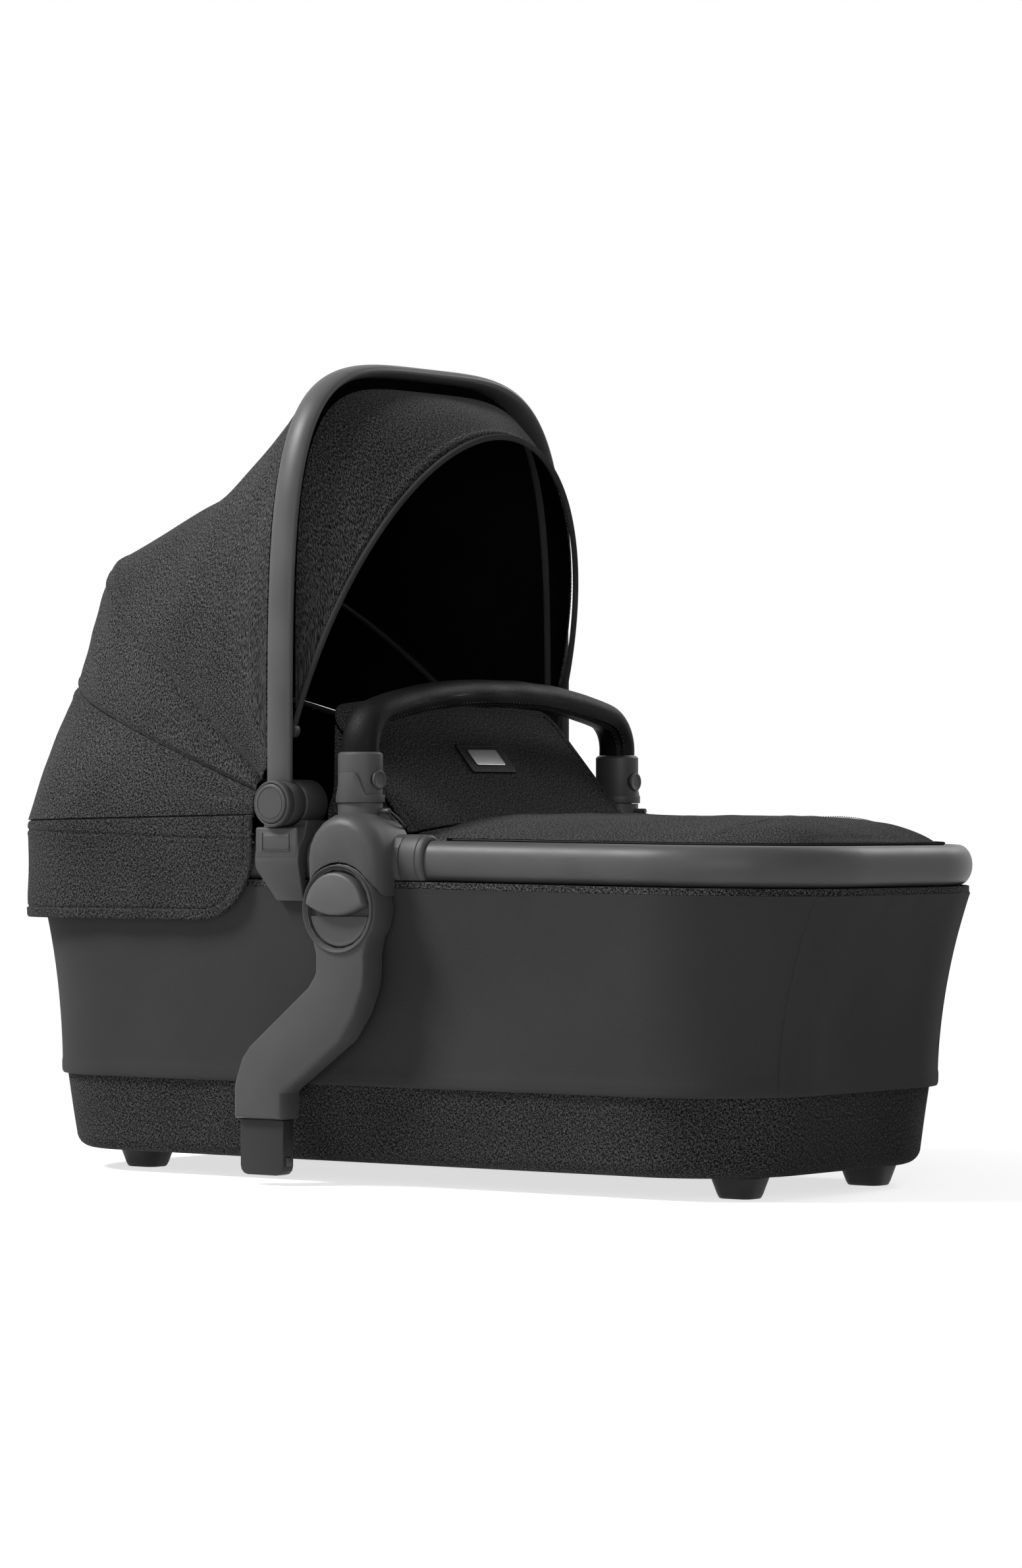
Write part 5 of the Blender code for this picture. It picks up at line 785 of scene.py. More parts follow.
def plain_cloth_material(name, level, on_cloth):
    """Plain fine weave for linings, tapes and bindings."""
    look = Look(name, 0.92, 0.02, on_cloth=on_cloth)
    weave = look.times(look.waves(0.0007, 0.0, 0.4), look.waves(0.0007, 90.0, 0.4))
    broad = look.spread(look.noise(14.0, 3.0), 0.3, 0.7, 0.0, 0.6)
    tone = look.sum(broad, look.times(weave, 0.4))
    return look.surface(look.tones(tone, level * 0.7, level * 1.35), weave, 0.0002, 0.6)


def coated_metal_material(name, level):
    """Satin powder coat: a fine orange-peel grain with slight changes of gloss."""
    look = Look(name, 0.38, 0.20)
    grain = look.noise(2600.0, 2.0)
    peel = look.noise(420.0, 2.0)
    rubbed = look.noise(18.0, 4.0)
    tone = look.spread(look.sum(look.times(grain, 0.4), rubbed), 0.45, 1.0)
    height = look.sum(grain, look.times(peel, 0.5))
    gloss = look.spread(rubbed, 0.3, 0.7, 0.36, 0.47)
    return look.surface(look.tones(tone, level * 0.85, level * 1.15), height, 0.00006, 0.5, gloss)


def moulded_material(name, level, roughness):
    """Matt moulded plastic with spark-eroded grain, slightly rubbed on its high spots."""
    look = Look(name, roughness, 0.26)
    grain = look.noise(3200.0, 2.0)
    pits = look.cells(look.place, 1500.0, "F1")
    rubbed = look.noise(26.0, 4.0)
    tone = look.spread(look.sum(look.times(grain, 0.5), rubbed), 0.5, 1.1)
    height = look.sum(grain, look.times(pits, 0.6))
    gloss = look.spread(rubbed, 0.3, 0.7, roughness - 0.06, roughness + 0.05)
    return look.surface(look.tones(tone, level * 0.9, level * 1.12), height, 0.00007, 0.55, gloss)


def leather_material(name, level):
    """Fine-grained leatherette: small irregular cells with softer folds over them."""
    look = Look(name, 0.46, 0.09)
    wobble = look.add("ShaderNodeTexNoise", {"Vector": look.place, "Scale": 240.0}).outputs["Color"]
    small = look.add("ShaderNodeVectorMath", {0: wobble, "Scale": 0.0012}, operation="SCALE").outputs[0]
    moved = look.add("ShaderNodeVectorMath", {0: look.place, 1: small}, operation="ADD").outputs[0]
    cells = look.spread(look.cells(moved, 720.0, "DISTANCE_TO_EDGE"), 0.0, 0.22)
    height = look.sum(cells, look.times(look.noise(120.0, 3.0), 0.5))
    tone = look.spread(look.noise(30.0, 3.0), 0.3, 0.7)
    gloss = look.spread(cells, 0.0, 1.0, 0.6, 0.4)
    return look.surface(look.tones(tone, level * 0.8, level * 1.25), height, 0.00016, 0.6, gloss)


def bare_metal_material(name, level, roughness):
    """Satin steel with fine drawn lines."""
    look = Look(name, roughness, 0.5, 1.0)
    lines = look.noise(1.0, 2.0, look.scaled((9000.0, 160.0, 9000.0)))
    gloss = look.spread(lines, 0.3, 0.7, roughness - 0.06, roughness + 0.08)
    colour = look.tones(look.noise(60.0, 3.0), level * 0.85, level * 1.1)
    return look.surface(colour, lines, 0.00002, 0.4, gloss)


def thread_material(name, level):
    """Twisted sewing thread."""
    look = Look(name, 0.55, 0.4)
    twist = look.waves(0.0005, 40.0, 0.5)
    return look.surface(look.tones(twist, level * 0.6, level * 1.4), twist, 0.0001, 0.6)


def quilt_material(name, level):
    """Soft jersey of the mattress cover."""
    look = Look(name, 0.9, 0.2)
    knit = look.sum(look.waves(0.0012, 0.0, 0.8), look.waves(0.0012, 90.0, 0.8))
    look.sheen(0.2, 0.5)
    tone = look.sum(look.times(knit, 0.25), look.times(look.noise(12.0, 3.0), 0.5))
    return look.surface(look.tones(tone, level * 0.8, level * 1.2), knit, 0.0003, 0.7)


def floor_material():
    """Pale floor that keeps a soft shadow near the object and is white to the camera further out."""
    look = Look("pale_floor", 0.9, 0.0)
    look.links.new(look.tones(look.noise(40.0, 2.0), 0.80, 0.82), look.shader.inputs["Base Color"])
    distance = look.add("ShaderNodeVectorMath", {0: look.place}, operation="LENGTH").outputs["Value"]
    far = look.spread(distance, FLOOR_SHADOW_START, FLOOR_SHADOW_END)
    white = look.add("ShaderNodeEmission", {"Color": WHITE, "Strength": 1.0}).outputs[0]
    lift = look.add("ShaderNodeEmission", {"Color": WHITE, "Strength": FLOOR_LIFT}).outputs[0]
    plain = look.shader.outputs[0]
    near = look.add("ShaderNodeAddShader", {0: plain, 1: lift}).outputs[0]
    shown = look.add("ShaderNodeMixShader", {0: far, 1: near, 2: white}).outputs[0]
    both = look.add("ShaderNodeMixShader", {0: look.seen(), 1: plain, 2: shown})
    look.links.new(both.outputs[0], look.nodes["Material Output"].inputs["Surface"])
    return look.material


def build_studio():
    """Floor, world, soft lamps and the photograph's camera."""
    mesh = bpy.data.meshes.new("floor")
    half = FLOOR_HALF
    corners = [(-half, -half, 0), (half, -half, 0), (half, half, 0), (-half, half, 0)]
    mesh.from_pydata(corners, [], [(0, 1, 2, 3)])
    floor = new_object("floor", mesh, floor_material())
    world = bpy.data.worlds.new("studio")
    bpy.context.scene.world = world
    graph = Graph(world)
    ambient = graph.nodes["Background"]
    ambient.inputs["Color"].default_value = WHITE
    ambient.inputs["Strength"].default_value = WORLD_LEVEL
    white = graph.add("ShaderNodeBackground", {"Color": WHITE}).outputs[0]
    shown = graph.add("ShaderNodeMixShader", {0: graph.seen(), 1: ambient.outputs[0], 2: white})
    graph.links.new(shown.outputs[0], graph.nodes["World Output"].inputs[0])
    for name, place, size, power in LAMPS:
        lamp = bpy.data.lights.new(name, "AREA")
        lamp.shape = "DISK"
        lamp.size = size
        lamp.energy = power
        made = bpy.data.objects.new(name, lamp)
        made.location = place
        made.rotation_euler = (Vector(AIM) - Vector(place)).to_track_quat("-Z", "Y").to_euler()
        bpy.context.scene.collection.objects.link(made)
    turn = math.radians(CAMERA_TURN)
    ahead = Vector((-math.sin(turn), math.cos(turn), 0))
    aside = Vector((math.cos(turn), math.sin(turn), 0))
    lens = bpy.data.cameras.new("camera")
    lens.lens = CAMERA_LENS
    lens.clip_end = 60.0
    camera = bpy.data.objects.new("camera", lens)
    camera.location = aside * CAMERA_ASIDE - ahead * CAMERA_AWAY + Vector((CAMERA_SHIFT_X, 0, CAMERA_HEIGHT))
    camera.rotation_euler = (math.radians(90.0 + CAMERA_PITCH), 0, turn)
    bpy.context.scene.collection.objects.link(camera)
    bpy.context.scene.camera = camera
    bpy.context.scene.view_settings.view_transform = "Standard"


def arc_at(centre, radius, degrees):
    """Points of an arc in a plane at the given angles."""
    turns = np.radians(degrees)
    return np.stack((centre[0] + radius * np.cos(turns), centre[1] + radius * np.sin(turns)), axis=1)


def arc(centre, radius, start, end, steps):
    """Evenly cut arc from one angle to the other in degrees."""
    return arc_at(centre, radius, np.linspace(start, end, steps + 1))


def corner_turns(seam=None):
    """Angles at which a quarter corner is cut, closer together beside a seam."""
    turns = np.linspace(0.0, 90.0, CORNER_STEPS + 1)
    if seam is None:
        return turns
    kept = turns[np.abs(turns - seam) > SEAM_OFFSETS[-1] * 1.3]
    return np.sort(np.concatenate((kept, seam + np.array(SEAM_OFFSETS))))


def plan_ring(head_x, foot_x, half, head_radius, foot_radius, inset=0.0, seams=False):
    """Ring round the tub seen from above, anticlockwise from the middle of the head end."""
    head_x, foot_x, half = head_x + inset, foot_x - inset, half - inset
    a = max(head_radius - inset, LEAST_RADIUS)
    b = max(foot_radius - inset, LEAST_RADIUS)
    near, far = SEAM_TURNS if seams else (None, None)
    corners = (((head_x + a, a - half), a, 180.0, None), ((foot_x - b, b - half), b, 270.0, near),
               ((foot_x - b, half - b), b, 0.0, far), ((head_x + a, half - a), a, 90.0, None))
    bends = [arc_at(centre, radius, start + corner_turns(seam)) for centre, radius, start, seam in corners]
    middle = np.array((head_x, 0.0))
    counts = (END_STEPS, LONG_STEPS, 2 * END_STEPS, LONG_STEPS, END_STEPS)
    starts = [middle] + [bend[-1] for bend in bends]
    ends = [bend[0] for bend in bends] + [middle]
    parts = [middle[None]]
    for index, count in enumerate(counts):
        parts.append(np.linspace(starts[index], ends[index], count + 1)[1:-1])
        parts += bends[index:index + 1]
    return np.concatenate(parts)


def seam_columns():
    """Columns of a ring with seams at which the right and the left seam run."""
    columns = []
    start = END_STEPS + len(corner_turns()) + LONG_STEPS - 1
    for seam in SEAM_TURNS:
        turns = corner_turns(seam)
        columns.append(start + int(np.argmin(np.abs(turns - seam))))
        start += len(turns) + 2 * END_STEPS - 1
    return columns


def levelled(plan, height):
    """Plan at a height, which is one number or a number for each point."""
    return np.column_stack((plan, np.broadcast_to(height, len(plan))))


def rail_z(x):
    """Height of the rail's centre, which drops a little towards the foot end."""
    return RAIL_Z - RAIL_DROP * np.maximum(x, 0.0) / RAIL_FOOT_X


def build_side_cover(looks):
    """Smooth side cover: flared towards the rail, with a folded hem and a sewn seam at each foot corner."""
    rings = []
    for share in spans(0.0, (0.08, 9), (0.94, 26), (1.0, 5)):
        plan = plan_ring(*(COVER_LOW + (COVER_HIGH - COVER_LOW) * share ** 2.0), seams=True)
        top = rail_z(plan[:, 0]) - RAIL_TALL / 2 - BINDING_TALL - 2 * GAP
        rings.append(levelled(plan, COVER_BOTTOM + (top - COVER_BOTTOM) * share))
    grid = np.array(rings)
    normals = grid_normals(grid, COVER_CENTRE, True)
    height = grid[..., 2] - COVER_BOTTOM
    around = runs(grid[20])
    hem = 0.0006 / (1.0 + np.exp((height - 0.012) / 0.0006)) - 0.0012 * np.exp(-height / 0.0012)
    pull = -0.0007 * np.abs(np.sin(around * math.pi / 0.055)) ** 6 * np.exp(-np.abs(0.165 - height) / 0.012)
    wander = 0.00055 * ripple(around * 0.8, height * 0.6, 0.10, 3) * bell(height, 0.09, 0.08)
    lift = hem + pull + wander
    for column in seam_columns():
        lift = lift + sewn_seam(np.abs(around - around[column]), SIDE_SEAM)
    grid = grid + normals * np.minimum(lift, 0.0012)[..., None]
    piece = sheet("side_cover", grid, COVER_THICK, COVER_CENTRE, looks["softshell"], looks["lining"], True)
    placed(piece, "root", "softshell", "side_fabric")
    declared(grid, True)
    for name, column, aside in zip(("right", "left"), seam_columns(), (4, -4)):
        path, out = grid[2:-1, column + aside], normals[2:-1, column + aside]
        rows = stitches(f"corner_stitches_{name}", path, out, looks["thread_dark"], SIDE_STITCH)
        placed(rows, "root", "softshell")


def build_rim_binding(looks):
    """Woven strip between the side cover and the rail, with a turned lower edge."""
    rings = []
    for drop, inset in ((6.4, 2.0), (6.3, 1.2), (5.7, 0.9), (5.0, 1.2), (3.0, 1.25), (0.6, 1.2), (0.3, 2.0)):
        plan = plan_ring(*COVER_HIGH, inset / 1000)
        rings.append(levelled(plan, rail_z(plan[:, 0]) - RAIL_TALL / 2 - drop / 1000))
    piece = sheet("rim_strip", np.array(rings), 0.0016, (0, 0, 0.2), looks["melange"], None, True)
    placed(piece, "root", "melange_twill", "rim_binding")


def build_base(looks):
    """Woven cover of the base, pulled round its lower edge and closed underneath, with the tray inside."""
    levels = [(BASE_LEAN + inset, BASE_BOTTOM) for inset in (0.165, 0.12, 0.08, 0.05, 0.034)]
    for turn in np.radians(np.linspace(0.0, 90.0, 9)):
        rise = BASE_EDGE * (1.0 - math.cos(turn))
        levels.append((BASE_LEAN + BASE_EDGE * (1.0 - math.sin(turn)), BASE_BOTTOM + rise))
    low = BASE_BOTTOM + BASE_EDGE
    for share in np.linspace(0.0, 1.0, 12)[1:]:
        levels.append((BASE_LEAN * (1.0 - share), low + (BASE_TOP - low) * share))
    grid = np.array([levelled(plan_ring(*BASE_PLAN, inset), height) for inset, height in levels])
    normals = grid_normals(grid, BASE_CENTRE, True)
    side = ramp(grid[..., 2] - BASE_BOTTOM, BASE_EDGE)
    lift = 0.0005 * ripple(runs(grid[-1]) * 0.9, grid[..., 2], 0.07, 8) * side
    grid = grid + normals * np.clip(lift, -0.001, 0.0008)[..., None]
    # The base cover takes the darker copy of the melange, which paints shade on it
    piece = sheet("base_cover", grid, 0.0012, BASE_CENTRE, looks["shaded_melange"], None, True)
    placed(piece, "root", "melange_twill", "base_fabric")
    declared(grid, True)
    dressed("base_shell", looks["dark_plastic"])
    dressed("tub_wall", looks["dark_plastic"])
    for end in ("head_left", "head_right", "front_left", "front_right"):
        remade(f"foot_{end}", f"foot_pad_{end}", looks["dark_plastic"], 0.0012, "root", "dark_plastic")


def build_lining(looks):
    """Inner bag of the tub: soft walls from the floor to the inside of the rail, sewn near its upper edge."""
    head_x = RAIL_HEAD_X + RAIL_THICK / 2
    foot_x = RAIL_FOOT_X - RAIL_THICK / 2
    low = levelled(plan_ring(*BASE_PLAN, BASE_HALF - LINING_HALF), FLOOR_Z)
    high = levelled(plan_ring(head_x, foot_x, RAIL_Y, RAIL_HEAD_RADIUS, RAIL_FOOT_RADIUS,
                              RAIL_Y - LINING_TOP_HALF), LINING_TOP)
    shares = np.linspace(0.0, 1.0, 34)[:, None]
    grid = low + (high - low) * shares[..., None]
    normals = grid_normals(grid, LINING_CENTRE, True)
    belly = np.sin(shares * math.pi)
    lift = -0.0022 * belly + 0.0010 * ripple(runs(high), shares * 0.26, 0.09, 12) * belly
    lift = lift - 0.0008 * bell(shares, 0.90, 0.02)
    grid = grid + normals * lift[..., None]
    piece = sheet("inner_bag", grid, 0.0015, LINING_CENTRE, looks["lining"], None, True)
    placed(piece, "root", "lining_fabric", "lining")
    declared(grid, True)


def build_mattress(looks):
    """Quilted mattress: a soft body puffed by a short cloth simulation, with sewn channels in its top."""
    tall = MATTRESS_TALL
    levels = ((0.0, 0.150), (0.0, 0.09), (0.0, 0.010), (0.003, 0.003), (0.008, 0.0), (0.034, 0.0),
              (0.039, 0.003), (tall, 0.010), (tall, 0.06), (tall, 0.10), (tall, 0.147))
    rings = []
    for height, inset in levels:
        rings.append(levelled(plan_ring(*MATTRESS_PLAN, inset)[::3], MATTRESS_FLOOR + height))
    piece = loft("mattress_pad", rings, looks["quilt"])
    remesh = piece.modifiers.new("even", "REMESH")
    remesh.mode = "VOXEL"
    remesh.voxel_size = 0.006
    applied(piece)
    rest = points_of(piece)
    puffed = piece.modifiers.new("puffed", "CLOTH")
    puffed.settings.use_pressure = True
    puffed.settings.uniform_pressure_force = 4.0
    puffed.settings.mass = 0.3
    puffed.settings.effector_weights.gravity = 0.0
    puffed.settings.tension_stiffness = 20.0
    puffed.settings.compression_stiffness = 20.0
    puffed.settings.bending_stiffness = 0.8
    puffed.point_cache.frame_start = 1
    puffed.point_cache.frame_end = PUFF_FRAMES
    for number in range(1, PUFF_FRAMES + 1):
        bpy.context.scene.frame_set(number)
    applied(piece)
    bpy.context.scene.frame_set(1)
    moved = points_of(piece) - rest
    length = np.maximum(np.linalg.norm(moved, axis=1, keepdims=True), 1e-9)
    set_points(piece, rest + moved * np.minimum(1.0, PUFF_LIMIT / length))
    smooth = piece.modifiers.new("fine", "SUBSURF")
    smooth.levels = 1
    smooth.render_levels = smooth.levels
    applied(piece)
    points = points_of(piece)
    x, y, z = points.T
    top = ramp(z - MATTRESS_FLOOR - tall * 0.6, tall * 0.25)
    lines = [np.abs(np.cos(places / QUILT_PITCH * math.pi)) ** 24 for places in (x + y, x - y)]
    z = z - QUILT_DEEP * np.maximum(*lines) * top
    points[:, 2] = np.clip(z, MATTRESS_FLOOR, MATTRESS_FLOOR + tall + MATTRESS_ROOM)
    set_points(piece, points)
    piece.data.shade_smooth()
    placed(piece, "root", "mattress_cover", "mattress")


def arch_line(half, rise, power, start, count=ROW_COUNT):
    """Superellipse arch from foot to foot, as (distance across, distance from the axis), at equal steps."""
    limit = math.acos(min((start / rise) ** (power / 2.0), 1.0))
    turns = np.linspace(-limit, limit, 1201)
    across = np.copysign(np.abs(np.sin(turns)) ** (2.0 / power), turns) * half
    away = np.abs(np.cos(turns)) ** (2.0 / power) * rise
    return resampled(np.stack((across, away), axis=1), count)


def upright(line, x, heart_z):
    """Arch line placed in the plane across the hood at x."""
    return np.stack((np.full(len(line), x), line[:, 0], heart_z + line[:, 1]), axis=1)


def leaning(line, angle, heart_z=HINGE_Z):
    """Arch line in the plane that leans back by the angle about a line across the hood."""
    back = math.radians(angle)
    x = HINGE_X - line[:, 1] * math.sin(back)
    return np.stack((x, line[:, 0], heart_z + line[:, 1] * math.cos(back)), axis=1)


def hood_row(row, place):
    """Row across the hood fabric at one angle; beside the hinge each row lies a step behind the last."""
    half, rise, power, angle = row
    points = leaning(arch_line(half, rise, power, PANEL_START), angle)
    points[:, 0] = np.minimum(points[:, 0], BOW_X - BOW_DEEP / 2 - GAP - place * FAN_STEP)
    return points


def skirt_top(x):
    """Height of the skirt's upper edge, which sinks towards the head end."""
    share = (x - SKIRT_HEAD_X) / (SKIRT_FRONT_X - SKIRT_HEAD_X)
    return SKIRT_TOP_HEAD + (SKIRT_TOP_FRONT - SKIRT_TOP_HEAD) * share


def skirt_line(count):
    """Plan of the skirt's U from the right front edge round the head end, at equal steps."""
    bend = SKIRT_HEAD_X + SKIRT_RADIUS
    points = np.concatenate(([[SKIRT_FRONT_X, -SKIRT_HALF]],
                             arc((bend, SKIRT_RADIUS - SKIRT_HALF), SKIRT_RADIUS, 270, 180, 24),
                             arc((bend, SKIRT_HALF - SKIRT_RADIUS), SKIRT_RADIUS, 180, 90, 24),
                             [[SKIRT_FRONT_X, SKIRT_HALF]]))
    return resampled(points, count)


def panel_grid(keys, places, count, seed, seams):
    """Grid of a hood panel through its key rows, with rolled seams, slack and folds at the hinge."""
    even = np.linspace(0.0, 1.0, count)
    eased = 0.5 * even + 0.25 * (1.0 - np.cos(even * math.pi))
    wanted = places[0] + (places[-1] - places[0]) * eased
    grid = smooth_between(keys, places, wanted)
    normals = grid_normals(grid, HOOD_CENTRE)
    down = runs(grid)
    up = down[-1] - down
    across = np.linspace(0.0, 1.0, ROW_COUNT)[None]
    side = np.minimum(across, 1.0 - across) * 0.82
    share = (wanted - wanted[0]) / (wanted[-1] - wanted[0])
    v = share[:, None]
    slack = 0.0013 * ripple(side * 3.0 + seed, v * 0.35, 0.16, seed)
    slack = slack + 0.0006 * ripple(across * 0.9, v * 0.2, 0.06, seed + 1)
    folds = 0.0042 * np.sin(v * math.pi * 2.6 + seed) * np.exp(-side / 0.09)
    lift = (slack + folds) * ramp(np.minimum(down, up), 0.02) * ramp(side, 0.02)
    for is_seam, distance in zip(seams, (down, up)):
        if is_seam:
            lift = lift + sewn_seam(distance, RIB_SEAM)
    return grid + normals * np.clip(lift, -0.0035, 0.004)[..., None], normals, share


def build_hood(looks):
    """Three hood panels, each one curved sheet, and the sewn lines at the ribs."""
    front = upright(arch_line(*FRONT_ROW, PANEL_START), BOW_X - BOW_DEEP / 2 - GAP, HINGE_Z)
    dip, swell = hood_row(DIP_ROW, 1), hood_row(SWELL_ROW, 2)
    mid, rear = hood_row(MID_ROW, 3), hood_row(REAR_ROW, 4)
    plan = skirt_line(ROW_COUNT)
    base = levelled(plan, skirt_top(plan[:, 0]) + GAP)
    bows = ["front_bow", "mid_bow", "rear_bow"]
    panels = (("front", "hood_panel_front", [front, dip, swell, mid], [2.0, 20.0, 40.0, MID_ANGLE], 60, 5,
               (False, True), ("front_bow", "mid_bow"), bows),
              ("middle", "hood_panel_mid", [mid, rear], [MID_ANGLE, REAR_ANGLE], 30, 6,
               (True, True), ("mid_bow", "rear_bow"), bows),
              ("rear", "hood_panel_rear", [rear, base], [REAR_ANGLE, 92.0], 42, 7,
               (True, False), ("rear_bow", "root"), ["rear_bow", "hood_skirt_cloth"]))
    for name, node, keys, places, count, seed, seams, bodies, rests in panels:
        if len(keys) == 2:
            middle = (keys[0] + keys[1]) / 2
            belly = 0.004 if name == "rear" else 0.001
            keys.insert(1, middle + unit(middle - np.array(HOOD_CENTRE)) * belly)
            places.insert(1, sum(places) / 2)
        grid, normals, shares = panel_grid(keys, places, count, seed, seams)
        piece = sheet(f"hood_{name}", grid, PANEL_THICK, HOOD_CENTRE, looks["melange"], looks["lining"])
        bent(piece, *bodies, shares, "melange_twill", node)
        declared(grid)
        if seams[1]:
            up = runs(grid[::-1, 60])[1:]
            row = count - 1 - int(np.argmin(np.abs(up - RIB_SEAM[3])))
            thread = looks["thread_dark"]
            line = stitches(f"rib_stitches_{name}", grid[row], normals[row], thread, HOOD_STITCH)
            placed(line, bodies[1], "melange_twill")


def build_skirt(looks):
    """Rear skirt: tucked under the canopy, sewn across; its folded hem also runs up its front edges."""
    fine = np.array((0.0, 0.0006, 0.0016, 0.0030, 0.0046, 0.0062, 0.0074, 0.0082, 0.0090, 0.0098, 0.0108,
                     0.0125, 0.0155, 0.020))
    dense = skirt_line(1201)
    lengths = runs(dense)
    inner = np.linspace(fine[-1], lengths[-1] - fine[-1], 171)[1:-1]
    wanted = np.concatenate((fine, inner, lengths[-1] - fine[::-1]))
    plan = read_at(dense, lengths, wanted)
    x = plan[:, 0]
    run = ramp(SKIRT_FRONT_X - x, SKIRT_CORNER)
    low = SKIRT_HEM + SKIRT_CORNER * (1.0 - np.sqrt(np.maximum(1.0 - (1.0 - run) ** 2, 0.0)))
    top = skirt_top(x)
    shares = spans(0.0, (0.16, 17), (0.62, 20), (1.0, 40))[:, None]
    heights = low + (top + SKIRT_TUCK - low) * shares
    grid = np.stack(np.broadcast_arrays(x, plan[:, 1], heights), axis=2)
    normals = grid_normals(grid, SKIRT_CENTRE)
    bend_x, bend_z = SKIRT_FRONT_X - SKIRT_CORNER, SKIRT_HEM + SKIRT_CORNER
    in_corner = (x > bend_x) & (heights < bend_z)
    round_away = SKIRT_CORNER - np.hypot(x - bend_x, heights - bend_z)
    straight_away = np.minimum(heights - SKIRT_HEM, np.minimum(wanted, lengths[-1] - wanted))
    away = np.where(in_corner, round_away, straight_away)
    fold = 0.0011 / (1.0 + np.exp((away - 0.0088) / 0.0005)) - 0.0010 * bell(away, 0.0, 0.0008)
    fold = fold - 0.0012 * bell(away, 0.0096, 0.0010)
    seam_drop = 0.0076 + 0.0154 * (x - SKIRT_HEAD_X) / (SKIRT_FRONT_X - SKIRT_HEAD_X)
    sewn = sewn_seam(np.abs(heights - (top - seam_drop)), SKIRT_SEAM)
    tuck = -0.0032 * ramp(heights - top + 0.002, 0.002)
    slack = 0.0010 * ripple(wanted * 0.9, heights, 0.085, 21) * ramp(away, 0.02) * ramp(top - heights, 0.02)
    slack = slack + 0.0005 * np.sin(wanted * 95.0) * np.exp(-away / 0.02)
    lift = np.clip(fold + sewn + slack, -0.0016, 0.0016) + tuck
    grid = grid + normals * lift[..., None]
    # The skirt takes the darker copy of the melange: painted shade, as it turns away from the light under the
    # canopy
    piece = sheet("hood_skirt_cloth", grid, SKIRT_THICK, SKIRT_CENTRE, looks["shaded_melange"], looks["lining"])
    placed(piece, "root", "melange_twill", "hood_skirt")
    declared(grid)
    sewn_radius = SKIRT_CORNER - SKIRT_HEM_TALL
    bends = arc((bend_x, bend_z), sewn_radius, 0, -90, 15)
    start = (SKIRT_FRONT_X - SKIRT_HEM_TALL, skirt_top(SKIRT_FRONT_X) - 0.006)
    rows = []
    for half in (plan[:len(plan) // 2], plan[:len(plan) // 2 - 1:-1]):
        level = np.sort(half[half[:, 0] < bend_x, 0])[::-1]
        level = np.column_stack((level, np.full(len(level), SKIRT_HEM + SKIRT_HEM_TALL)))
        seen = np.concatenate(([start], bends, level))
        far = np.maximum.accumulate(SKIRT_FRONT_X - half[:, 0])
        side_y = np.interp(SKIRT_FRONT_X - seen[:, 0], far, half[:, 1])
        path = resampled(np.column_stack((seen[:, 0], side_y, seen[:, 1])), 240)
        back = ramp(SKIRT_HEAD_X + SKIRT_RADIUS - path[:, 0], SKIRT_RADIUS)
        out = unit(np.stack((-back, path[:, 1] / SKIRT_HALF, np.zeros(len(path))), axis=1))
        rows.append(stitches("hem", path + out * 0.0010, out, looks["thread_dark"], HOOD_STITCH))
    placed(joined("skirt_stitches", rows), "root", "melange_twill")


def rail_line(end_x, start_x, corner):
    """Centre line of a U-shaped rail from one side round the end to the other."""
    direction = 1 if end_x > start_x else -1
    straight = end_x - direction * (RAIL_THICK / 2 + corner)
    turns = np.concatenate((arc((0.0, corner - RAIL_Y), corner, -90, 0, 48),
                            arc((0.0, RAIL_Y - corner), corner, 0, 90, 48)))
    bends = np.stack((straight + direction * turns[:, 0], turns[:, 1]), axis=1)
    plan = np.concatenate(([[start_x, -RAIL_Y]], bends, [[start_x, RAIL_Y]]))
    steps = np.linalg.norm(np.diff(plan, axis=0), axis=1)
    plan = plan[np.concatenate(([True], steps > 1e-6))]
    return levelled(plan, rail_z(plan[:, 0]))


def build_rails(looks):
    """Front and rear rail as smooth oval tubes, and the collars of the front rail."""
    section = oval(RAIL_THICK / 2, RAIL_TALL / 2, 48)
    for name, end_x, start_x, corner in (("front_rail", RAIL_FOOT_X, RAIL_START_X, RAIL_FOOT_RADIUS),
                                         ("rear_rail", RAIL_HEAD_X, REAR_RAIL_START_X, RAIL_HEAD_RADIUS)):
        piece = sweep(f"{name}_tube", rail_line(end_x, start_x, corner), UP, section, looks["metal"])
        placed(piece, "root", "powder_coated_metal", name)
    profile = ((0.0, 0.0004), (0.0012, 0.0), (0.0170, 0.0), (0.0176, 0.0008), (0.0190, 0.0008), (0.0196, 0.0),
               (0.0225, 0.0), (0.0240, 0.0008), (0.0249, 0.0024), (FRONT_COLLAR_LONG, 0.0030))
    ovals = [(along, COLLAR_THICK / 2 - inset, COLLAR_TALL / 2 - inset) for along, inset in profile]
    ovals += [(along, RAIL_THICK / 2 + GAP, RAIL_TALL / 2 + GAP) for along in (FRONT_COLLAR_LONG, 0.0)]
    for side_name, side in SIDES:
        rings = []
        for along, half_wide, half_tall in ovals:
            ring = oval(half_wide, half_tall)
            x = np.full(len(ring), RAIL_START_X + along)
            rings.append(np.stack((x, side * RAIL_Y + ring[:, 0], rail_z(x) + ring[:, 1]), axis=1))
        piece = loft(f"collar_{side_name}", rings, looks["plastic"], True)
        space = side_box(side, (-0.1, 0.1), (0.150, 0.2031), (COVER_BOTTOM, 0.2655))
        combined(piece, [("DIFFERENCE", space)])
        placed(piece, "root", "charcoal_plastic", f"front_collar_{side_name}")


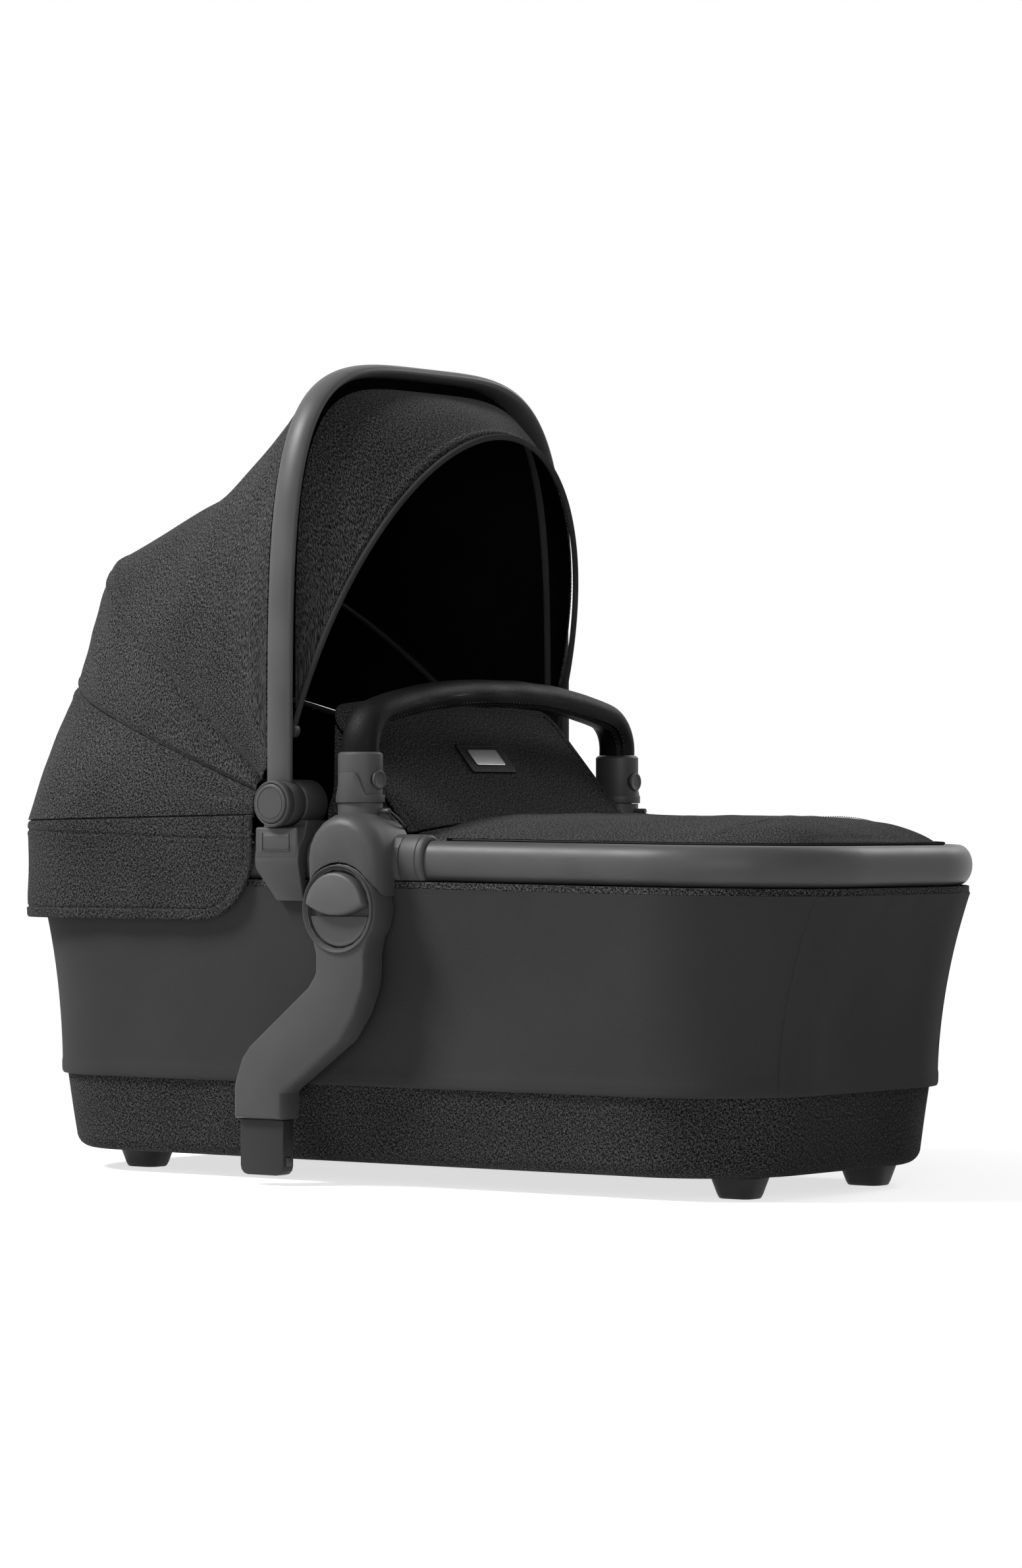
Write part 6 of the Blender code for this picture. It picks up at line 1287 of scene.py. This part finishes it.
def side_box(side, xs, ys, zs):
    """Plain block on one side of the tub, used as a tool that cuts or adds."""
    ys = sorted(side * y for y in ys)
    corners = [(x, y, z) for z in zs for x, y in
               ((xs[0], ys[0]), (xs[1], ys[0]), (xs[1], ys[1]), (xs[0], ys[1]))]
    faces = [(0, 3, 2, 1), (4, 5, 6, 7), (0, 1, 5, 4), (1, 2, 6, 5), (2, 3, 7, 6), (3, 0, 4, 7)]
    return new_object("block", mesh_from("block", corners, faces))


def tapered_lip(points):
    """Draws the lower lip of a bracket in towards its foot-end corner."""
    corner = HINGE_X + LIP_CORNER
    share = ramp(LIP_START_Z - points[:, 2], LIP_TALL)
    points[:, 0] = corner + (points[:, 0] - corner) * (1.0 - LIP_TAPER * share)
    return points


def build_hinges(looks):
    """Hinge housings, bow feet with a rim groove, hinge buttons and the brackets below them."""
    floor = FOOT_FACE_Y - 0.008
    face = FOOT_FACE_Y + 0.0015
    inner, outer, radius = HOUSING_INNER_Y, HOUSING_OUTER_Y, HOUSING_RADIUS
    housing = ((inner, HINGE_BORE), (inner, 0.0193), (0.1684, 0.0202), (0.1695, radius), (0.1957, radius),
               (0.1968, 0.0202), (outer, 0.0193), (outer, HINGE_BORE))
    radius = BOW_FOOT_RADIUS
    foot = ((FOOT_INNER_Y, HINGE_BORE), (FOOT_INNER_Y, 0.0185), (0.1979, 0.0194), (0.199, radius),
            (0.2125, radius), (0.2131, 0.0195), (0.2137, 0.0195), (0.2143, radius), (0.2203, radius),
            (0.2214, 0.0196), (FOOT_FACE_Y, 0.0188), (0.2218, 0.0182), (0.2217, 0.0176), (0.2212, 0.0173),
            (floor, 0.0173), (floor, HINGE_BORE))
    button = ((face - 0.006, 0.002), (face - 0.006, BUTTON_RADIUS), (face - 0.0013, BUTTON_RADIUS),
              (face - 0.0006, 0.0167), (face - 0.0002, 0.0160), (face, 0.0150), (face, 0.0141),
              (face - 0.0005, 0.0139), (face - 0.0005, 0.0134), (face - 0.0001, 0.0132),
              (face - 0.0001, 0.0005))
    seat_profile = ((0.19, HOUSING_RADIUS + 0.0004), (0.24, HOUSING_RADIUS + 0.0004))
    centre = (HINGE_X, 0, HINGE_Z)
    for side_name, side in SIDES:
        axis = (0, side, 0)
        for name, profile, body, node, bored in (("housing", housing, "root", "hinge_housing", True),
                                                 ("bow_foot_cap", foot, "front_bow", "bow_foot", True),
                                                 ("hinge_cap", button, f"hinge_button_{side_name}",
                                                  "hinge_button", False)):
            piece = turned(f"{name}_{side_name}", centre, axis, profile, looks["plastic"], bored)
            placed(piece, body, "charcoal_plastic", f"{node}_{side_name}")
        dressed(f"hinge_pin_{side_name}", looks["steel"])
        bracket = remade(f"bracket_{side_name}", f"hood_bracket_{side_name}", looks["plastic"], 0.0009,
                         "root", "charcoal_plastic", reshape=tapered_lip)
        low_x, high_x = HINGE_X - BRACKET_BLOCK_HALF, HINGE_X + BRACKET_BLOCK_HALF
        block = side_box(side, (low_x, high_x), (RAIL_Y + 0.004, BRACKET_FACE_Y),
                         (BRACKET_BLOCK_LOW_Z, BRACKET_BLOCK_HIGH_Z))
        softened(block, 0.0022)
        seat = turned("seat", centre, axis, seat_profile, looks["plastic"], False, 96)
        combined(bracket, [("UNION", block), ("DIFFERENCE", seat)], 32.0)
        near, far = HINGE_X - BRACKET_LINE_HALF, HINGE_X + BRACKET_LINE_HALF
        corners = ((near, BRACKET_LINE_HIGH_Z), (near, BRACKET_LINE_LOW_Z),
                   (far, BRACKET_LINE_LOW_Z), (far, BRACKET_LINE_HIGH_Z))
        path = resampled([(x, side * BRACKET_FACE_Y, z) for x, z in corners], 120)
        seam = tube(f"bracket_seam_{side_name}", path, 0.00055, looks["dark_plastic"])
        placed(seam, "root", "charcoal_plastic")


def build_hard_pieces(looks):
    """Moulded pieces of both sides that keep the shape of their CAD nodes."""
    for side_name, _ in SIDES:
        for node, name, look, width, body, slot, angle in HARD_PIECES:
            remade(f"{node}_{side_name}", f"{name}_{side_name}", looks[look], width,
                   body.format(side=side_name), slot, angle)


def build_loops(looks):
    """Elastic loops over the pegs of the hubs."""
    turns = np.linspace(0.0, ROUND, 48, endpoint=False)[:, None]
    for side_name, side in SIDES:
        peg = np.array((0.0262, side * RAIL_Y, 0.3262))
        anchor = np.array((0.0355, side * 0.1775, 0.3105))
        path = (peg + anchor) / 2 + np.cos(turns) * (peg - anchor) / 2 + np.sin(turns) * 0.0030 * ALONG
        loop = tube(f"elastic_loop_{side_name}", path, 0.0010, looks["thread_dark"], closed=True)
        placed(loop, "root", "melange_twill")


def build_bows(looks):
    """Front bow with the visor's rivets, and the two inner wires with their eyelets."""
    path = upright(arch_line(BOW_HALF, BOW_RISE, BOW_POWER, BOW_START, 241), BOW_X, HINGE_Z)
    piece = sweep("hood_bow", path, ALONG, oval(BOW_THICK / 2, BOW_DEEP / 2, 48), looks["metal"])
    seat = ((-0.26, 0.0203), (0.26, 0.0203))
    rivet = ((0.1867, 0.0034), (0.1869, 0.0042), (0.1882, 0.0042), (0.1882, 0.0020), (0.2035, 0.0020))
    tools = [("DIFFERENCE", turned("cut", (HINGE_X, 0, HINGE_Z), (0, 1, 0), seat, looks["metal"], False, 96))]
    for _, side in SIDES:
        made = turned("rivet", (HINGE_X, 0, VISOR_Z), (0, side, 0), rivet, looks["metal"], False, 32)
        tools.append(("UNION", made))
    combined(piece, tools)
    placed(piece, "front_bow", "powder_coated_metal", "front_bow")
    for name, node in (("middle_wire", "mid_bow"), ("rear_wire", "rear_bow")):
        remade(node, name, looks["dark_plastic"], 0.0003, node, "steel", 60.0)


def visor_rows(shares):
    """Rows of the visor from its root in the bow to its free edge."""
    arch = arch_line(VISOR_ROOT_HALF, VISOR_ROOT_RISE - (VISOR_Z - HINGE_Z), BOW_POWER, VISOR_START, 161)
    root = upright(arch, HINGE_X, VISOR_Z)
    edge = leaning(arch_line(VISOR_HALF - 0.005, VISOR_LONG, 2.0, VISOR_START, 161), -VISOR_TILT, VISOR_Z)
    edge = edge + unit(root - edge) * VISOR_REACH
    out = unit(np.stack((np.zeros(len(root)), root[:, 1], root[:, 2] - VISOR_Z), axis=1))
    belly = out * 0.006 * ramp(root[:, 2] - VISOR_Z, VISOR_LONG)[:, None]
    return np.array([root + (edge - root) * share + belly * math.sin(share * math.pi) for share in shares])


def build_visor(looks):
    """Visor: a taut fabric piece with a piped edge over its wire, sewn along the piping."""
    shares = spans(0.0, (0.9, 26), (1.0, 10))
    grid = visor_rows(shares)
    normals = grid_normals(grid, VISOR_CENTRE)
    down = runs(grid)
    up = down[-1] - down
    across = np.linspace(0.0, 1.0, grid.shape[1])[None]
    side = np.minimum(across, 1.0 - across)
    slack = 0.0010 * ripple(across, down, 0.13, 31)
    slack = slack + 0.0016 * np.sin(down * 120.0 + 1.0) * np.exp(-side / 0.08)
    welt = (0.0009 * bell(up, 0.0055, 0.0030) - 0.0009 * bell(up, 0.0016, 0.0012)) * (down[-1] > 0.02)
    lift = np.clip(slack * ramp(np.minimum(down, up), 0.02) + welt, -0.0016, 0.0022)
    grid = grid + normals * lift[..., None]
    piece = sheet("visor_cloth", grid, 0.0016, VISOR_CENTRE, looks["melange"], looks["lining"])
    bent(piece, "front_bow", "visor", shares, "melange_twill", "visor_fabric")
    declared(grid)
    path = leaning(arch_line(VISOR_HALF, VISOR_LONG, 2.0, VISOR_PIPING_START, 201), -VISOR_TILT, VISOR_Z)
    pieces = [tube("visor_piping", path, 0.0027, looks["piping"], 12)]
    eyelet = ((0.1885, 0.0023), (0.1885, 0.0056), (0.1889, 0.0060), (0.1941, 0.0060), (0.1945, 0.0056),
              (0.1945, 0.0023))
    for _, side_sign in SIDES:
        centre = (HINGE_X, 0, VISOR_Z)
        pieces.append(turned("eyelet", centre, (0, side_sign, 0), eyelet, looks["plastic"], sides=32))
    placed(joined("visor_piping", pieces), "visor", "melange_twill", "visor_wire")
    row = int(np.argmin(np.abs(up[:, 80] - 0.0085)))
    line = stitches("visor_stitches", grid[row, 8:-8], normals[row, 8:-8], looks["thread"], HOOD_STITCH)
    placed(line, "visor", "melange_twill")


def handle_line():
    """Centre line of the handle bar from the right sleeve to the left one."""
    bend = arc((RAIL_Y - HANDLE_BEND, HANDLE_BEND_Z), HANDLE_BEND, 0.0, 75.0, 24)
    end_y, end_z = bend[-1]
    shares = np.linspace(1.0, 0.0, 40)[1:]
    crown = np.stack((end_y * shares, HANDLE_TOP_Z - (HANDLE_TOP_Z - end_z) * shares ** 2.4), axis=1)
    half = np.concatenate(([[RAIL_Y, HANDLE_FOOT_Z]], bend, crown))
    whole = np.concatenate((half * (-1, 1), half[-2::-1]))
    return resampled(upright(whole, NECK_X, 0.0), 241)


def build_handle(looks):
    """Leatherette grip with a sewn seam along its inner side, and the release buttons."""
    path = handle_line()
    out = unit(np.cross(unit(np.gradient(path, axis=0)), ALONG))
    out = out * np.sign(out[len(out) // 2] @ UP)
    turns = np.linspace(0.0, ROUND, 72, endpoint=False)
    seam = math.radians(GRIP_SEAM_TURN)
    away = np.abs((turns - seam + math.pi) % ROUND - math.pi) * GRIP_MEAN
    lift = sewn_seam(away, GRIP_SEAM)
    wide = (np.cos(turns) * (GRIP_WIDE + lift))[None, :, None]
    deep = (np.sin(turns) * (GRIP_DEEP + lift))[None, :, None]
    spokes = wide * ALONG + deep * out[:, None]
    measured = np.linspace(0.0, 0.55, len(path))[:, None]
    soft = 0.00035 * ripple(measured, turns[None] * 0.015, 0.05, 41) / 0.015
    rings = path[:, None] + spokes * (1.0 + soft[..., None])
    rings[0, :, 2] = HANDLE_FOOT_Z
    rings[-1, :, 2] = HANDLE_FOOT_Z
    placed(loft("grip", rings, looks["leather"]), "handle", "leather", "handle_bar")
    rows = []
    for turn in (seam - 3.2 / 15.5, seam + 3.2 / 15.5):
        spoke = math.cos(turn) * (GRIP_WIDE + 0.0004) * ALONG + math.sin(turn) * (GRIP_DEEP + 0.0004) * out
        line = (path + spoke)[4:-4]
        rows.append(stitches("seam", line, unit(spoke)[4:-4], looks["thread_dark"], GRIP_STITCH))
    placed(joined("grip_stitches", rows), "handle", "leather")
    profile = ((-0.0075, 0.004), (-0.0020, 0.004), (-0.0020, 0.0085), (-0.0008, 0.0085), (-0.0003, 0.0082),
               (0.0, 0.0076), (0.0, 0.0066), (-0.0004, 0.0060), (-0.0006, 0.0030), (-0.0006, 0.0004))
    for side_name, side in SIDES:
        centre = (NECK_X + NECK_LONG / 2 + 0.0009, side * RAIL_Y, HANDLE_BUTTON_Z)
        piece = turned(f"button_{side_name}", centre, (1, 0, 0), profile, looks["plastic"], False, 48)
        placed(piece, f"handle_button_{side_name}", "charcoal_plastic", f"handle_button_{side_name}")


def build_adaptors(looks):
    """Thin rims and recessed discs of the adaptors."""
    start = ARM_FACE_Y + GAP
    end = ARM_FACE_Y + 0.0025
    floor = ARM_FACE_Y - 0.006
    rim = ((start, 0.0350), (start, 0.0377), (start + 0.0003, KNOB_RADIUS), (end - 0.0012, KNOB_RADIUS),
           (end - 0.0004, 0.0378), (end, 0.0374), (end, 0.0369), (end - 0.0006, 0.0363),
           (end - 0.0018, 0.0354))
    disc = ((floor + 0.0002, 0.0322), (floor + 0.0038, 0.0322), (floor + 0.0044, 0.0319),
            (floor + 0.0046, 0.0312), (floor + 0.0042, 0.0302), (floor + 0.0040, 0.0280),
            (floor + 0.0040, 0.0005))
    centre = (HUB_X, 0, HUB_LOW_Z)
    for side_name, side in SIDES:
        carrier = f"adaptor_{side_name}"
        piece = turned(f"rim_{side_name}", centre, (0, side, 0), rim, looks["plastic"], sides=96)
        placed(piece, carrier, "powder_coated_metal", f"knob_rim_{side_name}")
        piece = turned(f"recess_disc_{side_name}", centre, (0, side, 0), disc, looks["plastic"], False, 96)
        room = side_box(side, (HUB_X - 0.05, HUB_X + 0.05), (0.2, 0.26), (0.2345, 0.30))
        combined(piece, [("DIFFERENCE", room)])
        placed(piece, carrier, "charcoal_plastic")


def apron_point(x, wide, share):
    """Point of the apron's outer face at a station and a share of its half-width."""
    inside = np.minimum(wide * (1.0 - np.abs(share)) / APRON_HALF, (APRON_FOOT_X - x) / APRON_FOOT_RUN)
    rise = (APRON_CROWN - APRON_EDGE_Z) * (1.0 - (1.0 - ramp(inside)) ** 3.0)
    height = APRON_EDGE_Z - RAIL_DROP * x / RAIL_FOOT_X + rise
    return np.stack(np.broadcast_arrays(x, wide * share, height), axis=-1)


def build_apron(looks):
    """Domed apron with a sewn panel curve, whose front edge comes down to the root of the wind flap."""
    stations = [(x, APRON_HALF) for x in np.linspace(APRON_X, APRON_BEND_X, 52)]
    for turn in np.radians(np.linspace(0.0, 90.0, 27)[1:]):
        wide = APRON_HALF - APRON_RADIUS * (1.0 - math.cos(turn))
        stations.append((APRON_BEND_X + APRON_RADIUS * math.sin(turn), wide))
    even = np.linspace(-1.0, 1.0, 121)
    shares = 0.5 * even + 0.5 * np.sin(even * math.pi / 2)
    grid = np.array([apron_point(x, wide, shares) for x, wide in stations])
    drop = np.maximum(grid[:1, :, 2] - flap_root(grid[:1, :, 1]) + 0.0015, 0.0)
    run = ramp(grid[..., 0] - APRON_X, 0.026)
    grid[..., 2] -= drop * (1.0 - run * run * (3.0 - 2.0 * run))
    normals = grid_normals(grid, APRON_CENTRE)
    x, y = grid[..., 0], grid[..., 1]
    edge_away = np.minimum(APRON_HALF - np.abs(y), APRON_FOOT_X - x)
    seam_away = np.abs(x - (SEAM_MIDDLE_X - SEAM_BEND * (y / APRON_HALF) ** 2))
    room = ramp(edge_away, 0.02) * ramp(x - APRON_X, 0.02)
    slack = 0.0013 * ripple(x, y, 0.14, 51) + 0.0005 * ripple(x, y, 0.045, 52)
    edge = 0.0007 * bell(edge_away, 0.006, 0.003) - 0.0008 * bell(edge_away, 0.0095, 0.0012)
    lift = (slack + sewn_seam(seam_away, APRON_SEAM)) * room + edge
    grid = grid + normals * np.clip(lift, -0.0018, 0.0022)[..., None]
    piece = sheet("apron_cloth", grid, APRON_THICK, APRON_CENTRE, looks["melange"], looks["lining"])
    placed(piece, "root", "melange_twill", "apron")
    declared(grid)
    places = np.linspace(-0.93, 0.93, 180)
    bent_x = SEAM_MIDDLE_X - SEAM_BEND * places ** 2
    round_half = np.sqrt(np.maximum(APRON_RADIUS ** 2 - (bent_x - APRON_BEND_X) ** 2, 0.0))
    wide = np.where(bent_x > APRON_BEND_X, APRON_HALF - APRON_RADIUS + round_half, APRON_HALF)
    shares = places * APRON_HALF / wide
    line = apron_point(bent_x + 0.0046, wide, shares)[np.abs(shares) < 0.93] + 0.0009 * UP
    out = np.broadcast_to(UP, line.shape)
    placed(stitches("apron_stitches", line, out, looks["thread_dark"], APRON_STITCH), "root", "melange_twill")


def build_band(looks):
    """Band between the apron and the rail, with a closed zip in its middle and a piping above and below."""
    half, radius, foot = APRON_HALF + BAND_THICK, APRON_RADIUS + BAND_THICK, APRON_FOOT_X + BAND_THICK
    plan = np.concatenate(([[BAND_START_X, -half]], arc((foot - radius, radius - half), radius, -90, 0, 40),
                           arc((foot - radius, half - radius), radius, 0, 90, 40), [[BAND_START_X, half]]))
    plan = resampled(plan, 281)
    low = rail_z(plan[:, 0]) + RAIL_TALL / 4
    profile = ((0.0, -0.0006), (0.0005, 0.0), (0.0012, 0.0002), (0.0019, 0.0), (0.0024, -0.0007),
               (0.0034, -0.0008), (0.0042, -0.0009), (0.0047, -0.0014), (0.0055, -0.0015), (0.0063, -0.0014),
               (0.0068, -0.0009), (0.0076, -0.0008), (0.0086, -0.0007), (0.0091, 0.0), (0.0098, 0.0002),
               (0.0105, 0.0), (0.0110, -0.0006))
    grid = np.array([levelled(plan, low + rise) for rise, _ in profile])
    normals = grid_normals(grid, BAND_CENTRE)
    depth = np.array([depth for _, depth in profile]) - 0.0002
    grid = grid + normals * depth[:, None, None]
    piece = sheet("edge_band", grid, 0.0012, BAND_CENTRE, looks["lining"])
    placed(piece, "root", "lining_fabric", "apron_band")
    middle = len(profile) // 2
    teeth = zip_teeth("apron_zip", grid[middle] + normals[middle] * 0.0001, normals[middle], looks["zip"])
    placed(teeth, "root", "dark_plastic")
    pipings = []
    for row in (2, len(profile) - 3):
        path = grid[row, 2:-2] - normals[row, 2:-2] * 0.0006
        pipings.append(tube("band_piping", path, 0.0008, looks["piping"]))
    placed(joined("band_piping", pipings), "root", "melange_twill")


def zip_teeth(name, path, normals, material):
    """Coil of a closed zip along a path: small rounded loops side by side."""
    lengths = runs(path)
    wanted = np.linspace(0.0, lengths[-1], int(lengths[-1] / ZIP_PITCH) * 2)
    line = read_at(path, lengths, wanted)
    ahead = unit(np.gradient(line, axis=0))
    facing = read_at(normals, lengths, wanted)
    facing = unit(facing - ahead * np.sum(facing * ahead, axis=1, keepdims=True))
    aside = np.cross(ahead, facing)
    swell = np.where(np.arange(len(line)) % 2 == 0, 1.0, 0.55)[:, None, None]
    ring = oval(0.0013, 0.0006, 8)
    rings = line[:, None] + (aside[:, None] * ring[None, :, :1] + facing[:, None] * ring[None, :, 1:]) * swell
    return loft(name, rings, material)


def flap_root(across):
    """Height at which the wind flap starts, at distances from the middle."""
    return FLAP_MID_Z + (FLAP_SIDE_Z - FLAP_MID_Z) * ramp(np.abs(across), FLAP_HALF) ** 2


def flap_grid(ups, shares):
    """Points of the wind flap's outer face at distances up its slope and shares across it."""
    rows = []
    for up in ups:
        half = FLAP_HALF + (FLAP_TOP_HALF - FLAP_HALF) * up / FLAP_LONG
        beyond = max(up - (FLAP_LONG - FLAP_CORNER), 0.0)
        half -= FLAP_CORNER - math.sqrt(max(FLAP_CORNER ** 2 - beyond ** 2, 0.0))
        plain = np.column_stack((np.full(len(shares), FLAP_X), half * shares, flap_root(half * shares)))
        rows.append(plain + up * LABEL_RISE + FLAP_THICK / 2 * LABEL_AHEAD)
    return np.array(rows)


def build_flap(looks):
    """Wind flap with a turned hem all round."""
    ups = spans(0.0, (FLAP_LONG - FLAP_HEM, 34), (FLAP_LONG, 13))
    grid = flap_grid(ups, spans(-1.0, (-0.93, 11), (0.93, 71), (1.0, 11)))
    normals = grid_normals(grid, FLAP_CENTRE)
    up = ups[:, None]
    y = grid[..., 1]
    edge_away = np.minimum(np.abs(grid[:, -1:, 1]) - np.abs(y), FLAP_LONG - up)
    room = ramp(edge_away, 0.015) * ramp(up, 0.02)
    beside_label = ramp(ramp(np.abs(y) - 0.034, 0.03) + ramp(np.abs(up - PATCH_UP) - 0.018, 0.03))
    slack = (0.0012 * ripple(y, up, 0.13, 61) - 0.0008) * room * beside_label
    hem = 0.0004 * bell(edge_away, 0.0045, 0.0030) - 0.0008 * bell(edge_away, 0.0090, 0.0009)
    hem = hem - 0.0006 * bell(edge_away, 0.0, 0.0007)
    lift = np.clip(slack + hem * ramp(up, 0.006) - 0.0003, -0.002, 0.0003)
    grid = grid + normals * lift[..., None]
    piece = sheet("flap_cloth", grid, FLAP_THICK * 0.7, FLAP_CENTRE, looks["melange"], looks["lining"])
    placed(piece, "flap", "melange_twill", "wind_flap")
    declared(grid)
    hem_row = int(np.argmin(np.abs(FLAP_LONG - ups - 0.0085)))
    lines = [(hem_row, slice(9, -9)), (slice(2, hem_row), 8), (slice(2, hem_row), -9)]
    rows = [stitches("hem", grid[line], normals[line], looks["thread"], FLAP_STITCH) for line in lines]
    placed(joined("flap_stitches", rows), "flap", "melange_twill")


def build_gussets(looks):
    """Soft side wings of the wind flap, between the apron and the flap."""
    front_x = FLAP_X - FLAP_THICK
    high_z = WING_LOW_Z + (FLAP_LONG - FLAP_CORNER) * math.cos(FLAP_LEAN)
    high = np.array((front_x - (high_z - WING_LOW_Z) * math.tan(FLAP_LEAN), 0, high_z))
    back = np.array((WING_END_X, 0, WING_END_Z))
    steps = np.linspace(0.0, 1.0, WING_STEPS)
    belly = np.sin(steps * math.pi)
    for side_name, side in SIDES:
        rows = []
        for share in steps:
            foot = np.array((front_x + (WING_END_X - FLAP_X) * share, 0, WING_LOW_Z))
            points = foot + (high + (back - high) * share - foot) * steps[:, None]
            half = FLAP_HALF + (FLAP_TOP_HALF - FLAP_HALF) * steps + FLAP_THICK
            points[:, 1] = side * (half + 0.004 * belly * share - 0.0006)
            rows.append(points)
        grid = np.array(rows)
        wrinkle = 0.0011 * ripple(grid[..., 0], grid[..., 2], 0.05, 71) * belly * steps[:, None] ** 0.5
        grid[..., 1] += side * np.minimum(wrinkle, 0.0006)
        name = f"flap_gusset_{side_name}"
        piece = sheet(name, grid, WING_THICK, WING_CENTRE, looks["melange"], looks["lining"])
        bent(piece, "root", "flap", 1.0 - steps, "melange_twill", f"flap_wing_{side_name}")
        declared(grid)


def label_slab(name, wide, tall, start, thick, corner, material, dish):
    """Slab with rounded corners on the slope of the flap, edges softened."""
    edge = thick * 0.4
    rings = []
    for inset, out in ((0.0, 0.0), (0.0, thick - edge), (edge * 0.3, thick - edge * 0.3), (edge, thick),
                       (edge + dish, thick)):
        radius = max(corner - inset, 0.0003)
        a, b = wide / 2 - inset - radius, tall / 2 - inset - radius
        corners = (((-a, -b), 180), ((a, -b), 270), ((a, b), 0), ((-a, b), 90))
        outline = np.concatenate([arc(centre, radius, turn, turn + 90, 8) for centre, turn in corners])
        rings.append(on_label(outline, start + out))
    return loft(name, rings, material)


def on_label(points, out):
    """Points of the label's plane, placed on the slope of the flap at a distance from it."""
    return LABEL_FOOT + points[:, :1] * ACROSS + (points[:, 1:] + PATCH_UP) * LABEL_RISE + LABEL_AHEAD * out


def build_label(looks):
    """Leather patch sewn on the flap, with a bare metal plate on it."""
    start = FLAP_THICK / 2 + GAP
    patch = label_slab("patch", 0.065, 0.033, start, PATCH_THICK, 0.0033, looks["leather"], 0.0012)
    placed(patch, "flap", "leather", "label_patch")
    outline = ((-0.030, -0.014), (0.030, -0.014), (0.030, 0.014), (-0.030, 0.014), (-0.030, -0.014))
    path = on_label(resampled(outline, 240), start + PATCH_THICK)
    out = np.broadcast_to(LABEL_AHEAD, path.shape)
    placed(stitches("patch_stitches", path, out, looks["thread"], PATCH_STITCH), "flap", "leather")
    plate = label_slab("plate", 0.042, 0.018, start + 0.0018, 0.0008, 0.0018, looks["plate"], 0.0004)
    placed(plate, "flap", "steel", "label_plate")


def build_looks():
    """All materials of the piece."""
    return {
        "melange": melange_material("melange_twill", 0.003, 0.106),
        # Darker copy of the same melange: painted shade on the base cover and on the skirt, which turn away
        # from the light
        "shaded_melange": melange_material("shaded_melange", 0.003, 0.082),
        "softshell": softshell_material("softshell", 0.037),
        "lining": plain_cloth_material("black_lining", 0.004, True),
        "piping": plain_cloth_material("piping", 0.050, False),
        "metal": coated_metal_material("powder_coat", 0.076),
        "plastic": moulded_material("charcoal_plastic", 0.060, 0.48),
        "paddle": moulded_material("paddle_plastic", 0.088, 0.44),
        "dark_plastic": moulded_material("dark_plastic", 0.019, 0.5),
        "zip": moulded_material("zip_coil", 0.020, 0.4),
        "leather": leather_material("leatherette", 0.004),
        "steel": bare_metal_material("wire_steel", 0.45, 0.34),
        "plate": bare_metal_material("plate_metal", 0.30, 0.34),
        "thread": thread_material("thread", 0.07),
        "thread_dark": thread_material("thread_dark", 0.015),
        "quilt": quilt_material("mattress_cover", 0.60),
    }


def build_all():
    """Every piece of the carrycot and the studio round it."""
    looks = build_looks()
    for build in (build_base, build_side_cover, build_rim_binding, build_lining, build_mattress, build_rails,
                  build_hinges, build_hard_pieces, build_loops, build_bows, build_hood, build_skirt,
                  build_visor, build_handle, build_adaptors, build_apron, build_band, build_flap,
                  build_gussets, build_label):
        build(looks)
    build_studio()


build_all()
bpy.context.view_layer.update()
